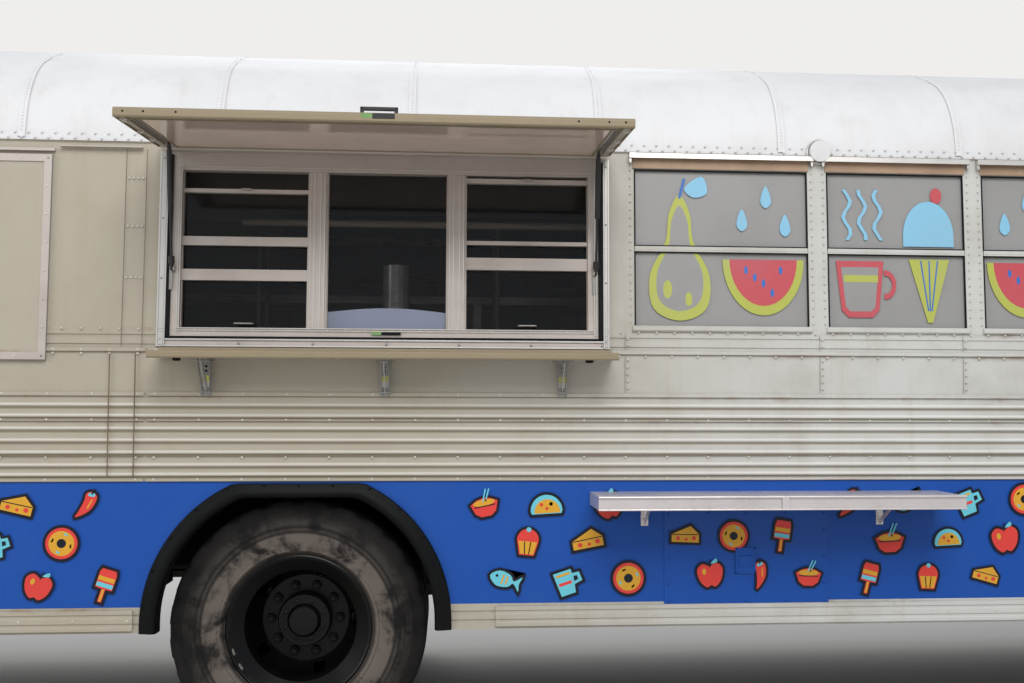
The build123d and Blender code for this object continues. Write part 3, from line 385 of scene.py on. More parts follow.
def between(count: int) -> list[tuple[int, ...]]:
    """List the faces between two rings of points, one after the other."""
    return [(n, (n + 1) % count, count + (n + 1) % count, count + n) for n in range(count)]


def face_out(data: bpy.types.Mesh) -> None:
    """Turn every face of a mesh outwards."""
    work = bmesh.new()
    work.from_mesh(data)
    bmesh.ops.recalc_face_normals(work, faces=work.faces)
    work.to_mesh(data)
    work.free()


def rounded(width: float, height: float, corner: float, steps: int = 4) -> list[Flat]:
    """Make the outline of a rectangle with round corners about the origin."""
    points = []
    spots = ((1, 1, 0), (-1, 1, 90), (-1, -1, 180), (1, -1, 270))
    for sx, sy, first in spots:
        for n in range(steps + 1):
            turn = radians(first + 90 * n / steps)
            points.append((sx * (width / 2 - corner) + corner * cos(turn),
                           sy * (height / 2 - corner) + corner * sin(turn)))
    return points


def moved(outline: Iterable[Flat], x: float, y: float) -> list[Flat]:
    """Move an outline."""
    return [(a + x, b + y) for a, b in outline]


@dataclass(frozen=True)
class Finish:
    """A finish with an even colour, faint soiling and a fine grain in its gloss.

    Args:
        title: the material's common name, with how its surface was made.
        slot: material slot of the record that it fills; not used.
        colour: sRGB code of the clean surface.
        rough: roughness of the surface.
        metal: metallic share.
        soil: sRGB code of what lies on it.
        soiling: how much of it shows, from 0 to 1.
        grain_mm: size of the fine grain in millimetres.
        grain: depth of the grain in the shading.
        specular: strength of the mirror-like share of a surface that isn't metal.
    """

    title: str
    slot: str
    colour: str
    rough: float
    metal: float = 0.0
    soil: str = "#6f6554"
    soiling: float = 0.12
    grain_mm: float = 6.0
    grain: float = 0.04
    specular: float = 0.5

    def build(self) -> bpy.types.Material:
        """Make the material with its nodes."""
        material = bpy.data.materials.new(self.title)
        material.use_nodes = True
        tree = material.node_tree
        shader = tree.nodes["Principled BSDF"]
        shader.inputs["Metallic"].default_value = self.metal
        shader.inputs["Specular IOR Level"].default_value = self.specular
        place = add(tree, "TexCoord").outputs["Object"]
        tree.links.new(self.colours(tree, place), shader.inputs["Base Color"])
        self.gloss(tree, shader, place)
        self.finish_up(material, tree, shader, place)
        return material

    def colours(self, tree: Tree, place: Socket) -> Socket:
        """Give the clean colour with its soiling in soft patches."""
        share = patches(tree, place, {"Scale": 3.1, "Detail": 8.0, "Roughness": 0.62}, (0.42, 0.75),
                        (0.0, self.soiling))
        return add(tree, "Mix", {"data_type": "RGBA"},
                   {0: share, 6: linear(self.colour), 7: linear(self.soil)}).outputs[2]

    def gloss(self, tree: Tree, shader: Node, place: Socket) -> None:
        """Vary the roughness and add the fine grain."""
        fine = add(tree, "TexNoise", None, {"Vector": place, "Scale": 1000 / self.grain_mm, "Detail": 3.0})
        rough = add(tree, "MapRange", None, {0: fine.outputs[0], 3: self.rough * 0.85, 4: self.rough * 1.15})
        tree.links.new(rough.outputs[0], shader.inputs["Roughness"])
        bump = add(tree, "Bump", None, {"Height": fine.outputs[0], "Strength": self.grain, "Distance": 0.002})
        tree.links.new(bump.outputs[0], shader.inputs["Normal"])

    def finish_up(self, material: bpy.types.Material, tree: Tree, shader: Node, place: Socket) -> None:
        """Set what only this kind of finish has."""


@dataclass(frozen=True)
class AgedEnamel(Finish):
    """Alkyd enamel rolled on steel panels: chalked, streaked by rain and rusty at its seams.

    Args:
        streaks: how strongly the rain streaks show.
        rust: how strongly rust shows near the seams.
        seams: heights of the seams in metres.
        beads: heights of the pressed beads, with painted shade below them and a painted highlight on their
            crests.
        rear: place along the frame's X from which the side gets darker towards the rear, a painted shade.
    """

    streaks: float = 0.35
    rust: float = 0.6
    seams: tuple[float, ...] = ()
    beads: tuple[float, ...] = ()
    rear: float = 0.0

    def colours(self, tree: Tree, place: Socket) -> Socket:
        """Give the enamel with chalk, rain streaks and rust, and painted shade and highlight at the beads."""
        clean = super().colours(tree, place)
        drawn = add(tree, "Mapping", None, {"Vector": place, "Scale": (14.0, 14.0, 0.7)}).outputs[0]
        runs = patches(tree, drawn, {"Scale": 1.0, "Detail": 6.0, "Roughness": 0.7}, (0.5, 0.78),
                       (0.0, self.streaks))
        streaked = add(tree, "Mix", {"data_type": "RGBA"},
                       {0: runs, 6: clean, 7: linear("#a89b82")}).outputs[2]
        if not self.seams:
            return streaked
        split = add(tree, "SeparateXYZ", None, {0: place})
        height = split.outputs[2]
        streaked = self.painted_light_and_shade(tree, streaked, split)
        nearest = None
        for seam in self.seams:
            below = add(tree, "Math", {"operation": "SUBTRACT"}, {0: seam, 1: height}).outputs[0]
            # rust runs down from a seam, so a way below it counts about a fifth of the same way above it
            down, up = (add(tree, "Math", {"operation": "MULTIPLY"}, {0: below, 1: weight}).outputs[0]
                        for weight in (0.3, -1.6))
            way = add(tree, "Math", {"operation": "MAXIMUM"}, {0: down, 1: up}).outputs[0]
            nearest = way if nearest is None else add(tree, "Math", {"operation": "MINIMUM"},
                                                      {0: nearest, 1: way}).outputs[0]
        close = add(tree, "MapRange", {"interpolation_type": "SMOOTHSTEP"},
                    {0: nearest, 1: 0.0, 2: 0.008, 3: 1.0, 4: 0.0}).outputs[0]
        patchy = patches(tree, place, {"Scale": 2.6, "Detail": 10.0, "Roughness": 0.74}, (0.52, 0.68),
                         (0.0, self.rust))
        rust = add(tree, "Math", {"operation": "MULTIPLY"}, {0: close, 1: patchy}).outputs[0]
        return add(tree, "Mix", {"data_type": "RGBA"},
                   {0: rust, 6: streaked, 7: linear("#80593a")}).outputs[2]

    def painted_light_and_shade(self, tree: Tree, colour: Socket, split: Node) -> Socket:
        """Paint shade below the pressed beads and a highlight on their crests, and paint the side darker
        towards the rear.

        Args:
            tree: the node tree.
            colour: the colour so far.
            split: the place, split into its three parts.

        Returns:
            The colour with the painted shade and highlight.
        """
        height = split.outputs[2]
        # painted shade: a dark line just under each bead, where its shadow falls
        below = self.lines(tree, height, ((-0.019, 0.0), (-0.0115, 0.95), (-0.004, 0.0)))
        # painted highlight along each bead's crest
        painted_crest_highlight = self.lines(tree, height, ((-0.003, 0.0), (0.004, 0.55), (0.011, 0.0)))
        # painted shade, growing towards the rear
        behind = add(tree, "MapRange", {"interpolation_type": "SMOOTHSTEP"},
                     {0: split.outputs[0], 1: self.rear - 2.4, 2: self.rear, 3: 0.7, 4: 0.0}).outputs[0]
        for share, code in ((behind, "#9a8e76"), (below, "#786c5a"), (painted_crest_highlight, "#e2dfd8")):
            colour = add(tree, "Mix", {"data_type": "RGBA"},
                         {0: share, 6: colour, 7: linear(code)}).outputs[2]
        return colour

    def lines(self, tree: Tree, height: Socket, profile: Sequence[Flat]) -> Socket:
        """Give a share that follows one profile at every bead.

        Args:
            tree: the node tree.
            height: the height of the place.
            profile: distance above a bead's middle, and the share there, point by point.

        Returns:
            The share.
        """
        low, high = self.beads[0] - 0.040, self.beads[-1] + 0.040
        stops = [((bead + lift - low) / (high - low), share)
                 for bead in self.beads for lift, share in profile]
        return through_stops(tree, height, (low, high), stops)


@dataclass(frozen=True)
class WrappedEnamel(AgedEnamel):
    """The walls' enamel, with a band of gloss vinyl along the lower side.

    Args:
        vinyl: sRGB code of the vinyl.
        low: lower edge of the band in metres.
        high: upper edge of the band in metres.
        inside: half width of the body inside which there is no vinyl.
        middle: place of the body's middle plane along Y.
    """

    vinyl: str = "#08479b"
    low: float = BAND_BOTTOM
    high: float = BAND_TOP
    inside: float = 1.19
    middle: float = 0.0

    def colours(self, tree: Tree, place: Socket) -> Socket:
        """Give the enamel above and below the band, and the vinyl between."""
        enamel = super().colours(tree, place)
        split = add(tree, "SeparateXYZ", None, {0: place})
        above = add(tree, "Math", {"operation": "GREATER_THAN"},
                    {0: split.outputs[2], 1: self.low}).outputs[0]
        under = add(tree, "Math", {"operation": "LESS_THAN"}, {0: split.outputs[2], 1: self.high}).outputs[0]
        across = add(tree, "Math", {"operation": "SUBTRACT"},
                     {0: split.outputs[1], 1: self.middle}).outputs[0]
        off = add(tree, "Math", {"operation": "ABSOLUTE"}, {0: across}).outputs[0]
        outside = add(tree, "Math", {"operation": "GREATER_THAN"}, {0: off, 1: self.inside}).outputs[0]
        level = add(tree, "Math", {"operation": "MULTIPLY"}, {0: above, 1: under}).outputs[0]
        band = add(tree, "Math", {"operation": "MULTIPLY"}, {0: level, 1: outside}).outputs[0]
        dust = patches(tree, place, {"Scale": 4.0, "Detail": 7.0, "Roughness": 0.65}, (0.45, 0.8),
                       (0.0, 0.14))
        vinyl = add(tree, "Mix", {"data_type": "RGBA"},
                    {0: dust, 6: linear(self.vinyl), 7: linear("#34598f")}).outputs[2]
        return add(tree, "Mix", {"data_type": "RGBA"}, {0: band, 6: enamel, 7: vinyl}).outputs[2]


@dataclass(frozen=True)
class Drawn(Finish):
    """Metal with fine lines along one axis, as drawing, rolling or brushing leaves.

    Args:
        along: 0, 1 or 2 for the axis that the lines follow.
        line_mm: distance between the lines; the real ones are finer than the render can show.
        spread: how much the lines change the roughness.
    """

    metal: float = 1.0
    along: int = 0
    line_mm: float = 3.0
    spread: float = 0.35

    def gloss(self, tree: Tree, shader: Node, place: Socket) -> None:
        """Draw the lines into the roughness and the shading."""
        scale = [1000 / self.line_mm] * 3
        scale[self.along] = 1.5
        drawn = add(tree, "Mapping", None, {"Vector": place, "Scale": scale}).outputs[0]
        lines = add(tree, "TexNoise", None, {"Vector": drawn, "Scale": 1.0, "Detail": 4.0, "Roughness": 0.7})
        smears = add(tree, "TexNoise", None, {"Vector": place, "Scale": 5.0, "Detail": 5.0})
        near, wide = (add(tree, "Math", {"operation": "MULTIPLY"}, {0: noise.outputs[0], 1: share}).outputs[0]
                      for noise, share in ((lines, 0.6), (smears, 0.4)))
        both = add(tree, "Math", {"operation": "ADD"}, {0: near, 1: wide})
        rough = add(tree, "MapRange", None,
                    {0: both.outputs[0], 1: 0.3, 2: 0.7, 3: self.rough * (1 - self.spread),
                     4: self.rough * (1 + self.spread)})
        tree.links.new(rough.outputs[0], shader.inputs["Roughness"])
        bump = add(tree, "Bump", None, {"Height": lines.outputs[0], "Strength": self.grain,
                                        "Distance": 0.001})
        tree.links.new(bump.outputs[0], shader.inputs["Normal"])


@dataclass(frozen=True)
class WornTyre(Finish):
    """Black tyre rubber with road dust caked on its side wall in rings.

    Args:
        axle_x: place of the wheel's axle along the frame's X.
        dust: sRGB code of the dust.
        side_wall: distances from the axle between which the rings lie.
        rings: share of dust from the rim at 0 to the tread at 1, point by point.
    """

    axle_x: float = 0.0
    dust: str = "#675e57"
    side_wall: Flat = (0.27, 0.52)
    rings: tuple[Flat, ...] = ((0.0, 0.45), (0.09, 0.8), (0.125, 0.15), (0.16, 0.95), (0.43, 0.8),
                               (0.47, 0.08),
                               (0.51, 0.36), (0.55, 0.08), (0.60, 0.28), (0.70, 0.12), (0.82, 0.04),
                               (1.0, 0.02))

    def colours(self, tree: Tree, place: Socket) -> Socket:
        """Give the rubber with the dust by its distance from the axle."""
        centred = add(tree, "VectorMath", {"operation": "SUBTRACT"},
                      {0: place, 1: (self.axle_x, 0.0, AXLE_HEIGHT)}).outputs[0]
        flat = add(tree, "VectorMath", {"operation": "MULTIPLY"}, {0: centred, 1: (1.0, 0.0, 1.0)}).outputs[0]
        reach = add(tree, "VectorMath", {"operation": "LENGTH"}, {0: flat}).outputs["Value"]
        rings = through_stops(tree, reach, self.side_wall, self.rings)
        caked = patches(tree, place, {"Scale": 7.0, "Detail": 9.0, "Roughness": 0.68, "Distortion": 0.5},
                        (0.37, 0.56), (0.05, 1.0))
        share = add(tree, "Math", {"operation": "MULTIPLY"}, {0: rings, 1: caked}).outputs[0]
        return add(tree, "Mix", {"data_type": "RGBA"},
                   {0: share, 6: linear(self.colour), 7: linear(self.dust)}).outputs[2]


@dataclass(frozen=True)
class ClearSheet(Finish):
    """Glass or plastic that lets light through, with dust and wipe marks on it.

    Args:
        ior: index of refraction.
        cover: how much of what is behind it is covered, from 0 to 1.
    """

    ior: float = 1.5
    cover: float = 0.4
    soiling: float = 0.1

    def finish_up(self, material: bpy.types.Material, tree: Tree, shader: Node, place: Socket) -> None:
        """Make the sheet see-through, a little less where it is dusty."""
        shader.inputs["IOR"].default_value = self.ior
        dust = add(tree, "TexNoise", None, {"Vector": place, "Scale": 6.0, "Detail": 8.0, "Roughness": 0.7})
        cover = add(tree, "MapRange", None, {0: dust.outputs[0], 1: 0.3, 2: 0.8, 3: self.cover,
                                             4: min(1.0, self.cover + self.soiling)})
        tree.links.new(cover.outputs[0], shader.inputs["Alpha"])
        material.surface_render_method = "BLENDED"


@dataclass(frozen=True)
class Lens(Finish):
    """Moulded acrylic lamp lens with prisms inside.

    Args:
        prism_mm: width of one prism.
    """

    prism_mm: float = 6.0

    def gloss(self, tree: Tree, shader: Node, place: Socket) -> None:
        """Press the prisms into the shading."""
        cells = add(tree, "TexVoronoi", None, {"Vector": place, "Scale": 1000 / self.prism_mm})
        bump = add(tree, "Bump", None, {"Height": cells.outputs[0], "Strength": 0.35, "Distance": 0.002})
        tree.links.new(bump.outputs[0], shader.inputs["Normal"])
        shader.inputs["Roughness"].default_value = self.rough
        shader.inputs["Coat Weight"].default_value = 0.6


SITE = Site.read()
SEAMS = (0.614, BAND_TOP, 1.218, 1.350, FLUTES_TOP, BELT, 1.722)
# heights of the pressed beads, under which the enamel gets painted shade and on which it gets a painted
# highlight
BEADS = (1.136, 1.174, 1.224, 1.272, 1.319, 1.370, 1.413)


class Surface(Enum):
    """The finishes of the vehicle, each with its material's name, slot, colour and gloss."""

    # old cream enamel: chalky, nearly matt, warm with rain dirt; painted shade under the beads and towards
    # the rear, and a painted highlight on the bead crests
    BODY = WrappedEnamel("aged alkyd enamel, cream", "body_paint", "#c0bfba", 0.46, soil="#a09a8e",
                         soiling=0.5, seams=SEAMS, beads=BEADS, rear=SITE.axle + 2.5, middle=SITE.middle,
                         specular=0.32)
    # roof paint, washed white by the weather
    ROOF = AgedEnamel("chalky roof enamel, white", "roof_paint", "#d3d2d2", 0.55, soil="#b3b0aa",
                      soiling=0.3, streaks=0.15)
    # cast vinyl film: even colour, clear gloss, light dust
    BAND = Finish("gloss vinyl wrap, blue", "band_paint", "#08479b", 0.3, soil="#34598f", soiling=0.14,
                  specular=0.32)
    # glass painted over with a roller: soft grey with faint drag marks
    PANE = Finish("roller painted glass, grey", "pane_paint", "#8f8d8b", 0.34, soil="#7c7975", soiling=0.3,
                  grain_mm=18.0, grain=0.1)
    # the strip above the windows: the same enamel, coloured brown as a painted shade for the shadow under the
    # rail
    HEADER = AgedEnamel("aged alkyd enamel, tan", "body_paint", "#a0836a", 0.55, soil="#77624b",
                        soiling=0.7, streaks=0.4)
    # extruded aluminium, dulled by the weather: soft wide highlights along the bars
    ALUMINIUM = Drawn("mill finish aluminium", "window_aluminium", "#b8aea6", 0.52, 0.5, soil="#7d7366",
                      soiling=0.35, line_mm=4.0, grain=0.06)
    # rolled aluminium moulding, rubbed bright; on the service window frame's ribs and flange strips it is a
    # painted highlight
    ALUMINIUM_BRIGHT = Drawn("bright rolled aluminium", "window_aluminium", "#c9c5bf", 0.36, 0.7,
                             soil="#99938a", soiling=0.25, line_mm=4.0, grain=0.04)
    # the awning's front bar: aluminium coloured a dark beige, a painted shade
    ALUMINIUM_AGED = Drawn("weathered aluminium, beige", "window_aluminium", "#8f8169", 0.55, 0.35,
                           soil="#857760", soiling=0.4, line_mm=4.0, grain=0.05)
    # stainless sheet with a brushed face: long soft streaks; half metal with a light base colour, so part of
    # its brightness is a painted reflection of a bright surround
    STEEL = Drawn("brushed stainless steel", "shelf_steel", "#d3ccca", 0.3, 0.5, soil="#a49a93",
                  soiling=0.25, line_mm=2.5, grain=0.08)
    # zinc plated brackets and struts
    ZINC = Drawn("bright zinc plated steel", "shelf_steel", "#9c9994", 0.3, 0.6, soil="#736e65",
                 soiling=0.25, along=2, line_mm=3.0)
    # rivets painted with the body, lighter where wiped
    RIVET = Finish("painted rivet heads", "body_paint", "#c4c0b6", 0.42, soil="#93866f", soiling=0.5)
    # seam sealer that has cracked and gone brown
    SEAM = Finish("rusty seam sealer", "body_paint", "#7a6e5d", 0.8, soil="#573f2b", soiling=0.9,
                  grain_mm=4.0, grain=0.2)
    # black rubber profile
    GASKET = Finish("EPDM gasket rubber", "arch_rubber", "#090a0b", 0.55, soil="#1f1e1c", soiling=0.25,
                    specular=0.15)
    # moulded rubber, dull with a satin sheen along its shoulder
    FLARE = Finish("moulded arch rubber", "arch_rubber", "#08090a", 0.5, soil="#191816", soiling=0.35,
                   grain_mm=9.0, grain=0.1, specular=0.12)
    TYRE_REAR = WornTyre("worn tyre rubber, rear axle", "tyre_rubber", "#111010", 0.8, axle_x=SITE.axle,
                         grain_mm=7.0, grain=0.3, specular=0.2)
    TYRE_FRONT = WornTyre("worn tyre rubber, front axle", "tyre_rubber", "#111010", 0.8,
                          axle_x=SITE.axle + WHEELBASE, grain_mm=7.0, grain=0.3, specular=0.2)
    # wheel enamel under brake dust
    WHEEL = Finish("dusty black wheel paint", "wheel_paint", "#050505", 0.34, soil="#1b1714", soiling=0.4,
                   grain_mm=8.0, grain=0.15, specular=0.22)
    # chassis black under road dirt
    CHASSIS = Finish("black chassis paint", "chassis_paint", "#1b1b1c", 0.62, soil="#4b443b", soiling=0.8,
                     grain_mm=8.0, grain=0.25)
    # bare casting with oil and dirt
    CASTING = Finish("cast iron", "engine_casting", "#4a4845", 0.7, 0.6, soil="#2a241c", soiling=0.8,
                     grain_mm=7.0, grain=0.4)
    # float glass in front of a dark room
    GLASS = ClearSheet("dark float glass", "window_glass", "#0a0806", 0.05, soil="#2f2b27", soiling=0.05,
                       cover=0.34, grain=0.0)
    # laminated glass, faintly green
    CAB_GLASS = ClearSheet("clear laminated glass", "cab_glass", "#26302e", 0.04, soil="#6b6a64",
                           soiling=0.06, cover=0.35, grain=0.0)
    # plastic sheet dulled by fine scratches
    SHEET = ClearSheet("scratched polycarbonate sheet", "awning_sheet", "#8f8781", 0.16, soil="#a8a099",
                       soiling=0.12, cover=0.62, grain=0.02, ior=1.58)
    # brown tinted acrylic, polished: the window mirrors in it
    TINT = Finish("tinted acrylic sheet, brown", "awning_sheet", "#e4cdbf", 0.07, 0.2, soil="#ad9f95",
                  soiling=0.3, grain_mm=40.0, grain=0.01, specular=0.8)
    # moulded black plastic
    PLASTIC = Finish("black ABS", "dash_plastic", "#1a1a1b", 0.45, soil="#3b3935", soiling=0.25,
                     grain_mm=3.0, grain=0.15)
    # seat cover with a pressed grain
    SEAT = Finish("embossed seat vinyl", "seat_vinyl", "#23252a", 0.5, soil="#3a3a3b", soiling=0.2,
                  grain_mm=5.0, grain=0.5)
    # ribbed rubber floor
    FLOOR = Finish("ribbed floor covering", "floor_plate", "#2c2c2d", 0.7, soil="#56504a", soiling=0.5,
                   grain_mm=10.0, grain=0.4)
    # blank price labels on the brackets
    LABEL = Finish("paper label, yellow", "band_paint", "#d8d566", 0.6, soil="#a9a45a", soiling=0.3)
    LABEL_WHITE = Finish("paper label, white", "body_paint", "#dedcdc", 0.6, soil="#a5a2a0", soiling=0.3)
    # strip of marking tape
    TAPE = Finish("marking tape, green", "band_paint", "#6f9a55", 0.5, soil="#5b6a45", soiling=0.4)
    # acrylic lenses
    LENS_CLEAR = Lens("clear lamp lens", "lamp_lens", "#d4d2d1", 0.14, soil="#a19c95", soiling=0.4)
    LENS_AMBER = Lens("amber lamp lens", "lamp_lens", "#c9661a", 0.15, soil="#8a4a18", soiling=0.3)
    LENS_RED = Lens("red lamp lens", "lamp_lens", "#a01218", 0.15, soil="#5c1013", soiling=0.3)
    # flat silvered glass
    MIRROR = Finish("silvered mirror", "mirror_shell", "#d8dcdc", 0.04, 1.0, soil="#9fa3a3", soiling=0.1,
                    grain=0.0)
    # inks of the printed film
    INK = Finish("printed vinyl, ink", "band_paint", "#10121f", 0.32, soil="#20273c", soiling=0.2,
                 specular=0.3)
    RED = Finish("printed vinyl, red", "band_paint", "#d43f38", 0.32, soil="#a8403b", soiling=0.25,
                 specular=0.3)
    AQUA = Finish("printed vinyl, aqua", "band_paint", "#66bccb", 0.32, soil="#5c9fab", soiling=0.25,
                  specular=0.3)
    YELLOW = Finish("printed vinyl, yellow", "band_paint", "#d09a2e", 0.32, soil="#a98237", soiling=0.25,
                    specular=0.3)
    # cut film on the painted windows
    BLUE = Finish("cut vinyl, blue", "band_paint", "#2a63b0", 0.4, soil="#5b7ba8", soiling=0.4)
    LIME = Finish("cut vinyl, lime", "band_paint", "#a9ad49", 0.4, soil="#a3a572", soiling=0.5)
    SKY = Finish("cut vinyl, light blue", "band_paint", "#7fb6d1", 0.4, soil="#8aa9b8", soiling=0.4)
    ROSE = Finish("cut vinyl, rose", "band_paint", "#b9474f", 0.4, soil="#a8646a", soiling=0.4)
    # powder coat on kitchen machines
    CHARCOAL = Finish("powder coated steel, charcoal", "dash_plastic", "#1d1c1c", 0.4, soil="#3a3734",
                      soiling=0.3, grain_mm=3.0, grain=0.1)
    # grey blue laminate, seen low behind the glass
    SLATE = Finish("laminate, grey blue", "body_paint", "#7f879b", 0.4, soil="#6f7687", soiling=0.3)
    # conduit inside, painted beige
    BUFF = Finish("conduit enamel, buff", "body_paint", "#cbbba6", 0.5, soil="#9d8f7c", soiling=0.3)

    @cache
    def material(self) -> bpy.types.Material:
        """Give the material, made once when it is first asked for."""
        return self.value.build()

    def dress(self, *nodes: str) -> None:
        """Put this finish on every material slot of some CAD nodes."""
        for node in nodes:
            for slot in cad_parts[node].material_slots:
                slot.material = self.material()


def disc(x: float, y: float, radius: float, steps: int = 20, squash: float = 1.0) -> list[Flat]:
    """Make the outline of a disc, or of an oval when squashed in height."""
    return [(x + radius * cos(2 * pi * n / steps), y + radius * squash * sin(2 * pi * n / steps))
            for n in range(steps)]


def smooth(points: Sequence[Flat], steps: int = 4) -> list[Flat]:
    """Round a closed outline through its points.

    Args:
        points: the outline's corner points in order.
        steps: how many points each stretch gets.

    Returns:
        The rounded outline.
    """
    count = len(points)
    out = []
    for n in range(count):
        a, b, c, d = (Vector(points[(n + k) % count]) for k in (-1, 0, 1, 2))
        for s in range(steps):
            t = s / steps
            bend, twist = 2 * a - 5 * b + 4 * c - d, 3 * b - a - 3 * c + d
            spot = 0.5 * (2 * b + (c - a) * t + bend * t * t + twist * t ** 3)
            out.append((spot.x, spot.y))
    return out


def grown(outline: Sequence[Flat], by: float) -> list[Flat]:
    """Move every side of a closed outline outwards by a distance."""
    count = len(outline)
    area = sum(outline[n][0] * outline[(n + 1) % count][1] - outline[(n + 1) % count][0] * outline[n][1]
               for n in range(count))
    turn = 1.0 if area > 0 else -1.0
    out = []
    for n in range(count):
        a, b, c = (Vector(outline[(n + k) % count]) for k in (-1, 0, 1))
        before, after = (b - a).normalized(), (c - b).normalized()
        normal = Vector((before.y + after.y, -before.x - after.x)) * turn
        normal = normal.normalized() if normal.length > 1e-6 else Vector((before.y, -before.x)) * turn
        spread = max(0.5, normal.dot(Vector((before.y, -before.x)) * turn))
        spot = b + normal * by / spread
        out.append((spot.x, spot.y))
    return out


def spaced(start: float, stop: float, pitch: float) -> list[float]:
    """Share out even places between two ends, at about a pitch."""
    count = max(1, round((stop - start) / pitch))
    return [start + (stop - start) * n / count for n in range(count + 1)]


@dataclass
class OnSide:
    """What belongs to one side wall.

    Args:
        side: 1 for the street wall and -1 for the curb wall.
    """

    side: int

    def name(self, part: str) -> str:
        """Name a piece of this side."""
        return f"{'street' if self.side > 0 else 'curb'}_{part}"


@dataclass
class WallTrim(OnSide):
    """Lap seams, rivets and the skirt rail of one side wall.

    Args:
        spans: first and last place of each whole stretch of wall.
        proud: how far a lap's edge stands out.
    """

    spans: tuple[Flat, ...]
    proud: float = 0.0016
    seam_line: Flat = (0.0018, 0.0009)
    rivet: Flat = (0.0052, 0.0026)
    # height of a row of rivets and its pitch
    rows: tuple[Flat, ...] = ((1.118, 0.172), (1.2045, 0.172), (1.3550, 0.172), (1.458, 0.172),
                              (1.618, 0.110), (1.634, 0.110), (1.717, 0.075))
    # height and width of the laps in the sheets
    laps: tuple[Flat, ...] = ((1.111, 0.014), (1.2112, 0.0022), (1.350, 0.0095), (1.450, 0.015),
                              (1.627, 0.014))
    columns: tuple[float, ...] = (-2.300, -1.480, 1.318, 2.140, 2.760, 3.580, 4.400, 5.220)
    skirt_spans: tuple[Flat, ...] = ((0.790, 4.560), (-2.745, -0.640))

    def build(self) -> None:
        """Make the laps, the dark seam lines, the rivets and the skirt rail."""
        place = SITE.wall(self.side)
        laps, lines, heads, rail = forms(4, place)
        for x0, x1 in self.spans:
            for z, tall in self.laps:
                laps.block((x0, -0.0005, z), (x1, self.proud, z + tall))
                lines.block((x0, -0.0005, z - self.seam_line[0]), (x1, self.seam_line[1], z))
            for z, pitch in self.rows:
                for x in spaced(x0 + 0.03, x1 - 0.03, pitch):
                    heads.dome((x, 0.0, z), 1, *self.rivet)
            for x in self.columns:
                if x0 < x < x1:
                    self.column(heads, lines, x)
        for x0, x1 in self.skirt_spans:
            self.skirt_rail(rail, heads, x0, x1)
        laps.piece(self.name("lap_edges"), Surface.BODY, edge=0.0006)
        lines.piece(self.name("seam_lines"), Surface.SEAM)
        heads.piece(self.name("rivets"), Surface.RIVET, smooth=60.0)
        rail.piece(self.name("skirt_rail"), Surface.BODY, edge=0.001)

    def column(self, heads: Form, lines: Form, x: float) -> None:
        """Add one upright seam with its two columns of rivets, between the laps and above the belt."""
        for low, high in ((FLUTES_TOP + 0.02, BELT - 0.004), (BELT + 0.02, SILL - 0.02)):
            lines.block((x - 0.0008, -0.0005, low), (x + 0.0008, 0.0008, high))
            for z in spaced(low + 0.018, high - 0.018, 0.032):
                heads.dome((x + 0.012, 0.0, z), 1, *self.rivet)

    def skirt_rail(self, rail: Form, heads: Form, x0: float, x1: float) -> None:
        """Add one length of the ribbed rail along the skirt."""
        low, tall, deep, shallow = 0.521, 0.084, 0.0065, 0.0020
        outline = [(-0.001, low), (deep, low + 0.002)]
        for groove in (0.024, 0.059):
            outline += [(deep, low + groove - 0.008), (shallow, low + groove - 0.004),
                        (shallow, low + groove + 0.004), (deep, low + groove + 0.008)]
        outline += [(deep, low + tall - 0.002), (-0.001, low + tall)]
        rail.prism(outline, 0, x0, x1)
        for x in spaced(x0 + 0.02, x1 - 0.02, 0.21):
            heads.dome((x, deep, low + tall / 2), 1, *self.rivet)


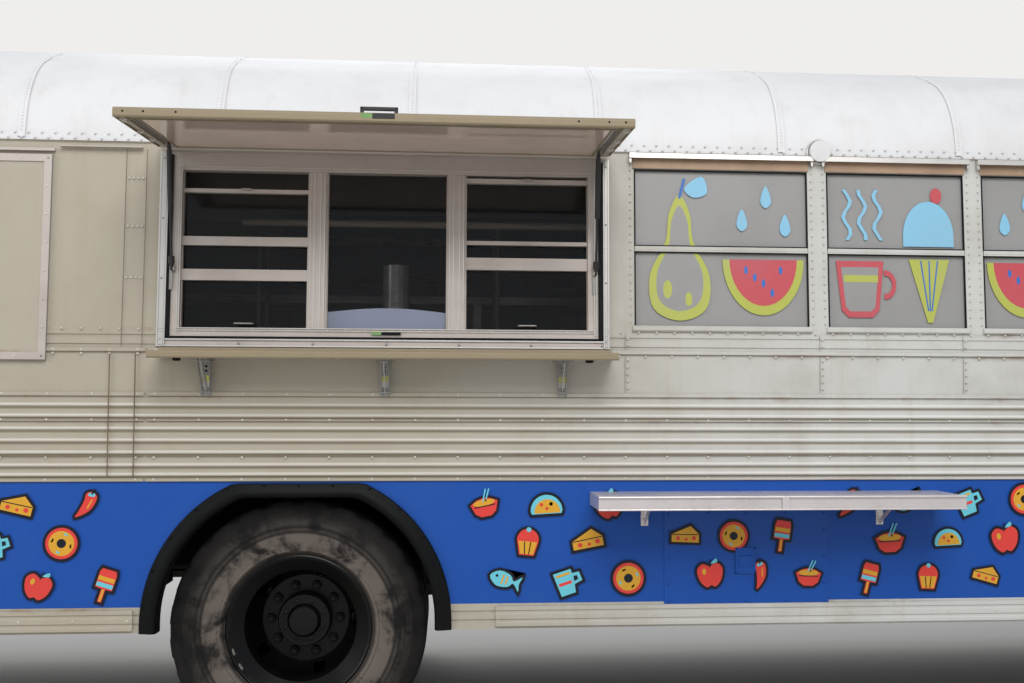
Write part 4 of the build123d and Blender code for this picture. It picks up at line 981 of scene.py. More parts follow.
@dataclass
class WindowTrim(OnSide):
    """Trim of the painted windows on one side: rubber, split bar, sill, header and drip rail.

    Args:
        panes: first and last edge of each window.
        rubber: width of the glazing rubber that shows.
    """

    panes: tuple[Flat, ...]
    rubber: float = 0.006
    rail_low: float = 2.447
    rail_out: float = 0.026
    sill_out: float = 0.009
    pillar_pitch: float = 0.034

    def build(self) -> None:
        """Make each kind of trim as one piece along the side."""
        place = SITE.wall(self.side)
        rubber, bars, sills, header, rails, heads = forms(6, place)
        for x0, x1 in self.panes:
            self.glaze(rubber, x0, x1)
            bars.block((x0 + 0.003, -PANE_RECESS - 0.001, SPLIT_BOTTOM - 0.001),
                       (x1 - 0.003, -0.002, SPLIT_TOP + 0.001))
            bars.block((x0 + 0.006, -0.0022, SPLIT_BOTTOM + 0.006),
                       (x1 - 0.006, -0.0006, SPLIT_BOTTOM + 0.0085))
            sills.prism([(-0.010, SILL + 0.012), (0.002, SILL + 0.016), (self.sill_out, SILL + 0.010),
                         (self.sill_out, SILL - 0.004), (0.002, SILL - 0.010), (-0.001, SILL - 0.010)],
                        0, x0 - 0.010, x1 + 0.010)
            # header strip in the enamel that carries the painted shade of the drip rail's shadow
            header.block((x0 - 0.006, -0.0005, WINDOW_TOP + 0.003),
                         (x1 + 0.006, 0.0012, self.rail_low + 0.006))
            self.drip_rail(rails, x0 - 0.022, x1 + 0.022)
            for z in spaced(SILL + 0.03, WINDOW_TOP + 0.03, self.pillar_pitch):
                for x in (x0 - 0.016, x1 + 0.016):
                    heads.dome((x, 0.0, z), 1, 0.0042, 0.0020)
        rubber.piece(self.name("glazing_rubber"), Surface.GASKET, edge=0.0008)
        bars.piece(self.name("split_bars"), Surface.BODY, edge=0.001)
        sills.piece(self.name("window_sills"), Surface.BODY, edge=0.0012)
        header.piece(self.name("header_strips"), Surface.HEADER)
        rails.piece(self.name("drip_rails"), Surface.ALUMINIUM_BRIGHT, edge=0.0008)
        heads.piece(self.name("pillar_rivets"), Surface.RIVET, smooth=60.0)

    def glaze(self, rubber: Form, x0: float, x1: float) -> None:
        """Run the glazing rubber round the two lights of one window."""
        deep, face = -PANE_RECESS - 0.0005, -0.0035
        for low, high in ((SILL, SPLIT_BOTTOM), (SPLIT_TOP, WINDOW_TOP)):
            rubber.border((x0, low), (x1, high), self.rubber, deep, face)

    def drip_rail(self, rails: Form, x0: float, x1: float) -> None:
        """Add one drip rail, its ends turned down."""
        low, top, out = self.rail_low, WALL_TOP - 0.001, self.rail_out
        rails.prism([(-0.001, top), (0.005, top), (out, top - 0.006), (out + 0.001, low), (out - 0.002, low),
                     (out - 0.003, top - 0.010), (0.002, top - 0.006), (-0.001, top - 0.006)], 0, x0, x1)
        for x, way in ((x0, 1), (x1, -1)):
            rails.prism([(x, top - 0.004), (x, low - 0.016), (x + way * 0.006, low - 0.022),
                         (x + way * 0.010, low - 0.016), (x + way * 0.010, top - 0.004)], 1, -0.0005,
                        out * 0.75)


@dataclass
class RoofTrim:
    """Rivet rows along the eaves, and the lap strips over the roof.

    Args:
        span: half width where the roof starts.
        corner: radius of the roof's round shoulder.
        pitch: distance between the cross laps.
    """

    span: float = field(default_factory=lambda: SITE.skin(WALL_TOP))
    corner: float = 0.420
    pitch: float = 0.790
    strip: Flat = (0.030, 0.0003)

    def curve(self, turn: float, out: float = 0.0) -> Flat:
        """Give a point of the roof's section.

        Args:
            turn: direction in which the skin faces, in radians up from level.
            out: distance out of the skin.

        Returns:
            Distance from the middle and height.
        """
        rise = CROWN - WALL_TOP
        shoulder = self.span - self.corner
        crown = (shoulder ** 2 + rise ** 2 - self.corner ** 2) / (2 * (rise - self.corner))
        joint = pi / 2 - atan(shoulder / (crown - rise))
        if turn <= joint:
            reach = self.corner + out
            return shoulder + reach * cos(turn), WALL_TOP + reach * sin(turn)
        reach = crown + out
        return reach * cos(turn), CROWN - crown + reach * sin(turn)

    def build(self) -> None:
        """Make the strips and rivets."""
        strips, heads, lines = forms(3)
        turns = [radians(2 + 4 * n) for n in range(23)]
        sweep = [(1, t) for t in turns] + [(-1, t) for t in reversed(turns[:-1])]
        width, thick = self.strip
        for x in spaced(WALL_REAR + 0.06, WALL_FRONT - 0.06, self.pitch):
            rings = []
            for side, turn in sweep:
                (y0, z0), (y1, z1) = self.curve(turn, -0.0005), self.curve(turn, thick)
                rings.append([(x, side * y0, z0), (x + width, side * y0, z0), (x + width, side * y1, z1),
                              (x, side * y1, z1)])
            strips.rings(rings)
            for side, turn in sweep[1:-1]:
                for share in (0.0, 0.5):
                    y, z = self.curve(turn + share * radians(4), thick)
                    self.head(heads, x + width / 2, side * y, z, turn if side > 0 else pi - turn)
        eave = [(0.012, 0.0), (0.033, 0.5)]
        for lift, shift in eave:
            turn = lift / self.corner
            y, z = self.curve(turn)
            for x in spaced(WALL_REAR + 0.02, WALL_FRONT - 0.02, 0.052):
                for side in (1, -1):
                    self.head(heads, x + shift * 0.052, side * y, z, turn if side > 0 else pi - turn)
        for side in (1, -1):
            lines.block((WALL_REAR, side * (self.span - 0.001), WALL_TOP - 0.0016),
                        (WALL_FRONT, side * (self.span + 0.0012), WALL_TOP + 0.0016))
        strips.piece("roof_laps", Surface.ROOF, edge=0.0006)
        heads.piece("roof_rivets", Surface.ROOF, smooth=60.0)
        lines.piece("eave_seams", Surface.SEAM)

    def head(self, form: Form, x: float, y: float, z: float, turn: float) -> None:
        """Add one rivet head that faces a direction across the roof."""
        way, up = Vector((0, cos(turn), sin(turn))), Vector((0, -sin(turn), cos(turn)))
        along = Vector((1, 0, 0))
        rings = []
        for radius, rise in ((0.0055, -0.0004), (0.0046, 0.0016), (0.0024, 0.0027)):
            middle = Vector((x, y, z)) + way * rise
            rings.append([tuple(middle + (along * cos(pi * n / 3) + up * sin(pi * n / 3)) * radius)
                          for n in range(6)])
        form.rings(rings)


@dataclass
class ServiceWindow:
    """Dressing of the service window: rubber, ribs, screws, pulls, latches and the strike."""

    left: float = -0.570
    right: float = 1.253
    bottom: float = 1.647
    top: float = 2.438
    flange_out: float = 0.0064
    jamb_out: float = -0.0043
    bays: tuple[Flat, ...] = ((-0.482, 0.020), (0.098, 0.583), (0.661, 1.165))
    mullions: tuple[float, ...] = (0.059, 0.622)
    # second rail of the left bay, places of the pulls, and place and height of each latch
    rail: Flat = (2.060, 2.084)
    pulls: tuple[float, ...] = (-0.229, 0.913)
    latches: tuple[Flat, ...] = ((-0.229, 2.290), (0.913, 2.350))

    def build(self) -> None:
        """Make the pieces and dress the CAD frame."""
        Surface.ALUMINIUM.dress("service_frame")
        Surface.GLASS.dress("service_glass")
        self.rubber()
        self.ribs()
        self.hardware()

    def rubber(self) -> None:
        """Seal between the flange and the frame."""
        form = Form(SITE.wall(-1))
        out0, out1 = self.flange_out - 0.002, self.flange_out + 0.003
        x0, x1, z0, z1 = self.left + 0.035, self.right - 0.026, self.bottom + 0.033, self.top - 0.012
        for low, high in (((x0, z0), (x0 + 0.018, z1)), ((x1 - 0.020, z0), (x1, z1)),
                          ((x0, z0), (x1, z0 + 0.009))):
            form.block((low[0], out0, low[1]), (high[0], out1, high[1]))
        form.piece("service_gasket", Surface.GASKET, edge=0.0015)

    def ribs(self) -> None:
        """Raised lines of the extruded jambs, mullions, head and sill, and flat strips on the flange, in
        brighter aluminium as painted highlights.
        """
        slabs, lines = forms(2, SITE.wall(-1))
        low, high = self.bottom + 0.074, self.top - 0.074
        face, jamb = self.flange_out, self.jamb_out
        for x in self.mullions:
            slabs.block((x - 0.031, jamb - 0.001, low), (x + 0.031, jamb + 0.0022, high))
            for shift in (-0.029, -0.012, 0.012, 0.029):
                lines.block((x + shift - 0.0018, jamb, low), (x + shift + 0.0018, jamb + 0.0052, high))
        for x in (self.left + 0.078, self.right - 0.062):
            for shift in (0.0, 0.009):
                lines.block((x + shift - 0.0016, face, low - 0.02),
                            (x + shift + 0.0016, face + 0.002, high + 0.02))
        for z in (self.bottom + 0.066, self.bottom + 0.075, self.top - 0.060):
            lines.block((self.left + 0.07, face, z - 0.0016), (self.right - 0.06, face + 0.002, z + 0.0016))
        # flat bright strips on the flange: painted highlights along its edges
        for a, b in ((self.left + 0.008, self.left + 0.027), (self.right - 0.018, self.right - 0.008)):
            lines.block((a, face - 0.0005, self.bottom + 0.008), (b, face + 0.0007, self.top))
        for a, b in ((self.left, self.left + 0.007), (self.left + 0.028, self.left + 0.034),
                     (self.right - 0.025, self.right - 0.019), (self.right - 0.007, self.right)):
            lines.block((a, face - 0.0005, self.bottom), (b, face + 0.0016, self.top))
        for a, b in ((self.bottom, self.bottom + 0.006), (self.bottom + 0.026, self.bottom + 0.032)):
            lines.block((self.left + 0.007, face - 0.0005, a), (self.right - 0.007, face + 0.0016, b))
        for x0, x1 in self.bays:
            for a, b in ((x0, x0 + 0.003), (x1 - 0.003, x1)):
                slabs.block((a, -0.046, low), (b, -0.020, high))
        x0, x1 = self.bays[0]
        slabs.block((x0, -0.040, self.rail[0]), (x1, -0.016, self.rail[1]))
        slabs.piece("service_frame_slabs", Surface.ALUMINIUM, edge=0.0005)
        # the lines take the brighter aluminium as a painted highlight on the ribs
        lines.piece("service_frame_ribs", Surface.ALUMINIUM_BRIGHT, edge=0.0005)

    def hardware(self) -> None:
        """Screws of the flange, sash pulls, latches, and the strike with its tape."""
        place = SITE.wall(-1)
        screws, dark, strike, tape = forms(4, place)
        for z in spaced(self.bottom + 0.03, self.top - 0.03, 0.28):
            for x in (self.left + 0.016, self.right - 0.014):
                screws.dome((x, self.flange_out + 0.0002, z), 1, 0.0050, 0.0026)
        for x in spaced(self.left + 0.03, self.right - 0.03, 0.29):
            screws.dome((x, self.flange_out - 0.0005, self.bottom + 0.014), 1, 0.0050, 0.0026)
        for x in self.pulls:
            z = self.bottom + 0.094
            strike.tube([(x - 0.037, -0.012, z), (x - 0.037, 0.005, z), (x - 0.034, 0.010, z),
                         (x + 0.034, 0.010, z), (x + 0.037, 0.005, z), (x + 0.037, -0.012, z)], 0.0036, 8)
        for x, z in self.latches:
            strike.block((x - 0.020, -0.012, z - 0.005), (x + 0.020, -0.006, z + 0.005))
            strike.block((x - 0.006, -0.006, z - 0.004), (x + 0.014, 0.000, z + 0.003))
        x, z = (self.left + self.right) / 2, self.bottom + 0.057
        dark.block((x - 0.020, self.flange_out - 0.0005, z - 0.006),
                   (x + 0.058, self.flange_out + 0.0030, z + 0.006))
        tape.block((x - 0.060, self.flange_out - 0.0005, z - 0.006),
                   (x - 0.021, self.flange_out + 0.0018, z + 0.007))
        screws.piece("service_screws", Surface.ZINC, smooth=60.0)
        dark.piece("service_strike", Surface.GASKET, edge=0.0008)
        strike.piece("service_latches", Surface.ZINC, edge=0.0006)
        tape.piece("strike_tape", Surface.TAPE)


@dataclass
class Awning:
    """The lifted awning: its own places, trims on the frame, clamps, latch and strut fittings.

    Args:
        reach: length from the hinge to the front edge.
        slope: how far it hangs below level, in radians.
    """

    hinge_height: float = 2.449
    hinge_out: float = 0.024
    reach: float = 0.745
    slope: float = radians(2.7)
    left: float = -0.566
    right: float = 1.249
    bar: float = 0.040
    thick: float = 0.027
    # lower pin and upper stud of the struts
    foot_height: float = 1.960
    foot_out: float = 0.024
    stud: float = 0.110
    # width kept free at each end of the sheet, where the struts fold in
    strut_room: float = 0.070
    grip_bar: float = 0.006
    body: str = "awning"

    def place(self, x: float, along: float, up: float) -> Vector:
        """Turn a place on the awning (along it from the hinge, up from its underside) into the frame."""
        y = -SITE.skin(self.hinge_height) - self.hinge_out
        return SITE.at(x, y - along * cos(self.slope) - up * sin(self.slope),
                       self.hinge_height - along * sin(self.slope) + up * cos(self.slope))

    def build(self) -> None:
        """Make the trims and dress the CAD frame, panes and struts."""
        Surface.ALUMINIUM.dress("awning_frame")
        Surface.SHEET.dress("awning_panes")
        self.sheet()
        self.edges()
        self.clamps()
        self.latch()
        self.struts()

    def edges(self) -> None:
        """Front bar with its lip, and the lips along the side bars."""
        bars = Form(self.place)
        end, top = self.reach, self.thick
        bars.prism([(end - 0.002, -0.004), (end + 0.006, -0.004), (end + 0.010, 0.002),
                    (end + 0.010, top - 0.004),
                    (end + 0.004, top + 0.004), (end - 0.040, top + 0.004), (end - 0.040, top),
                    (end - 0.002, top)],
                   0, self.left - 0.004, self.right + 0.004)
        bars.prism([(end - self.bar, -0.006), (end - self.bar + 0.006, -0.006),
                    (end - self.bar + 0.006, 0.001),
                    (end - self.bar, 0.001)], 0, self.left + self.bar, self.right - self.bar)
        for a, b in ((self.left, self.left + 0.006), (self.right - 0.006, self.right),
                     (self.left + self.bar - 0.006, self.left + self.bar),
                     (self.right - self.bar, self.right - self.bar + 0.006)):
            bars.block((a, 0.055, -0.006), (b, end - 0.004, 0.001))
        bars.piece("awning_edges", Surface.ALUMINIUM_AGED, self.body, edge=0.0008)

    def sheet(self) -> None:
        """Polished tinted sheet across the underside, and the rail at its rear edge."""
        sheet, rail = forms(2, self.place)
        x0, x1, end = self.left + self.strut_room, self.right - self.strut_room, self.reach - self.bar
        sheet.block((x0, 0.060, -0.0030), (x1, end + 0.003, -0.0012))
        for low, high in ((0.046, 0.060), (end - 0.004, end + 0.004)):
            rail.block((x0, low, -0.0055), (x1, high, 0.0002))
        for x in (x0, x1 - 0.008):
            rail.block((x, 0.060, -0.0055), (x + 0.008, end, 0.0002))
        sheet.piece("awning_sheet_cover", Surface.TINT, self.body)
        rail.piece("awning_sheet_rails", Surface.ALUMINIUM_AGED, self.body, edge=0.0008)

    def clamps(self) -> None:
        """Corner and side clamps under the frame, with their screws."""
        clamps, screws, dark = forms(3, self.place)
        end = self.reach
        spots = [(self.left + 0.020, end - 0.075), (self.right - 0.020, end - 0.075),
                 (self.left + 0.020, 0.42), (self.right - 0.020, 0.42), (self.left + 0.020, 0.22),
                 (self.right - 0.020, 0.22)]
        for n, (x, along) in enumerate(spots):
            half = 0.030 if n < 2 else 0.018
            clamps.block((x - 0.016, along - half, -0.0050), (x + 0.016, along + half, 0.0005))
            clamps.block((x - 0.010, along - half * 0.6, -0.0080), (x + 0.010, along + half * 0.6, -0.0045))
            for shift in (-half * 0.8, half * 0.8):
                screws.dome((x, along + shift, -0.0047), 2, 0.0044, -0.0022)
        for x in spaced(self.left + 0.05, self.right - 0.05, 0.19):
            screws.dome((x, end - 0.022, 0.0005), 2, 0.0042, -0.0024)
        for x in (self.left + 0.03, self.left + 0.10, self.left + 0.21, self.right - 0.20, self.right - 0.09,
                  self.right - 0.03):
            dark.dome((x, end + 0.0098, self.thick * 0.6), 1, 0.0042, 0.0020)
        dark.piece("awning_front_screws", Surface.GASKET, self.body, smooth=60.0)
        clamps.piece("awning_clamps", Surface.ALUMINIUM_BRIGHT, self.body, edge=0.0015)
        screws.piece("awning_screws", Surface.ZINC, self.body, smooth=60.0)

    def latch(self) -> None:
        """Loop handle on the front bar, with the dark strike and the tape below it."""
        middle = (self.left + self.right) / 2
        tape, strike, grip = forms(3, self.place)
        face, along = self.reach + 0.0095, self.reach - 0.020
        low, high = self.thick + 0.0004, self.thick + 0.028
        tape.block((middle - 0.062, face, low - 0.016), (middle - 0.024, face + 0.0012, low + 0.000))
        strike.block((middle - 0.022, face, low - 0.018), (middle + 0.056, face + 0.0024, low + 0.001))
        half, skin, end = 0.060, self.grip_bar + 0.0006, high + 0.0006
        for x in (middle - half, middle + half):
            grip.block((x - skin, along - skin, low), (x + skin, along + skin, end))
        grip.block((middle - half - skin, along - skin, high - 2 * skin),
                   (middle + half + skin, along + skin, end))
        tape.piece("awning_strike_tape", Surface.TAPE, self.body)
        strike.piece("awning_strike", Surface.PLASTIC, self.body, edge=0.0008)
        grip.piece("awning_grip", Surface.PLASTIC, self.body, edge=0.003)

    def struts(self) -> None:
        """Gas struts as in the photo: the thick tube up at the awning, the thin rod down at the wall."""
        foot = Vector((0.0, -SITE.skin(self.foot_height) - self.foot_out, self.foot_height))
        hinge = Vector((0.0, -SITE.skin(self.hinge_height) - self.hinge_out, self.hinge_height))
        head = hinge + Vector((0.0, -self.stud * cos(self.slope), -self.stud * sin(self.slope)))
        along = (head - foot).normalized()
        plates = Form(SITE.wall(-1))
        for name, x in (("rear", self.left + 0.054), ("front", self.right - 0.054)):
            across = Vector((x, 0.0, 0.0))
            rod, tube = forms(2)
            self.eye(rod, across + foot)
            rod.tube([tuple(across + foot + along * s) for s in (0.006, 0.020)], 0.0085, 12)
            rod.tube([tuple(across + foot + along * s) for s in (0.019, 0.048)], 0.0125, 12)
            rod.tube([tuple(across + foot + along * s) for s in (0.046, 0.340)], 0.0048, 12)
            self.eye(tube, across + head)
            plates.block((x - 0.012, 0.0066, self.foot_height - 0.085),
                         (x + 0.002, 0.0095, self.foot_height + 0.010))
            tube.tube([tuple(across + head - along * s) for s in (0.007, 0.024)], 0.0080, 12)
            tube.tube([tuple(across + head - along * s) for s in (0.023, 0.262, 0.268)], 0.0108, 18)
            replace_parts(rod.piece(f"strut_rod_dress_{name}", Surface.PLASTIC, f"strut_tube_{name}",
                                  smooth=40.0),
                        f"strut_tube_{name}")
            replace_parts(tube.piece(f"strut_tube_dress_{name}", Surface.PLASTIC, f"strut_rod_{name}",
                                   smooth=40.0),
                        f"strut_rod_{name}")
        plates.piece("strut_wall_plates", Surface.ZINC, edge=0.0006)

    def eye(self, form: Form, spot: Vector) -> None:
        """Add the round eye at one end of a strut."""
        form.lathe([(0.0042, -0.0045), (0.0088, -0.0045), (0.0092, 0.0), (0.0088, 0.0045), (0.0042, 0.0045)],
                   tuple(spot), 0, 20, closed=True)


@dataclass
class Shelves:
    """Service shelf and lower stainless shelf: edges, pads, brackets, labels and seam."""

    left: float = -0.558
    right: float = 1.261
    top: float = 1.622
    thick: float = 0.024
    depth: float = 0.2053
    brackets: tuple[float, ...] = (-0.370, 0.338, 1.057)
    tray: Flat = (1.173, 2.637)
    tray_top: float = 1.064
    tray_depth: float = 0.3223
    tray_seam: float = 1.906

    def build(self) -> None:
        """Make the pieces and dress the CAD shelves."""
        Surface.STEEL.dress("service_shelf", "lower_shelf")
        self.service_edge()
        self.folding_brackets()
        self.tray_trim()

    def service_edge(self) -> None:
        """Front moulding of the service shelf, its rear upstand and the pads below it."""
        place = SITE.wall(-1)
        edge, pads = forms(2, place)
        low, out = self.top - self.thick, self.depth
        edge.prism([(out - 0.012, low - 0.003), (out + 0.004, low - 0.003), (out + 0.007, low + 0.002),
                    (out + 0.007, self.top - 0.002), (out + 0.003, self.top + 0.003),
                    (out - 0.012, self.top + 0.003)],
                   0, self.left - 0.003, self.right + 0.003)
        edge.block((self.left, 0.0006, self.top - 0.001), (self.right, 0.006, self.top + 0.022))
        for x in (self.left + 0.105, self.right - 0.110):
            pads.lathe([(0.014, 0.0), (0.017, -0.004), (0.015, -0.011), (0.006, -0.013)],
                       (x, out - 0.030, low - 0.001), 2, 16)
        edge.piece("service_shelf_edge", Surface.ALUMINIUM_AGED, edge=0.001)
        pads.piece("service_shelf_pads", Surface.GASKET)

    def folding_brackets(self) -> None:
        """Zinc arms, pivots and blank labels of the folding brackets."""
        place = SITE.wall(-1)
        zinc, yellow, white, dark = forms(4, place)
        for x in self.brackets:
            top, low = self.top - self.thick, self.top - self.thick - 0.146
            zinc.block((x - 0.019, 0.0054, low - 0.002), (x + 0.019, 0.0078, top - 0.012))
            for side in (-0.016, 0.016):
                zinc.block((x + side - 0.0015, 0.0060, low), (x + side + 0.0015, 0.019, top - 0.012))
                zinc.prism([(0.020, low + 0.016), (0.034, low + 0.014), (0.152, top - 0.020),
                            (0.152, top - 0.006),
                            (0.138, top - 0.006)], 0, x + side * 0.62 - 0.0012, x + side * 0.62 + 0.0012)
            zinc.block((x - 0.036, 0.0060, top - 0.0065), (x + 0.030, 0.150, top - 0.0005))
            zinc.tube([(x - 0.021, 0.014, low + 0.014), (x + 0.021, 0.014, low + 0.014)], 0.0045, 10)
            zinc.tube([(x - 0.017, 0.142, top - 0.012), (x + 0.017, 0.142, top - 0.012)], 0.0045, 10)
            for z in (low + 0.028, top - 0.048, top - 0.030):
                dark.dome((x, 0.0076, z), 1, 0.0056, 0.0026)
            white.block((x - 0.0145, 0.0078, top - 0.112), (x + 0.0145, 0.0081, top - 0.090))
            yellow.block((x - 0.0145, 0.0078, top - 0.090), (x + 0.0145, 0.0081, top - 0.066))
        zinc.piece("shelf_bracket_arms", Surface.ZINC, edge=0.0006)
        dark.piece("shelf_bracket_screws", Surface.GASKET)
        white.piece("shelf_bracket_labels", Surface.LABEL_WHITE)
        yellow.piece("shelf_bracket_label_strips", Surface.LABEL)

    def tray_trim(self) -> None:
        """Rolled front edge, seam cover and rivets of the lower shelf."""
        place = SITE.wall(-1)
        edge, heads = forms(2, place)
        x0, x1 = self.tray
        out, top = self.tray_depth, self.tray_top
        for low, high in ((x0, self.tray_seam - 0.001), (self.tray_seam + 0.001, x1)):
            edge.tube([(low, out - 0.003, top - 0.002), (high, out - 0.003, top - 0.002)], 0.0052, 10)
            edge.tube([(low, out - 0.001, top - 0.050), (high, out - 0.001, top - 0.050)], 0.0035, 8)
        edge.block((self.tray_seam - 0.014, out + 0.0003, top - 0.050),
                   (self.tray_seam + 0.014, out + 0.0016, top - 0.002))
        edge.block((self.tray_seam - 0.014, 0.004, top - 0.0002), (self.tray_seam + 0.014, out, top + 0.0012))
        for x in spaced(x0 + 0.04, x1 - 0.04, 0.12):
            heads.dome((x, 0.0060, top - 0.014), 1, 0.0046, 0.0024)
        edge.piece("lower_shelf_edge", Surface.STEEL, smooth=50.0)
        heads.piece("lower_shelf_rivets", Surface.ZINC, smooth=60.0)


@dataclass
class Locker:
    """Locker door under the lower shelf: its recessed latch and screws."""

    left: float = 1.481
    right: float = 2.170
    bottom: float = 0.597
    top: float = 0.990
    face: float = 0.0043
    latch: tuple[float, float, float, float] = (1.776, 1.861, 0.726, 0.832)
    # distance of the screws from the door's edge
    inset: float = 0.018
    body: str = "locker_door"

    def build(self) -> None:
        """Make the latch and the screws, and dress the door."""
        Surface.BAND.dress("locker_door")
        place = SITE.wall(-1)
        rims, pan, screws, grip = forms(4, place)
        x0, x1, z0, z1 = self.latch
        rim, out = 0.007, self.face + 0.0028
        rims.border((x0, z0), (x1, z1), rim, self.face - 0.0006, out)
        pan.block((x0 + rim * 0.8, self.face - 0.0006, z0 + rim * 0.8),
                  (x1 - rim * 0.8, self.face + 0.0007, z1 - rim * 0.8))
        grip.prism([(self.face, z1 - 0.030), (self.face + 0.0045, z1 - 0.034),
                    (self.face + 0.0045, z0 + 0.030),
                    (self.face + 0.0012, z0 + 0.024), (self.face, z0 + 0.024)], 0, x0 + 0.016, x1 - 0.016)
        left, right = self.left + self.inset, self.right - self.inset
        low, high = self.bottom + self.inset, self.top - self.inset
        spots = [(x, z) for x in spaced(left, right, 0.16) for z in (low, high)]
        spots += [(x, z) for z in spaced(self.bottom + 0.09, self.top - 0.09, 0.10) for x in (left, right)]
        for x, z in spots:
            screws.dome((x, self.face - 0.0003, z), 1, 0.0048, 0.0022)
        rims.piece("locker_latch_frame", Surface.BAND, self.body, edge=0.001)
        pan.piece("locker_latch_pan", Surface.BAND, self.body)
        grip.piece("locker_latch_grip", Surface.BAND, self.body, edge=0.001)
        screws.piece("locker_screws", Surface.BAND, self.body, smooth=60.0)


@dataclass
class Flares:
    """Moulded rubber flares round the four wheel arches.

    Args:
        outer: half width, and height of the flat top, of the outer edge.
        inner: the same of the inner edge.
    """

    outer: Flat = (0.613, 1.101)
    inner: Flat = (0.547, 1.044)
    centre: float = 0.545
    foot: float = SKIRT_BOTTOM
    screws: int = 13
    # sections of the rubber and of the lining: share of the arch's width, and distance out of the wall
    rubber: tuple[Flat, ...] = ((0.0, 0.0006), (0.0, 0.016), (0.08, 0.024), (0.22, 0.028), (0.40, 0.0274),
                                (0.60, 0.021), (0.80, 0.0165), (0.95, 0.0150), (1.0, 0.011), (1.0, 0.0006))
    lining: tuple[Flat, ...] = ((-0.03, -0.056), (-0.03, 0.0), (0.13, 0.0), (0.13, -0.056))

    def spot(self, turn: float, size: Flat) -> Flat:
        """Give a point of an edge of the arch in a direction from its centre."""
        half, top = size
        x, z = half * cos(turn), half * sin(turn)
        limit = top - self.centre
        return (x * limit / z, limit) if z > limit else (x, z)

    def build(self) -> None:
        """Make the four flares as one piece in place of the CAD node."""
        flare, screws, lining = forms(3)
        rim = (self.outer[0] * 0.9 + self.inner[0] * 0.1, self.outer[1] * 0.9 + self.inner[1] * 0.1)
        for side in (1, -1):
            flare.place = screws.place = lining.place = SITE.wall(side)
            for axle in (0.0, WHEELBASE):
                for form, rows in ((flare, self.rubber), (lining, self.lining)):
                    form.rings([self.section(axle, turn, drop, rows) for turn, drop in self.stations()])
                for n in range(self.screws):
                    x, z = self.spot(pi * (n + 0.5) / self.screws, rim)
                    screws.dome((axle + x, 0.0175, self.centre + z), 1, 0.0065, 0.0030)
        lining.piece("wheel_arch_linings", Surface.GASKET, smooth=50.0)
        piece = flare.piece("wheel_arch_flares", Surface.FLARE, smooth=50.0)
        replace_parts(piece, "wheel_flares")
        screws.piece("wheel_arch_screws", Surface.GASKET, smooth=60.0)

    def stations(self) -> list[Flat]:
        """Give the directions along the arch, with how far a leg runs below its centre."""
        legs = self.centre - self.foot
        return [(0.0, legs), (0.0, legs / 2), *[(pi * n / 56, 0.0) for n in range(57)], (pi, legs / 2),
                (pi, legs)]

    def section(self, axle: float, turn: float, drop: float, rows: Sequence[Flat]) -> list[Point]:
        """Give a section of the arch at one station, from shares of its width and distances out."""
        (xi, zi), (xo, zo) = self.spot(turn, self.inner), self.spot(turn, self.outer)
        return [(axle + xi + (xo - xi) * share, out, self.centre + zi + (zo - zi) * share - drop)
                for share, out in rows]


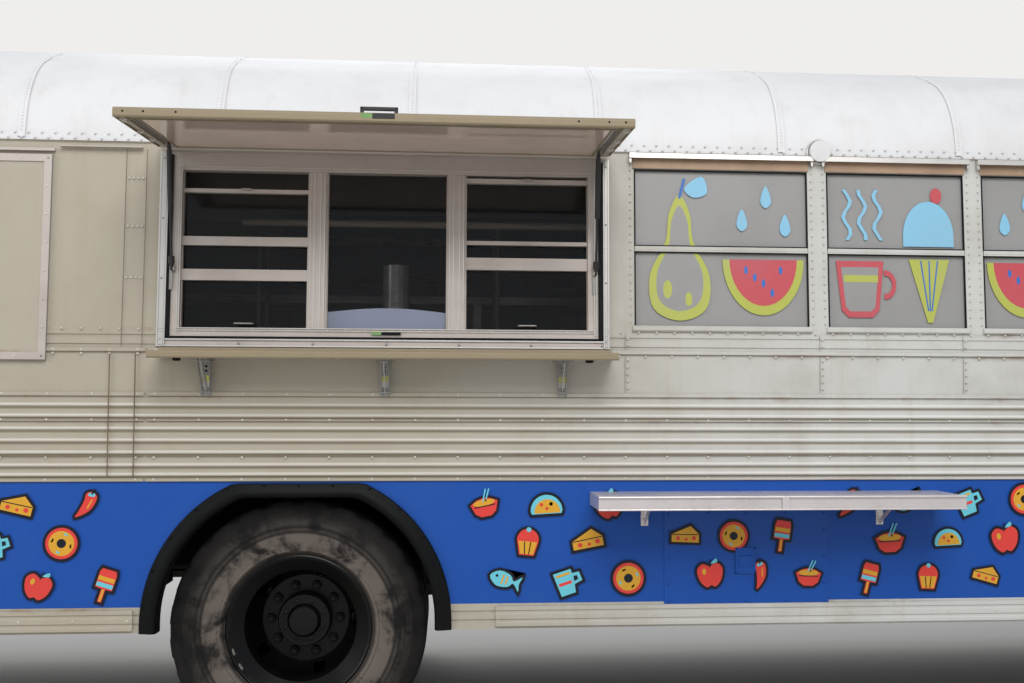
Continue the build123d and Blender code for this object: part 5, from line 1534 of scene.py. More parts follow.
@dataclass
class Wheels:
    """Tyres with their tread, and the rims, hubs, nuts and balance weights.

    Args:
        centre: distance of an outer wheel's middle from the middle of the vehicle.
        twin: distance between the two wheels of a pair.
        radius: outer radius of a tyre.
        width: width of a tyre.
        rim: radius of the rim's edge.
    """

    centre: float = 1.039
    twin: float = 0.330
    radius: float = 0.515
    width: float = 0.280
    rim: float = 0.290
    rim_half: float = 0.115
    disc: float = 0.165
    steps: int = 144
    nuts: int = 10
    nut_circle: float = 0.143

    def build(self) -> None:
        """Build the tyres and wheel details of all four corners."""
        for side, name in ((1, "street"), (-1, "curb")):
            rear, front = f"rear_roll_{name}", f"front_roll_{name}"
            tyre = Form()
            for y in (self.centre, self.centre - self.twin):
                self.tyre(tyre, 0.0, side * y, 0.0)
            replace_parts(tyre.piece(f"rear_tyre_pair_{name}", Surface.TYRE_REAR, rear, smooth=42.0),
                        f"rear_tyres_{name}")
            tyre = Form()
            self.tyre(tyre, WHEELBASE, side * self.centre, 0.5)
            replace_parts(tyre.piece(f"front_tyre_tread_{name}", Surface.TYRE_FRONT, front, smooth=42.0),
                        f"front_tyre_{name}")
            Surface.WHEEL.dress(f"rear_wheels_{name}", f"front_wheel_{name}")
            Surface.CHASSIS.dress(f"knuckle_{name}")
            self.rear_details(side, name, rear)
            self.front_details(side, name, front)

    def tyre(self, form: Form, x: float, y: float, phase: float) -> None:
        """Add one tyre: beads, ribbed side walls, shoulder lugs and grooved tread.

        Args:
            form: the form that takes it.
            x: place of the axle.
            y: middle of the tyre.
            phase: turn of the tread, in lugs.
        """
        half, r, rim = self.width / 2, self.radius, self.rim
        # radius, distance from the tyre's middle, and depth of the lug notches there
        wall = [(rim - 0.013, half - 0.060, 0.0), (rim - 0.013, self.rim_half - 0.012, 0.0),
                (rim + 0.002, self.rim_half - 0.009, 0.0), (rim + 0.012, half - 0.018, 0.0),
                (rim + 0.020, half - 0.010, 0.0), (rim + 0.022, half - 0.006, 0.0),
                (rim + 0.030, half - 0.005, 0.0), (rim + 0.033, half - 0.009, 0.0),
                (rim + 0.060, half - 0.002, 0.0), (rim + 0.090, half, 0.0), (rim + 0.120, half - 0.001, 0.0),
                (rim + 0.123, half + 0.001, 0.0), (rim + 0.130, half + 0.001, 0.0),
                (rim + 0.133, half - 0.003, 0.0), (r - 0.066, half - 0.009, 0.0),
                (r - 0.058, half - 0.007, 0.0),
                (r - 0.052, half - 0.012, 0.004), (r - 0.030, half - 0.018, 0.009),
                (r - 0.014, half - 0.024, 0.012),
                (r - 0.006, half - 0.029, 0.012), (r - 0.0025, half - 0.036, 0.011),
                (r - 0.001, half - 0.052, 0.005)]
        groove = 0.011
        tread = []
        for middle in (0.074, 0.027):
            tread += [(r - 0.0006, middle + 0.007, 0.0), (r - groove, middle + 0.005, 0.0),
                      (r - groove, middle - 0.005, 0.0), (r - 0.0002, middle - 0.007, 0.0)]
        rows = wall + tread
        rows += [(radius, -place, notch) for radius, place, notch in reversed(rows)]
        rings = []
        for radius, along, notch in rows:
            ring = []
            for s in range(self.steps):
                cut = notch if (s + int(3 * phase)) % 6 in (0, 1) else 0.0
                turn = 2 * pi * s / self.steps
                ring.append((x + (radius - cut) * cos(turn), y + along,
                             AXLE_HEIGHT + (radius - cut) * sin(turn)))
            rings.append(ring)
        form.rings(rings, closed=True)

    def nut(self, form: Form, x: float, y: float, z: float, way: int) -> None:
        """Add one wheel nut on its cone, with the end of its stud."""
        form.lathe([(0.021, 0.0), (0.019, way * 0.004), (0.019, way * 0.006)], (x, y, z), 1, 16)
        form.lathe([(0.0185, way * 0.004), (0.0185, way * 0.020), (0.0165, way * 0.023)], (x, y, z), 1, 6)
        form.lathe([(0.011, way * 0.02), (0.011, way * 0.034), (0.009, way * 0.036)], (x, y, z), 1, 10)

    def nut_ring(self, form: Form, x: float, y: float, way: int) -> None:
        """Add the nuts round a wheel's disc."""
        for n in range(self.nuts):
            turn = 2 * pi * n / self.nuts
            self.nut(form, x + self.nut_circle * cos(turn), y, AXLE_HEIGHT + self.nut_circle * sin(turn), way)

    def rim_lip(self, form: Form, x: float, side: int) -> None:
        """Add the rolled lip of an outer wheel's rim."""
        rim, half = self.rim, self.rim_half
        form.lathe([(rim - 0.013, side * (half - 0.004)), (rim - 0.010, side * half),
                    (rim - 0.002, side * (half + 0.0035)), (rim + 0.003, side * (half + 0.001)),
                    (rim + 0.003, side * (half - 0.006))], (x, side * self.centre, AXLE_HEIGHT), 1, 96,
                   closed=True)

    def rear_details(self, side: int, name: str, body: str) -> None:
        """Nuts, hub flange, rim lip and weights of a twin pair."""
        form, weights = forms(2)
        face = side * (self.centre - self.twin / 2 + 0.014)
        self.nut_ring(form, 0.0, face, side)
        # the twin wheels' discs meet half-way between the two tyres
        hub = side * (self.centre - self.twin / 2)
        form.lathe([(0.106, 0.050 * side), (0.112, 0.052 * side), (0.112, 0.060 * side),
                    (0.106, 0.064 * side),
                    (0.090, 0.0855 * side), (0.070, 0.0875 * side), (0.069, 0.092 * side),
                    (0.0635, 0.100 * side),
                    (0.0635, 0.112 * side), (0.058, 0.118 * side), (0.020, 0.122 * side)],
                   (0.0, hub, AXLE_HEIGHT), 1, 40)
        for n in range(8):
            turn = 2 * pi * (n + 0.5) / 8
            form.lathe([(0.0075, 0.086 * side), (0.0075, 0.094 * side), (0.006, 0.095 * side)],
                       (0.082 * cos(turn), hub, AXLE_HEIGHT + 0.082 * sin(turn)), 1, 6)
        self.rim_lip(form, 0.0, side)
        for turn in (3.46, 3.70):
            for n in range(4):
                a = turn + 0.02 * n
                x, z = (self.rim - 0.012) * cos(a), (self.rim - 0.012) * sin(a)
                weights.dome((x, side * (self.centre + self.rim_half - 0.010), AXLE_HEIGHT + z), 1, 0.0075,
                             side * 0.010, 8)
        form.piece(f"rear_wheel_fittings_{name}", Surface.WHEEL, body, smooth=40.0)
        weights.piece(f"balance_weights_{name}", Surface.ZINC, body)

    def front_details(self, side: int, name: str, body: str) -> None:
        """Nuts, hub cap and rim lip of a front wheel."""
        form = Form()
        seat = side * (self.centre + self.disc)
        self.nut_ring(form, WHEELBASE, seat, side)
        form.lathe([(0.086, 0.030 * side), (0.086, 0.037 * side), (0.070, 0.043 * side),
                    (0.064, 0.052 * side),
                    (0.030, 0.058 * side)], (WHEELBASE, seat - side * 0.014, AXLE_HEIGHT), 1, 40)
        self.rim_lip(form, WHEELBASE, side)
        form.piece(f"front_wheel_fittings_{name}", Surface.WHEEL, body, smooth=40.0)


@dataclass
class InfillPanel:
    """Plain panel to the left of the service window: its frame, seams, header and rivets."""

    left: float = -1.860
    right: float = -0.993
    bottom: float = 1.591
    top: float = 2.415
    stand: float = 0.010
    bar: float = 0.030
    # distance of the rivets from the frame's edge, and from one another
    inset: float = 0.015
    pitch: float = 0.11
    seams: Flat = (-0.705, -0.625)
    low_seams: Flat = (-0.748, -0.648)
    # heights of the short rows of rivets between the two seams
    groups: tuple[float, ...] = (2.327, 2.130, 1.923)
    marker: tuple[float, float, float] = (2.150, 2.492, 0.045)

    def build(self) -> None:
        """Make the frame, the seams beside it, their rivets and the marker lamp's ring."""
        place = SITE.wall(-1)
        bars, heads, lines, cover = forms(4, place)
        x0, x1, z0, z1 = self.left, self.right, self.bottom, self.top
        bars.border((x0, z0), (x1, z1), self.bar, self.stand - 0.0005, self.stand + 0.0025)
        bars.block((x0 - 0.01, 0.0, z1 + 0.014), (x1 + 0.01, 0.012, z1 + 0.026))
        bars.block((-0.640, -0.0005, 2.447), (x1 + 0.030, 0.020, 2.452))
        left, right, low, high = x0 + self.inset, x1 - self.inset, z0 + self.inset, z1 - self.inset
        spots = [(x, z) for x in spaced(left, right, self.pitch) for z in (low, high)]
        spots += [(x, z) for z in spaced(low, high, self.pitch) for x in (left, right)]
        for x, z in spots:
            heads.dome((x, self.stand + 0.0025, z), 1, 0.0048, 0.0024)
        for x in self.seams:
            lines.block((x - 0.0012, -0.0005, BELT + 0.02), (x + 0.0012, 0.0010, WALL_TOP - 0.03))
        for z in self.groups:
            for x in spaced(self.seams[0] + 0.012, self.seams[1] - 0.012, 0.018):
                heads.dome((x, 0.0, z), 1, 0.0048, 0.0025)
        cover.block((x0 + 0.029, self.stand - 0.0045, z0 + 0.029),
                    (x1 - 0.029, self.stand - 0.0025, z1 - 0.029))
        cover.piece("infill_cover", Surface.BODY)
        for x in self.low_seams:
            lines.block((x - 0.0012, -0.0005, BAND_TOP + 0.02), (x + 0.0012, 0.0075, BELT - 0.01))
        mx, mz, radius = self.marker
        out = -SITE.skin(mz)
        ring = Form()
        ring.lathe([(radius + 0.001, 0.004), (radius + 0.009, 0.003), (radius + 0.009, -0.006),
                    (radius + 0.003, -0.010), (radius + 0.001, -0.006)], (mx, out, mz), 1, 32, closed=True)
        bars.piece("infill_frame", Surface.ALUMINIUM, edge=0.0008)
        heads.piece("infill_rivets", Surface.RIVET, smooth=60.0)
        lines.piece("upper_seams", Surface.SEAM)
        ring.piece("marker_lamp_ring", Surface.ALUMINIUM_BRIGHT, smooth=50.0)


@dataclass(frozen=True)
class Motif:
    """A small printed drawing: coloured shapes over one dark outline.

    Args:
        base: the shape whose grown outline is the dark edge.
        fill: colour of the base shape.
        marks: further shapes on it, each with its colour.
    """

    base: Sequence[Flat]
    fill: Surface
    marks: tuple[tuple[Surface, Sequence[Flat]], ...] = ()


def arc(x: float, y: float, radius: float, first: float, last: float, steps: int = 10) -> list[Flat]:
    """Give the points of an arc between two directions in degrees."""
    return [(x + radius * cos(radians(first + (last - first) * n / steps)),
             y + radius * sin(radians(first + (last - first) * n / steps))) for n in range(steps + 1)]


def bar(x0: float, y0: float, x1: float, y1: float, width: float) -> tuple[Flat, ...]:
    """Give the outline of a straight stroke between two points."""
    way = Vector((x1 - x0, y1 - y0)).normalized() * width / 2
    return ((x0 - way.y, y0 + way.x), (x1 - way.y, y1 + way.x), (x1 + way.y, y1 - way.x),
            (x0 + way.y, y0 - way.x))


# drawings in a square from -1 to 1; each is built from plain rounds, arcs and strokes
MOTIFS: dict[str, Motif] = {
    "doughnut": Motif(
        disc(0, 0, 0.82, 28), Surface.RED,
        ((Surface.YELLOW, disc(0, 0, 0.66, 24)), (Surface.INK, disc(0, 0, 0.24, 16)),
         (Surface.RED, bar(-0.45, 0.25, -0.30, 0.38, 0.09)),
         (Surface.AQUA, bar(0.30, 0.42, 0.44, 0.28, 0.09)),
         (Surface.RED, bar(0.42, -0.22, 0.34, -0.40, 0.09)),
         (Surface.AQUA, bar(-0.40, -0.30, -0.26, -0.44, 0.09)))),
    "mug": Motif(
        ((-0.62, 0.55), (0.38, 0.55), (0.40, 0.30), (0.78, 0.28), (0.82, -0.22), (0.36, -0.30),
         (0.28, -0.74), (-0.52, -0.74)), Surface.AQUA,
        ((Surface.INK, ((0.42, 0.14), (0.62, 0.12), (0.62, -0.10), (0.38, -0.14))),
         (Surface.YELLOW, bar(-0.50, 0.36, 0.28, 0.36, 0.12)),
         (Surface.RED, bar(-0.48, -0.12, 0.24, -0.12, 0.16)))),
    "fish": Motif(
        smooth([(-0.86, 0.0), (-0.40, 0.42), (0.25, 0.34), (0.52, 0.06), (0.92, 0.42), (0.84, 0.0),
                (0.92, -0.42), (0.52, -0.06), (0.25, -0.34), (-0.40, -0.42)], 3), Surface.AQUA,
        ((Surface.INK, disc(-0.48, 0.10, 0.08, 10)), (Surface.YELLOW, bar(-0.12, 0.26, -0.12, -0.26, 0.09)),
         (Surface.YELLOW, bar(0.12, 0.24, 0.12, -0.24, 0.09)))),
    "chilli": Motif(
        smooth([(0.10, 0.74), (0.44, 0.60), (0.46, 0.20), (0.20, -0.36), (-0.42, -0.82), (-0.30, -0.40),
                (-0.16, 0.20), (-0.14, 0.58)], 4), Surface.RED,
        ((Surface.AQUA, smooth([(0.02, 0.66), (0.30, 0.70), (0.34, 0.52), (0.0, 0.50)], 3)),
         (Surface.INK, bar(0.16, 0.62, 0.30, 0.94, 0.10)),
         (Surface.YELLOW, bar(0.26, 0.34, 0.10, -0.20, 0.08)))),
    "cheese": Motif(
        ((-0.82, -0.44), (0.82, -0.44), (0.82, 0.06), (0.30, 0.52), (-0.82, 0.02)), Surface.YELLOW,
        ((Surface.INK, bar(-0.80, 0.0, 0.80, 0.03, 0.05)), (Surface.RED, disc(-0.44, -0.22, 0.12, 12)),
         (Surface.RED, disc(0.06, -0.26, 0.09, 12)), (Surface.RED, disc(0.52, -0.18, 0.13, 12)))),
    "cupcake": Motif(
        ((-0.62, 0.08), *arc(0, 0.12, 0.62, 180, 0, 12), (0.62, 0.08), (0.42, -0.76),
         (-0.42, -0.76)), Surface.RED,
        ((Surface.YELLOW, ((-0.54, 0.02), (0.54, 0.02), (0.38, -0.70), (-0.38, -0.70))),
         (Surface.INK, bar(-0.18, 0.0, -0.12, -0.70, 0.06)),
         (Surface.INK, bar(0.18, 0.0, 0.12, -0.70, 0.06)), (Surface.AQUA, disc(0.0, 0.70, 0.14, 12)))),
    "lolly": Motif(
        ((-0.36, 0.80), (0.36, 0.80), (0.44, 0.60), (0.44, -0.20), (0.10, -0.22), (0.10, -0.90),
         (-0.10, -0.90), (-0.10, -0.22), (-0.44, -0.20), (-0.44, 0.60)), Surface.RED,
        ((Surface.YELLOW, bar(-0.42, 0.30, 0.42, 0.30, 0.22)),
         (Surface.AQUA, bar(-0.42, -0.02, 0.42, -0.02, 0.22)),
         (Surface.YELLOW, bar(0.0, -0.24, 0.0, -0.86, 0.12)))),
    "apple": Motif(
        smooth([(0.0, 0.42), (0.40, 0.58), (0.74, 0.26), (0.62, -0.38), (0.26, -0.76), (0.0, -0.66),
                (-0.26, -0.76), (-0.62, -0.38), (-0.74, 0.26), (-0.40, 0.58)], 3), Surface.RED,
        ((Surface.INK, bar(0.0, 0.36, 0.08, 0.80, 0.08)),
         (Surface.AQUA, smooth([(0.08, 0.56), (0.40, 0.84), (0.46, 0.62)], 3)),
         (Surface.YELLOW, disc(-0.34, 0.14, 0.12, 10, 1.5)))),
    "taco": Motif(
        (*arc(0, -0.34, 0.86, 180, 0, 16), (0.80, -0.50), (-0.80, -0.50)), Surface.AQUA,
        ((Surface.YELLOW, (*arc(0.04, -0.42, 0.70, 180, 0, 14), (0.72, -0.46), (-0.64, -0.46))),
         (Surface.RED, disc(-0.26, 0.0, 0.10, 10)), (Surface.RED, disc(0.26, 0.02, 0.10, 10)),
         (Surface.RED, disc(0.02, -0.22, 0.09, 10)))),
    "noodles": Motif(
        ((-0.80, 0.12), (-0.40, 0.34), (0.0, 0.42), (0.40, 0.34), (0.80, 0.12), (0.60, -0.44),
         (0.30, -0.66), (-0.30, -0.66), (-0.60, -0.44)), Surface.RED,
        ((Surface.YELLOW, disc(0.0, 0.14, 0.64, 20, 0.3)),
         (Surface.INK, bar(-0.62, -0.06, 0.62, -0.06, 0.06)),
         (Surface.AQUA, bar(0.10, 0.20, 0.44, 0.90, 0.08)),
         (Surface.AQUA, bar(-0.06, 0.20, 0.24, 0.92, 0.08)))),
}


@dataclass
class BandArt(OnSide):
    """Printed food drawings scattered over the blue band of one side.

    Args:
        spans: stretches of band that take drawings.
        doors: stretches on a door, by the body of that door and its face's distance out.
    """

    spans: tuple[Flat, ...]
    doors: tuple[tuple[Flat, str, float], ...] = ()
    pitch: float = 0.168
    levels: tuple[float, ...] = (1.018, 0.862, 0.708)
    size: Flat = (0.066, 0.077)
    door_levels: Flat = (0.888, 0.722)
    layers: tuple[float, ...] = (0.0006, 0.0011, 0.0016, 0.0021)
    seed: int = 11

    def build(self) -> None:
        """Print each colour of each body as one piece."""
        place = SITE.wall(self.side)
        draw = Random(self.seed)
        motifs = list(MOTIFS.values())
        sheets: dict[tuple[str, Surface], Form] = {}
        spots: list[tuple[float, float, str, float]] = []
        for x0, x1 in self.spans:
            for n, x in enumerate(spaced(x0 + 0.085, x1 - 0.085, self.pitch / 2.0)):
                z = self.levels[(n * 2) % 3]
                if not any(d0 - 0.085 < x < d1 + 0.085 for (d0, d1), _, _ in self.doors):
                    spots.append((x, z, SHELL, 0.0))
        for (d0, d1), door, out in self.doors:
            spots += [(x, self.door_levels[n % 2], door, out)
                      for n, x in enumerate(spaced(d0 + 0.09, d1 - 0.09, 0.100))]
        for n, (x, z, body, face) in enumerate(spots):
            tilt = radians(draw.uniform(-22, 22))
            scale = draw.uniform(*self.size)
            self.print_one(sheets, place, body, motifs[3 * n % len(motifs)], x + draw.uniform(-0.006, 0.006),
                           z + draw.uniform(-0.008, 0.008), scale, tilt, face)
        for (body, surface), form in sheets.items():
            form.piece(self.name(f"{body}_print_{surface.name.lower()}"), surface, body)

    def print_one(self, sheets: dict[tuple[str, Surface], Form], place: Place, body: str, motif: Motif,
                  x: float, z: float, scale: float, tilt: float, face: float) -> None:
        """Add one drawing's shapes to the sheets of its colours."""
        def laid(points: Sequence[Flat]) -> list[Flat]:
            return [(x + scale * (a * cos(tilt) - b * sin(tilt)), z + scale * (a * sin(tilt) + b * cos(tilt)))
                    for a, b in points]

        def sheet(surface: Surface) -> Form:
            return sheets.setdefault((body, surface), Form(place))

        base = laid(motif.base)
        levels = [face + out for out in self.layers]
        flat(sheet(Surface.INK), grown(base, scale * 0.15), face - 0.0004, levels[0])
        flat(sheet(motif.fill), base, levels[0] - 0.0002, levels[1])
        for n, (surface, outline) in enumerate(motif.marks):
            top = levels[2] if n % 2 == 0 else levels[3]
            flat(sheet(surface), laid(outline), levels[1] - 0.0002, top)


def flat(form: Form, outline: Sequence[Flat], low: float, high: float) -> None:
    """Add a thin sheet with an outline in the wall's own place and height."""
    count = len(outline)
    points = [(x, low, z) for x, z in outline] + [(x, high, z) for x, z in outline]
    form.mesh(points, [tuple(range(count, 2 * count)), tuple(range(count))[::-1], *between(count)])


@dataclass
class WindowArt(OnSide):
    """Large cut-vinyl fruit and foods on the painted windows of one side.

    Args:
        panes: first and last edge of each window that has a drawing.
    """

    panes: tuple[Flat, ...]
    squeeze: float = 0.74
    middle: float = 0.0
    sheets: dict[Surface, Form] = field(default_factory=dict)

    def build(self) -> None:
        """Cut the shapes of each window."""
        place = SITE.wall(self.side)
        self.sheets = {surface: Form(place)
                       for surface in (Surface.LIME, Surface.ROSE, Surface.SKY, Surface.BLUE, Surface.PANE)}
        drawings = (self.pear, self.steam_cup, self.melon, self.ice_cone)
        for n, (x0, x1) in enumerate(self.panes):
            for share, step in ((0.26, 0), (0.74, 2)):
                self.middle = x0 + (x1 - x0) * share
                drawings[(n + step) % len(drawings)](self.middle)
        for surface, form in self.sheets.items():
            if form.points:
                form.piece(self.name(f"window_film_{surface.name.lower()}"), surface)

    def cut(self, surface: Surface, outline: Sequence[Flat], layer: int = 0) -> None:
        """Add one shape, narrowed about the middle of its drawing, on its layer of film."""
        out = 0.0004 - PANE_RECESS + layer * 0.0005
        flat(self.sheets[surface], [(self.middle + (x - self.middle) * self.squeeze, z) for x, z in outline],
             out - 0.0008, out)

    def pear(self, x: float) -> None:
        """A pear on the upper and lower light, cut through by the split bar."""
        body = smooth([(x, 2.30), (x + 0.06, 2.22), (x + 0.08, 2.10), (x + 0.17, 1.96), (x + 0.15, 1.82),
                       (x, 1.77), (x - 0.15, 1.82), (x - 0.17, 1.96), (x - 0.08, 2.10), (x - 0.06, 2.22)], 5)
        inner = [(x + (a - x) * 0.76, 2.02 + (b - 2.02) * 0.84) for a, b in body]
        for half in split_at(body):
            self.cut(Surface.LIME, half)
        for half in split_at(inner):
            self.cut(Surface.PANE, half, 1)
        self.cut(Surface.BLUE, bar(x, 2.285, x + 0.03, 2.370, 0.014), 1)
        self.cut(Surface.SKY, smooth([(x + 0.03, 2.33), (x + 0.13, 2.38), (x + 0.16, 2.31), (x + 0.08, 2.29)],
                                     4), 1)
        self.cut(Surface.LIME, disc(x - 0.07, 1.90, 0.026, 14, 1.5), 2)
        self.cut(Surface.LIME, disc(x + 0.05, 1.86, 0.020, 14, 1.5), 2)

    def steam_cup(self, x: float) -> None:
        """A cup on the lower light and three wisps of steam on the upper."""
        cup = [(x - 0.16, 2.03), (x + 0.12, 2.03), (x + 0.09, 1.82), (x + 0.05, 1.79), (x - 0.09, 1.79),
               (x - 0.13, 1.82)]
        self.cut(Surface.ROSE, cup)
        self.cut(Surface.PANE, grown(cup, -0.026), 1)
        ring = arc(x + 0.13, 1.93, 0.062, 100, -100, 12)
        hole = [(a * 0.62 + (x + 0.13) * 0.38, b * 0.62 + 1.93 * 0.38) for a, b in reversed(ring)]
        self.cut(Surface.ROSE, ring + hole)
        self.cut(Surface.LIME, bar(x - 0.115, 1.955, x + 0.085, 1.955, 0.030), 2)
        for n, shift in enumerate((-0.09, 0.0, 0.09)):
            wisp = [(x + shift + 0.022 * sin(k * 1.15 + n), 2.12 + 0.024 * k) for k in range(10)]
            left = [(a - 0.011, b) for a, b in wisp]
            right = [(a + 0.011, b) for a, b in reversed(wisp)]
            self.cut(Surface.SKY, left + right)

    def melon(self, x: float) -> None:
        """A slice of melon across the lower light, with drops above."""
        self.cut(Surface.LIME, [*arc(x, 2.03, 0.235, 180, 360, 20)])
        self.cut(Surface.ROSE, [*arc(x, 2.03, 0.195, 180, 360, 18)], 1)
        for shift, drop in ((-0.10, 0.045), (0.0, 0.10), (0.10, 0.045), (-0.05, 0.075), (0.05, 0.14)):
            self.cut(Surface.BLUE, disc(x + shift, 2.03 - drop, 0.011, 10, 1.6), 2)
        for shift, z in ((-0.12, 2.18), (0.02, 2.28), (0.13, 2.16)):
            self.cut(Surface.SKY, smooth([(x + shift, z + 0.065), (x + shift + 0.032, z),
                                          (x + shift, z - 0.03), (x + shift - 0.032, z)], 4))

    def ice_cone(self, x: float) -> None:
        """A cone on the lower light and its scoop on the upper."""
        self.cut(Surface.LIME, [(x - 0.12, 2.04), (x + 0.12, 2.04), (x + 0.015, 1.77), (x - 0.015, 1.77)])
        for shift in (-0.05, 0.0, 0.05):
            self.cut(Surface.BLUE, bar(x + shift, 2.035, x + shift * 0.2, 1.82, 0.008), 1)
        scoop = [(x - 0.15, 2.095), (x + 0.15, 2.095), *arc(x, 2.14, 0.15, 0, 180, 18)]
        self.cut(Surface.SKY, scoop)
        self.cut(Surface.ROSE, disc(x + 0.05, 2.315, 0.034, 16), 1)


def split_at(outline: Sequence[Flat]) -> list[list[Flat]]:
    """Cut an outline into what lies above the split bar and what lies below it."""
    above = [(x, max(z, SPLIT_TOP + 0.004)) for x, z in outline if z > SPLIT_BOTTOM - 0.03]
    below = [(x, min(z, SPLIT_BOTTOM - 0.004)) for x, z in outline if z < SPLIT_TOP + 0.03]
    return [above, below]


@dataclass
class FrontEnd:
    """Front face: grille slats, headlamp bezels, indicators, roof markers, wipers, the front band and a blank
    plate.

    Args:
        face: place of the flat front along the vehicle.
    """

    face: float = FRONT_END
    lamp_out: float = 0.700
    lamp_height: float = 0.950
    lamp_radius: float = 0.095
    indicator_out: float = 0.900
    marker_height: float = 2.62
    screen_bottom: float = 1.520
    grille: tuple[float, float, float] = (0.760, 1.150, 0.450)

    def build(self) -> None:
        """Make the pieces and dress the CAD nodes of the front."""
        Surface.BODY.dress("front_cap")
        Surface.CHASSIS.dress("bumpers")
        Surface.LENS_CLEAR.dress("lamps")
        Surface.CAB_GLASS.dress("cab_glass")
        self.lamps()
        self.grille_slats()
        self.wipers()
        self.bands()

    def lamps(self) -> None:
        """Bezels and lenses of the headlamps, and the indicators beside them."""
        bezel, lens, amber = forms(3)
        r = self.lamp_radius
        for side in (1, -1):
            centre = (self.face + 0.012, side * self.lamp_out, self.lamp_height)
            lens.lathe([(r * 0.93, 0.0005), (r * 0.86, 0.007), (r * 0.55, 0.014), (0.004, 0.017)], centre, 0,
                       40)
            bezel.lathe([(r - 0.007, -0.002), (r - 0.005, 0.006), (r + 0.004, 0.010), (r + 0.017, 0.004),
                         (r + 0.019, -0.0115), (r + 0.002, -0.0115)], centre, 0, 40, closed=True)
            beside = (side * self.indicator_out, self.lamp_height)
            amber.prism(moved(rounded(0.100, 0.150, 0.030), *beside), 0, self.face + 0.0003,
                        self.face + 0.020)
            bezel.prism(moved(rounded(0.116, 0.166, 0.036), *beside), 0, self.face - 0.002, self.face + 0.008)
            for y in (0.30, 0.62):
                self.marker(amber, side * y)
        self.marker(amber, 0.0)
        lens.piece("headlamp_lenses", Surface.LENS_CLEAR, smooth=60.0)
        bezel.piece("lamp_bezels", Surface.ALUMINIUM_BRIGHT, smooth=45.0)
        amber.piece("front_indicators", Surface.LENS_AMBER, edge=0.003)

    def marker(self, amber: Form, y: float) -> None:
        """Add one roof marker, seated on the front skin at its height."""
        skin = skin_hit("front_cap", SITE.at(self.face + 1.0, 0.0, self.marker_height), Vector((-1, 0, 0)))
        seat = skin.x - SITE.axle
        amber.prism(moved(rounded(0.100, 0.036, 0.016), y, self.marker_height), 0, seat + 0.001, seat + 0.026)

    def grille_slats(self) -> None:
        """Slats tilted in the slots, and a frame round them."""
        slats, rim = forms(2)
        low, high, half = self.grille
        for z in spaced(low + 0.02, high - 0.02, 0.019):
            slats.prism([(self.face - 0.020, z), (self.face - 0.018, z + 0.0018),
                         (self.face - 0.004, z - 0.006),
                         (self.face - 0.006, z - 0.0078)], 1, -half + 0.006, half - 0.006)
        for y0, y1, z0, z1 in ((-half - 0.026, half + 0.026, high - 0.002, high + 0.024),
                               (-half - 0.026, half + 0.026, low - 0.024, low + 0.002),
                               (-half - 0.026, -half - 0.002, low, high),
                               (half + 0.002, half + 0.026, low, high)):
            rim.block((self.face - 0.001, y0, z0), (self.face + 0.007, y1, z1))
        slats.piece("grille_slats", Surface.PLASTIC)
        rim.piece("grille_frame", Surface.ALUMINIUM, edge=0.002)

    def wipers(self) -> None:
        """Two wipers with their arms and blades on the windscreen."""
        arms, blades, rubber = forms(3)
        low = self.screen_bottom
        for side in (1, -1):
            foot = (self.face + 0.012, side * 0.36, low - 0.055)
            arms.lathe([(0.024, -0.014), (0.024, 0.006), (0.016, 0.014)], foot, 0, 20)
            tip = (self.face - 0.005, side * 0.44, low + 0.34)
            arms.tube([(foot[0] + 0.008, foot[1], foot[2]),
                       (foot[0] + 0.016, foot[1] + side * 0.02, foot[2] + 0.10),
                       (tip[0] + 0.016, tip[1], tip[2])], 0.0055, 8)
            blades.tube([(self.face + 0.005, side * 0.425, low + 0.05), (tip[0] + 0.010, side * 0.44, tip[2]),
                         (self.face - 0.010, side * 0.455, low + 0.62)], 0.0045, 6)
            rubber.tube([(self.face - 0.002, side * 0.425, low + 0.05),
                         (self.face - 0.016, side * 0.455, low + 0.62)],
                        0.0032, 6)
        arms.piece("wiper_arms", Surface.GASKET, smooth=50.0)
        blades.piece("wiper_blades", Surface.GASKET)
        rubber.piece("wiper_rubbers", Surface.GASKET)

    def bands(self) -> None:
        """Blue band across the front face, its panel seams, rivets and a blank plate holder."""
        band, heads, plate = forms(3)
        half = self.grille[2]
        for y0, y1 in ((-0.985, -half - 0.030), (half + 0.030, 0.985)):
            for z0, z1 in ((1.060, BAND_TOP), (BAND_BOTTOM + 0.08, 0.835)):
                band.block((self.face - 0.0005, y0, z0), (self.face + 0.0012, y1, z1))
        for z in (1.190, 1.470):
            band.block((self.face - 0.0005, -0.98, z), (self.face + 0.0022, 0.98, z + 0.016))
            for y in spaced(-0.96, 0.96, 0.12):
                heads.dome((self.face + 0.002, y, z + 0.008), 0, 0.0052, 0.0026)
        plate.block((self.face + 0.131, -0.155, 0.500), (self.face + 0.1325, 0.155, 0.655))
        band.piece("front_band", Surface.BAND)
        heads.piece("front_rivets", Surface.RIVET, smooth=60.0)
        plate.piece("front_plate", Surface.LABEL_WHITE, edge=0.001, slot="bumper_paint")


def skin_hit(node: str, start: Vector, way: Vector) -> Vector:
    """Find where a ray from outside first meets a CAD node.

    Args:
        node: the node's name.
        start: start of the ray in the frame.
        way: direction of the ray.

    Returns:
        The point where it meets the node.
    """
    found, spot, _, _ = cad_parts[node].ray_cast(start, way)
    if not found:
        raise ValueError(f"no skin of {node} in the ray's way")
    return spot


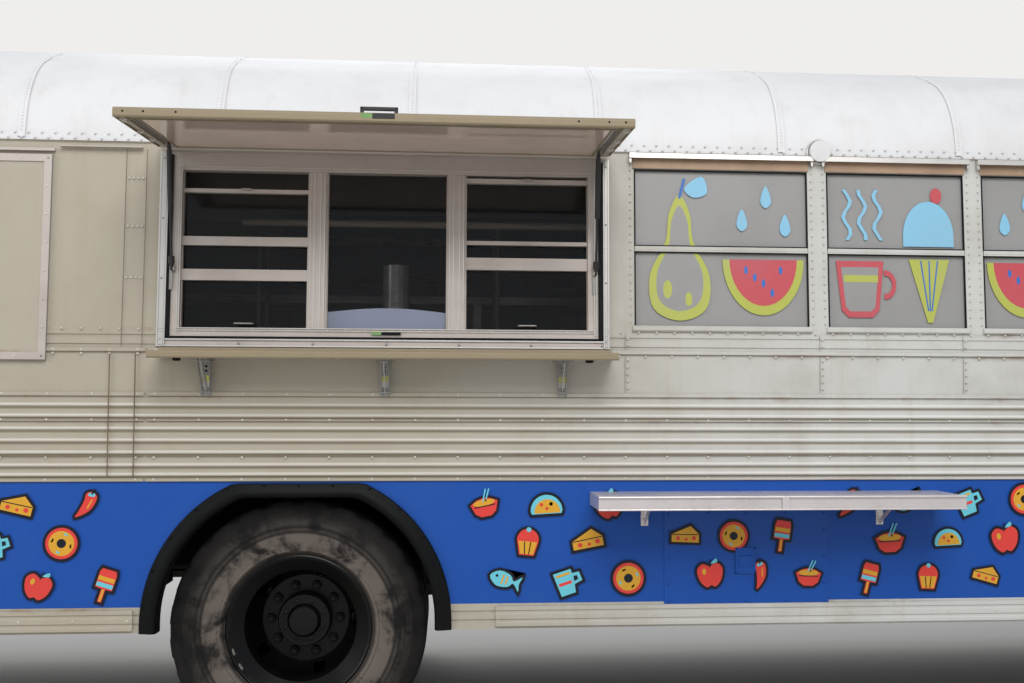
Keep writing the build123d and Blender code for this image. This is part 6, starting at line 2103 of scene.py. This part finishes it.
@dataclass
class RearEnd:
    """Rear face: door fittings, window rubber, lamps and a blank plate."""

    face: float = REAR_END
    door: tuple[float, float, float] = (0.422, 1.118, 2.432)
    windows: Flat = (0.560, 0.960)
    lamps: tuple[Flat, ...] = ((0.820, 1.300), (1.000, 1.300))

    def build(self) -> None:
        """Make the pieces and dress the CAD nodes of the rear."""
        Surface.BODY.dress("rear_wall", "rear_door")
        self.door_trim()
        self.window_trim()
        self.lamp_trim()

    def door_trim(self) -> None:
        """Handle on its plate, a steel sheet low on the door, the door's edge rubber and its screws."""
        trim, dark, heads = forms(3)
        half, low, high = self.door
        y, z = half - 0.070, 1.62
        trim.prism(moved(rounded(0.060, 0.180, 0.012), y, z), 0, self.face - 0.006, self.face - 0.0002)
        trim.tube([(self.face - 0.004, y, z + 0.03), (self.face - 0.050, y, z + 0.03),
                   (self.face - 0.056, y - 0.01, z + 0.03),
                   (self.face - 0.056, y - 0.130, z + 0.028)], 0.009, 12)
        trim.block((self.face - 0.0022, -half + 0.02, low + 0.03),
                   (self.face - 0.0002, half - 0.02, low + 0.36))
        for a, b in ((-half + 0.004, -half + 0.012), (half - 0.012, half - 0.004)):
            dark.block((self.face - 0.002, a, low + 0.004), (self.face - 0.0002, b, high - 0.004))
        for z1 in (low + 0.008, high - 0.008):
            dark.block((self.face - 0.002, -half + 0.004, z1 - 0.004),
                       (self.face - 0.0002, half - 0.004, z1 + 0.004))
        for z1 in spaced(low + 0.05, high - 0.05, 0.15):
            for y1 in (-half + 0.030, half - 0.026):
                heads.dome((self.face - 0.0002, y1, z1), 0, 0.0052, -0.0026)
        trim.piece("rear_door_fittings", Surface.STEEL, "rear_door", edge=0.001)
        dark.piece("rear_door_seal", Surface.GASKET, "rear_door")
        heads.piece("rear_door_screws", Surface.RIVET, "rear_door", smooth=60.0)

    def window_trim(self) -> None:
        """Rubber round the two rear windows, the side seams and the rivets of the rear panel."""
        rubber, heads, band = forms(3)
        near, away = self.windows
        for side in (1, -1):
            y0, y1 = sorted((side * near, side * away))
            for a, b, z0, z1 in ((y0 - 0.012, y0 + 0.010, SILL - 0.012, WINDOW_TOP + 0.012),
                                 (y1 - 0.010, y1 + 0.012, SILL - 0.012, WINDOW_TOP + 0.012),
                                 (y0, y1, SILL - 0.012, SILL + 0.010),
                                 (y0, y1, WINDOW_TOP - 0.010, WINDOW_TOP + 0.012)):
                rubber.block((self.face - 0.006, a, z0), (self.face + 0.012, b, z1))
            edge, inner = side * 1.050, side * (self.door[0] + 0.060)
            for z in (1.640, 1.450, 0.700):
                y2, y3 = sorted((edge, inner))
                band.block((self.face - 0.0016, y2, z), (self.face + 0.0005, y3, z + 0.016))
                for y in spaced(y2 + 0.02, y3 - 0.02, 0.11):
                    heads.dome((self.face - 0.0016, y, z + 0.008), 0, 0.0052, -0.0026)
        rubber.piece("rear_window_rubber", Surface.GASKET, edge=0.003)
        band.piece("rear_laps", Surface.BODY, edge=0.0006)
        heads.piece("rear_rivets", Surface.RIVET, smooth=60.0)

    def lamp_trim(self) -> None:
        """Rings and domes of the tail lamps, clearance lamps and the blank plate."""
        ring, red, amber, plate = forms(4)
        for y, z in self.lamps:
            for side in (1, -1):
                centre = (self.face - 0.020, side * y, z)
                ring.lathe([(0.0700, 0.004), (0.0700, -0.004), (0.076, -0.008), (0.084, -0.003),
                            (0.086, 0.0185), (0.0702, 0.0185)], centre, 0, 36, closed=True)
                dome = red if y > 0.9 else amber
                dome.lathe([(0.067, -0.0003), (0.064, -0.006), (0.045, -0.012), (0.004, -0.015)], centre, 0,
                           36)
        for y in (-0.70, -0.35, 0.0, 0.35, 0.70):
            red.prism(moved(rounded(0.090, 0.034, 0.014), y, 2.560), 0, self.face - 0.024, self.face + 0.004)
        plate.block((self.face - 0.0020, 0.560, 1.020), (self.face - 0.0004, 0.870, 1.170))
        ring.piece("tail_lamp_rings", Surface.ALUMINIUM_BRIGHT, smooth=45.0)
        red.piece("tail_lamp_domes", Surface.LENS_RED, smooth=50.0)
        amber.piece("turn_lamp_domes", Surface.LENS_AMBER, smooth=50.0)
        plate.piece("rear_plate", Surface.LABEL_WHITE, edge=0.001, slot="bumper_paint")


@dataclass
class EntryDoor:
    """Entry door of the curb side: glazing rubber, grab handle with its two plates, and hinge screws."""

    left: float = 5.878
    right: float = 6.612
    bottom: float = 0.530
    top: float = 2.372
    edge: float = 0.060
    rail: float = 1.180
    body: str = "entry_door"

    def build(self) -> None:
        """Make the pieces and dress the leaf."""
        Surface.BODY.dress("entry_door")
        Surface.CAB_GLASS.dress("entry_glass")
        place = SITE.wall(-1)
        rubber, steel, heads = forms(3, place)
        x0, x1 = self.left + self.edge, self.right - self.edge
        for z0, z1 in ((self.bottom + self.edge, self.rail), (self.rail + self.edge, self.top - self.edge)):
            stops = [z0, *([BELT] if z0 < BELT < z1 else []), z1]
            for low, high in zip(stops, stops[1:]):
                for a, b in ((x0 - 0.010, x0 + 0.010), (x1 - 0.010, x1 + 0.010)):
                    rubber.block((a, -0.012, low), (b, 0.004, high))
            for z in (z0, z1):
                rubber.block((x0 - 0.010, -0.012, z - 0.010), (x1 + 0.010, 0.004, z + 0.010))
        x = self.left + 0.030
        steel.tube([(x, 0.0, 1.330), (x, 0.040, 1.330), (x, 0.048, 1.345), (x, 0.048, 1.590),
                    (x, 0.040, 1.605), (x, 0.0, 1.605)], 0.0095, 12)
        steel.block((x - 0.018, 0.0003, 1.305), (x + 0.018, 0.003, 1.355))
        steel.block((x - 0.018, 0.0003, 1.580), (x + 0.018, 0.003, 1.622))
        for z in spaced(self.bottom + 0.04, self.top - 0.03, 0.155):
            for a in (self.left + 0.014, self.right - 0.012):
                heads.dome((a, 0.0, z), 1, 0.0050, 0.0024)
        rubber.piece("entry_door_rubber", Surface.GASKET, self.body, edge=0.002)
        steel.piece("entry_door_handle", Surface.STEEL, self.body)
        heads.piece("entry_door_screws", Surface.RIVET, self.body, smooth=60.0)


@dataclass
class Mirrors:
    """Silvered faces and the shell edges of the two mirrors."""

    rear: float = 6.760
    near: float = 1.279
    away: float = 1.459
    low: float = 1.700
    high: float = 2.100

    def build(self) -> None:
        """Make the glass faces and dress the shells."""
        Surface.PLASTIC.dress("mirrors")
        glass, rim, dome = forms(3)
        middle, width, height = (self.near + self.away) / 2, self.away - self.near, self.high - self.low
        for side in (1, -1):
            centre = (side * middle, (self.low + self.high) / 2)
            glass.prism(moved(rounded(width - 0.016, height - 0.016, 0.014), *centre), 0, self.rear - 0.0024,
                        self.rear - 0.0003)
            rim.prism(moved(rounded(width + 0.006, height + 0.006, 0.022), *centre), 0, self.rear + 0.006,
                      self.rear + 0.050)
            dome.lathe([(0.032, -0.0024), (0.031, -0.0034), (0.018, -0.0075), (0.003, -0.0090)],
                       (self.rear, side * (middle + 0.040), self.low + 0.055), 0, 24)
        glass.piece("mirror_glass", Surface.MIRROR)
        rim.piece("mirror_shells", Surface.PLASTIC, edge=0.006)
        dome.piece("mirror_spots", Surface.MIRROR, smooth=60.0)


@dataclass
class DriverSeat:
    """Driver's seat: a steel pedestal, a foam cushion and a foam back with piped seams.

    Args:
        centre: middle of the seat, along and across the vehicle.
        floor: height of the floor.
    """

    centre: Flat = (5.900, 0.700)
    floor: float = 1.100
    pedestal: float = 0.300
    thick: float = 0.120
    half: float = 0.240
    back_height: float = 0.600
    rake: float = 0.070

    def build(self) -> None:
        """Make the three pieces and their piping in place of the CAD node."""
        x, y = self.centre
        low, high = self.floor + self.pedestal, self.floor + self.pedestal + self.thick
        stand, piping = forms(2)
        stand.block((x - 0.150, y - 0.130, self.floor + 0.0004), (x + 0.150, y + 0.130, self.floor + 0.030))
        for n in range(5):
            z = self.floor + 0.040 + n * 0.045
            inset = 0.012 if n % 2 else 0.0
            stand.prism(moved(rounded(0.270 - inset, 0.230 - inset, 0.03), x, y), 2, z, z + 0.044)
        stand.block((x - 0.150, y - 0.130, low - 0.018), (x + 0.150, y + 0.130, low - 0.002))
        pedestal = stand.piece("seat_pedestal", Surface.PLASTIC, edge=0.003)
        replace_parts(pedestal, "driver_seat")
        cushion = self.pad("seat_cushion", (x + 0.010, y, (low + high) / 2),
                           (0.500, 0.476, self.thick - 0.004), 0.0)
        back_middle = (x - self.half + 0.055 - self.rake / 2, y, high + self.back_height / 2 - 0.010)
        back = self.pad("seat_back", back_middle, (0.100, 0.472, self.back_height - 0.010),
                        -atan(self.rake / self.back_height))
        half = self.half - 0.020
        for z in (low + 0.016, high - 0.014):
            outline = moved(rounded(0.488, 2 * half + 0.016, 0.05, 5), x + 0.010, y)
            piping.tube([(a, b, z) for a, b in outline] + [(outline[0][0], outline[0][1], z)], 0.0032, 6)
        piping.piece("seat_piping", Surface.SEAT, smooth=60.0)

    def pad(self, name: str, middle: Point, size: Point, lean: float) -> bpy.types.Object:
        """Make one stuffed pad: a finely divided block whose faces swell, with stitched channels.

        Args:
            name: the piece's name.
            middle: its centre.
            size: its length along the vehicle, its width and its height.
            lean: how far it leans back, in radians.

        Returns:
            The pad.
        """
        steps = 22
        count = steps + 1
        flat_axis = size.index(min(size))
        others = [n for n in range(3) if n != flat_axis]
        form = Form()
        for sign in (-1, 1):
            points = []
            for a in range(steps + 1):
                for b in range(steps + 1):
                    u, v = -1 + 2 * a / steps, -1 + 2 * b / steps
                    swell = (1 - abs(u) ** 5) * (1 - abs(v) ** 5)
                    seam = min(1.0, abs(abs(v) - 0.34) / 0.09, abs(abs(u) - 0.62) / 0.09)
                    depth = 0.62 + 0.38 * swell * (0.80 + 0.20 * seam)
                    pull = 1.0 - 0.05 * (u * u * v * v)
                    spot = [0.0, 0.0, 0.0]
                    spot[others[0]] = u * size[others[0]] / 2 * pull
                    spot[others[1]] = v * size[others[1]] / 2 * pull
                    spot[flat_axis] = sign * size[flat_axis] / 2 * depth
                    points.append(self.leant(spot, middle, lean))
            form.mesh(points, [(a * count + b, a * count + b + 1, (a + 1) * count + b + 1,
                                (a + 1) * count + b)
                               for a in range(steps) for b in range(steps)])
        half = count * count
        edge = ([b for b in range(steps)] + [a * count + steps for a in range(steps)]
                + [steps * count + b for b in range(steps, 0, -1)] + [a * count for a in range(steps, 0, -1)])
        form.faces += [(edge[n], edge[(n + 1) % len(edge)], half + edge[(n + 1) % len(edge)], half + edge[n])
                       for n in range(len(edge))]
        pad = form.piece(name, Surface.SEAT, smooth=60.0)
        rounding = pad.modifiers.new("rounding", "SUBSURF")
        rounding.levels = rounding.render_levels = 1
        return pad

    def leant(self, spot: Sequence[float], middle: Point, lean: float) -> Point:
        """Lean a point of a pad back about its middle and put it in place."""
        x, y, z = spot
        return (middle[0] + x * cos(lean) + z * sin(lean), middle[1] + y,
                middle[2] - x * sin(lean) + z * cos(lean))


@dataclass
class Cab:
    """Dash clocks, switches and their panel, and the finishes of the cab."""

    rear: float = 6.760
    top: float = 1.480

    def build(self) -> None:
        """Dress the dash and add what stands on its rear face."""
        Surface.PLASTIC.dress("dash")
        Surface.FLOOR.dress("engine_cover")
        panel, dials, switches = forms(3)
        hit = skin_hit("dash", SITE.at(self.rear - 0.4, 0.700, self.top - 0.105),
                       Vector((1, 0, 0))).x - SITE.axle
        panel.prism(moved(rounded(0.420, 0.150, 0.030), 0.700, self.top - 0.105), 0, hit - 0.012, hit + 0.010)
        for y in (0.600, 0.700, 0.800):
            dials.lathe([(0.038, -0.012), (0.042, -0.016), (0.042, -0.022), (0.037, -0.022), (0.036, -0.0135),
                         (0.002, -0.0135)], (hit, y, self.top - 0.105), 0, 28)
        for y in spaced(-0.300, 0.360, 0.075):
            switches.prism(moved(rounded(0.030, 0.044, 0.006), y, self.top - 0.105), 0, hit - 0.008,
                           hit + 0.004)
        panel.piece("dash_panel", Surface.CHARCOAL, edge=0.003)
        dials.piece("dash_dials", Surface.ALUMINIUM, smooth=40.0)
        switches.piece("dash_switches", Surface.GASKET, edge=0.002)


@dataclass
class Kitchen:
    """Kitchen inside: finishes, a griddle, a tap, shelves, a screen on the counter, a conduit, a duct and
    wire racks.
    """

    floor: float = 1.100
    bench_height: float = 0.900
    # first and last upright of the wire rack, its depth across the vehicle and its shelves' heights
    rack: Flat = (-0.36, 0.84)
    rack_depth: Flat = (0.10, 0.42)
    rack_levels: tuple[float, ...] = (1.78, 2.02, 2.26)
    # ends, foot and top of the screen on the counter, and how far its top edge bows up
    screen: Flat = (0.100, 0.583)
    screen_levels: Flat = (1.724, 1.795)
    screen_bow: float = 0.018
    shelf_height: float = 2.118

    def build(self) -> None:
        """Make the fittings that show through the service window."""
        Surface.STEEL.dress("kitchen_bench")
        Surface.CHARCOAL.dress("kitchen_hood")
        Surface.FLOOR.dress("floor", "entry_steps")
        top = self.floor + self.bench_height
        back = SITE.skin(top) - 0.062
        griddle, steel, wires, pipe, duct = forms(5)
        sheet = Form(SITE.wall(-1))
        griddle.block((0.20, back - 0.560, top + 0.0003), (1.00, back - 0.060, top + 0.150))
        griddle.block((0.22, back - 0.545, top + 0.150), (0.98, back - 0.075, top + 0.170))
        for n in range(4):
            griddle.lathe([(0.020, 0.0), (0.022, -0.012), (0.018, -0.030), (0.004, -0.032)],
                          (0.32 + 0.18 * n, back - 0.560, top + 0.070), 1, 16)
        steel.block((1.30, back - 0.520, top + 0.0003), (1.92, back - 0.050, top + 0.012))
        steel.tube([(1.61, back - 0.060, top), (1.61, back - 0.060, top + 0.230),
                    (1.61, back - 0.090, top + 0.275),
                    (1.61, back - 0.180, top + 0.280), (1.61, back - 0.215, top + 0.245)], 0.012, 10)
        for n in range(5):
            x = -0.20 + 0.37 * n
            steel.block((x, back - 0.640, self.shelf_height), (x + 0.34, back - 0.100, 2.124))
        wall = SITE.skin(1.75) - 0.075
        (start, end), (foot, head) = self.screen, self.screen_levels
        edge = [(end - 0.0483 * k, head + self.screen_bow * sin(pi * k / 10)) for k in range(11)]
        flat(sheet, [(start, foot), (end, foot), *edge], -0.0460, -0.0400)
        pipe.tube([(-0.30, -wall + 0.32, 2.205), (1.32, -wall + 0.32, 2.205)], 0.016, 12)
        duct.tube([(0.36, -wall + 0.40, self.floor + 0.0004), (0.36, -wall + 0.40, 2.03)], 0.058, 24)
        (x0, x1), (y0, y1) = self.rack, self.rack_depth
        for z in self.rack_levels:
            for y in spaced(y0, y1, 0.04):
                wires.tube([(x0, y, z), (x1, y, z)], 0.0028, 5)
            for x in spaced(x0, x1, 0.30):
                wires.tube([(x, y0, z - 0.004), (x, y1, z - 0.004)], 0.0036, 5)
        for x in self.rack:
            for y in self.rack_depth:
                wires.tube([(x, y, self.floor + 0.0004), (x, y, 2.32)], 0.0125, 10)
        griddle.piece("griddle", Surface.CHARCOAL, edge=0.004)
        steel.piece("kitchen_fittings", Surface.STEEL, edge=0.001, slot="kitchen_steel")
        sheet.piece("counter_screen", Surface.SLATE)
        pipe.piece("kitchen_conduit", Surface.BUFF, smooth=60.0)
        duct.piece("kitchen_duct", Surface.STEEL, slot="kitchen_steel", smooth=60.0)
        wires.piece("wire_rack", Surface.ZINC, slot="kitchen_steel", smooth=60.0)


@dataclass
class Underbody:
    """Finishes of what is under the floor, and its bolts, straps and wheel house liners."""

    # distance from the middle, thickness and half length of a wheel house's inner plate
    liner: tuple[float, float, float] = (0.556, 0.003, 0.625)
    house_out: float = 1.160
    house_low: float = 0.630
    house_top: float = 1.055
    plate_low: float = 0.715
    # distance of the springs from the middle, at the rear axle and at the front axle
    springs: Flat = (0.507, 0.430)

    def build(self) -> None:
        """Dress the nodes and add the small parts."""
        Surface.CHASSIS.dress("chassis_frame", "rear_axle", "front_axle", "leaf_springs", "drive_shaft",
                              "fuel_tank")
        Surface.CASTING.dress("engine", "exhaust")
        self.tank_straps()
        self.spring_bolts()
        self.liners()

    def liners(self) -> None:
        """Dark inner plates and ends of the two rear wheel houses."""
        plates = Form()
        y, thick, half = self.liner
        for side in (1, -1):
            near, away = sorted((side * y, side * (y + thick)))
            plates.block((-half, near, self.plate_low), (half, away, self.house_top))
            near, away = sorted((side * y, side * self.house_out))
            for x in (-half, half - thick):
                plates.block((x, near, self.house_low), (x + thick, away, self.house_top))
        plates.piece("wheel_house_liners", Surface.GASKET, slot="chassis_paint")

    def tank_straps(self) -> None:
        """Two straps round the fuel tank, and its filler neck."""
        low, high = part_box("fuel_tank")
        centre = (low + high) / 2
        radius = (high.z - low.z) / 2
        straps = Form()
        for share in (0.22, 0.78):
            x = low.x + (high.x - low.x) * share - SITE.axle
            straps.lathe([(radius - 0.002, -0.025), (radius + 0.003, -0.025), (radius + 0.003, 0.025),
                          (radius - 0.002, 0.025)], (x, centre.y - SITE.middle, centre.z), 0, 48, closed=True)
        straps.piece("tank_straps", Surface.ZINC, slot="chassis_paint", edge=0.001)

    def spring_bolts(self) -> None:
        """U bolts with their nuts over the springs, at the four axle seats."""
        bolts = Form()
        for axle, node, off in ((0.0, "rear_axle", self.springs[0]),
                                (WHEELBASE, "front_axle", self.springs[1])):
            for side in (1, -1):
                y = side * off
                for x in (-0.062, 0.062):
                    foot = self.under(node, axle + x, y)
                    for z in (foot - 0.004, foot - 0.018):
                        bolts.lathe([(0.017, 0.0), (0.017, 0.012)], (axle + x, y, z), 2, 6)
        bolts.piece("spring_bolts", Surface.ZINC, slot="chassis_paint", smooth=30.0)

    def under(self, node: str, x: float, y: float) -> float:
        """Give the height of the lowest surface of a node at a place."""
        found, spot, _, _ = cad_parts[node].ray_cast(SITE.at(x, y, 0.0), Vector((0, 0, 1)))
        return spot.z if found else AXLE_HEIGHT - 0.08


@dataclass(frozen=True)
class Studio:
    """Pale floor, soft lights, an even background and the camera of the photograph.

    Args:
        eye: place of the camera.
        yaw: turn towards the front of the vehicle, in degrees.
        pitch: tilt upwards, in degrees.
        roll: turn about the view's own line, in degrees.
        lens: focal length in millimetres on a 36 mm wide sensor.
        shift: how far the picture is shifted on the sensor.
        background: sRGB code of what the camera sees behind the vehicle.
    """

    eye: Point = (0.589, -6.537, 1.427)
    yaw: float = 5.38
    pitch: float = 2.85
    roll: float = -0.17
    lens: float = 45.7
    shift: Flat = (-0.0566, -0.0034)
    background: str = "#efeeec"
    ambient: float = 0.70
    key: float = 880.0
    fill: float = 260.0

    def build(self) -> None:
        """Make the floor, the world, the lights and the camera."""
        self.floor()
        self.world()
        self.light("key_light", (1.5, -10.0, 8.6), (0.5, 0.0, 1.2), 6.0, self.key)
        self.light("fill_light", (-9.0, -7.0, 4.5), (0.0, 0.0, 1.5), 6.0, self.fill)
        self.light("rear_light", (0.0, 9.0, 8.0), (0.0, 0.0, 1.5), 8.0, self.key * 0.5)
        self.camera()

    def floor(self) -> None:
        """Plain pale floor."""
        half = 60.0
        data = bpy.data.meshes.new("studio_floor")
        points = [SITE.at(x, y, 0.0) for x, y in ((-half, -half), (half, -half), (half, half), (-half, half))]
        data.from_pydata(points, [], [(0, 1, 2, 3)])
        floor = bpy.data.objects.new("studio_floor", data)
        bpy.context.scene.collection.objects.link(floor)
        material = bpy.data.materials.new("pale studio floor")
        material.use_nodes = True
        shader = material.node_tree.nodes["Principled BSDF"]
        shader.inputs["Base Color"].default_value = linear("#c9c6c0")
        shader.inputs["Roughness"].default_value = 0.85
        data.materials.append(material)

    def world(self) -> None:
        """Even light from all round, and a paler background for the camera alone."""
        world = bpy.data.worlds.new("studio")
        bpy.context.scene.world = world
        world.use_nodes = True
        tree = world.node_tree
        tree.nodes.clear()
        path = add(tree, "LightPath")
        around = add(tree, "Background", None, {"Color": linear("#e6ecf4"), "Strength": self.ambient})
        behind = add(tree, "Background", None, {"Color": linear(self.background), "Strength": 1.0})
        mixed = add(tree, "MixShader", None, {0: path.outputs["Is Camera Ray"], 1: around.outputs[0],
                                              2: behind.outputs[0]})
        out = add(tree, "OutputWorld")
        tree.links.new(mixed.outputs[0], out.inputs["Surface"])

    def light(self, name: str, place: Point, target: Point, size: float, watts: float) -> None:
        """Add a square soft light that faces a target."""
        data = bpy.data.lights.new(name, "AREA")
        data.shape = "SQUARE"
        data.size = size
        data.energy = watts
        lamp = bpy.data.objects.new(name, data)
        start, aim = SITE.at(*place), SITE.at(*target)
        lamp.location = start
        lamp.rotation_mode = "QUATERNION"
        lamp.rotation_quaternion = (aim - start).to_track_quat("-Z", "Y")
        bpy.context.scene.collection.objects.link(lamp)

    def camera(self) -> None:
        """Camera of the photograph."""
        data = bpy.data.cameras.new("photo_camera")
        data.sensor_width = 36.0
        data.lens = self.lens
        data.shift_x, data.shift_y = self.shift
        data.clip_end = 200.0
        yaw, pitch = radians(self.yaw), radians(self.pitch)
        ahead = Vector((sin(yaw) * cos(pitch), cos(yaw) * cos(pitch), sin(pitch)))
        camera = bpy.data.objects.new("photo_camera", data)
        camera.location = SITE.at(*self.eye)
        camera.rotation_mode = "QUATERNION"
        camera.rotation_quaternion = (Quaternion(ahead, radians(self.roll)) @ ahead.to_track_quat("-Z", "Y"))
        bpy.context.scene.collection.objects.link(camera)
        bpy.context.scene.camera = camera


def main() -> None:
    """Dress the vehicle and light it."""
    logging.basicConfig(level=logging.INFO, format="%(message)s")
    scene = bpy.context.scene
    scene.view_settings.view_transform = "Standard"
    Surface.BODY.dress("curb_wall", "street_wall")
    Surface.ROOF.dress("roof")
    Surface.PANE.dress("side_panels")
    Surface.ALUMINIUM.dress("awning_fixings")
    parts = [
        WallTrim(-1, ((-2.745, -0.610), (-0.600, 5.820))), WallTrim(1, ((-2.745, 6.690),)),
        WindowTrim(-1, CURB_WINDOWS), WindowTrim(1, STREET_WINDOWS),
        RoofTrim(), ServiceWindow(), Awning(), Shelves(), Locker(), Flares(), Wheels(), InfillPanel(),
        BandArt(-1, ((-2.70, -0.66), (0.66, 4.54)), (((1.481, 2.170), "locker_door", 0.0043),)),
        BandArt(1, ((-2.70, -0.66), (0.66, 4.54), (5.86, 6.62)), seed=23),
        WindowArt(-1, CURB_WINDOWS[:5]), WindowArt(1, STREET_WINDOWS),
        FrontEnd(), RearEnd(), EntryDoor(), Mirrors(), DriverSeat(), Cab(), Kitchen(), Underbody(),
    ]
    for part in parts:
        part.build()
        log.info("built %s", type(part).__name__)
    Studio().build()


if __name__ == "__main__":
    main()
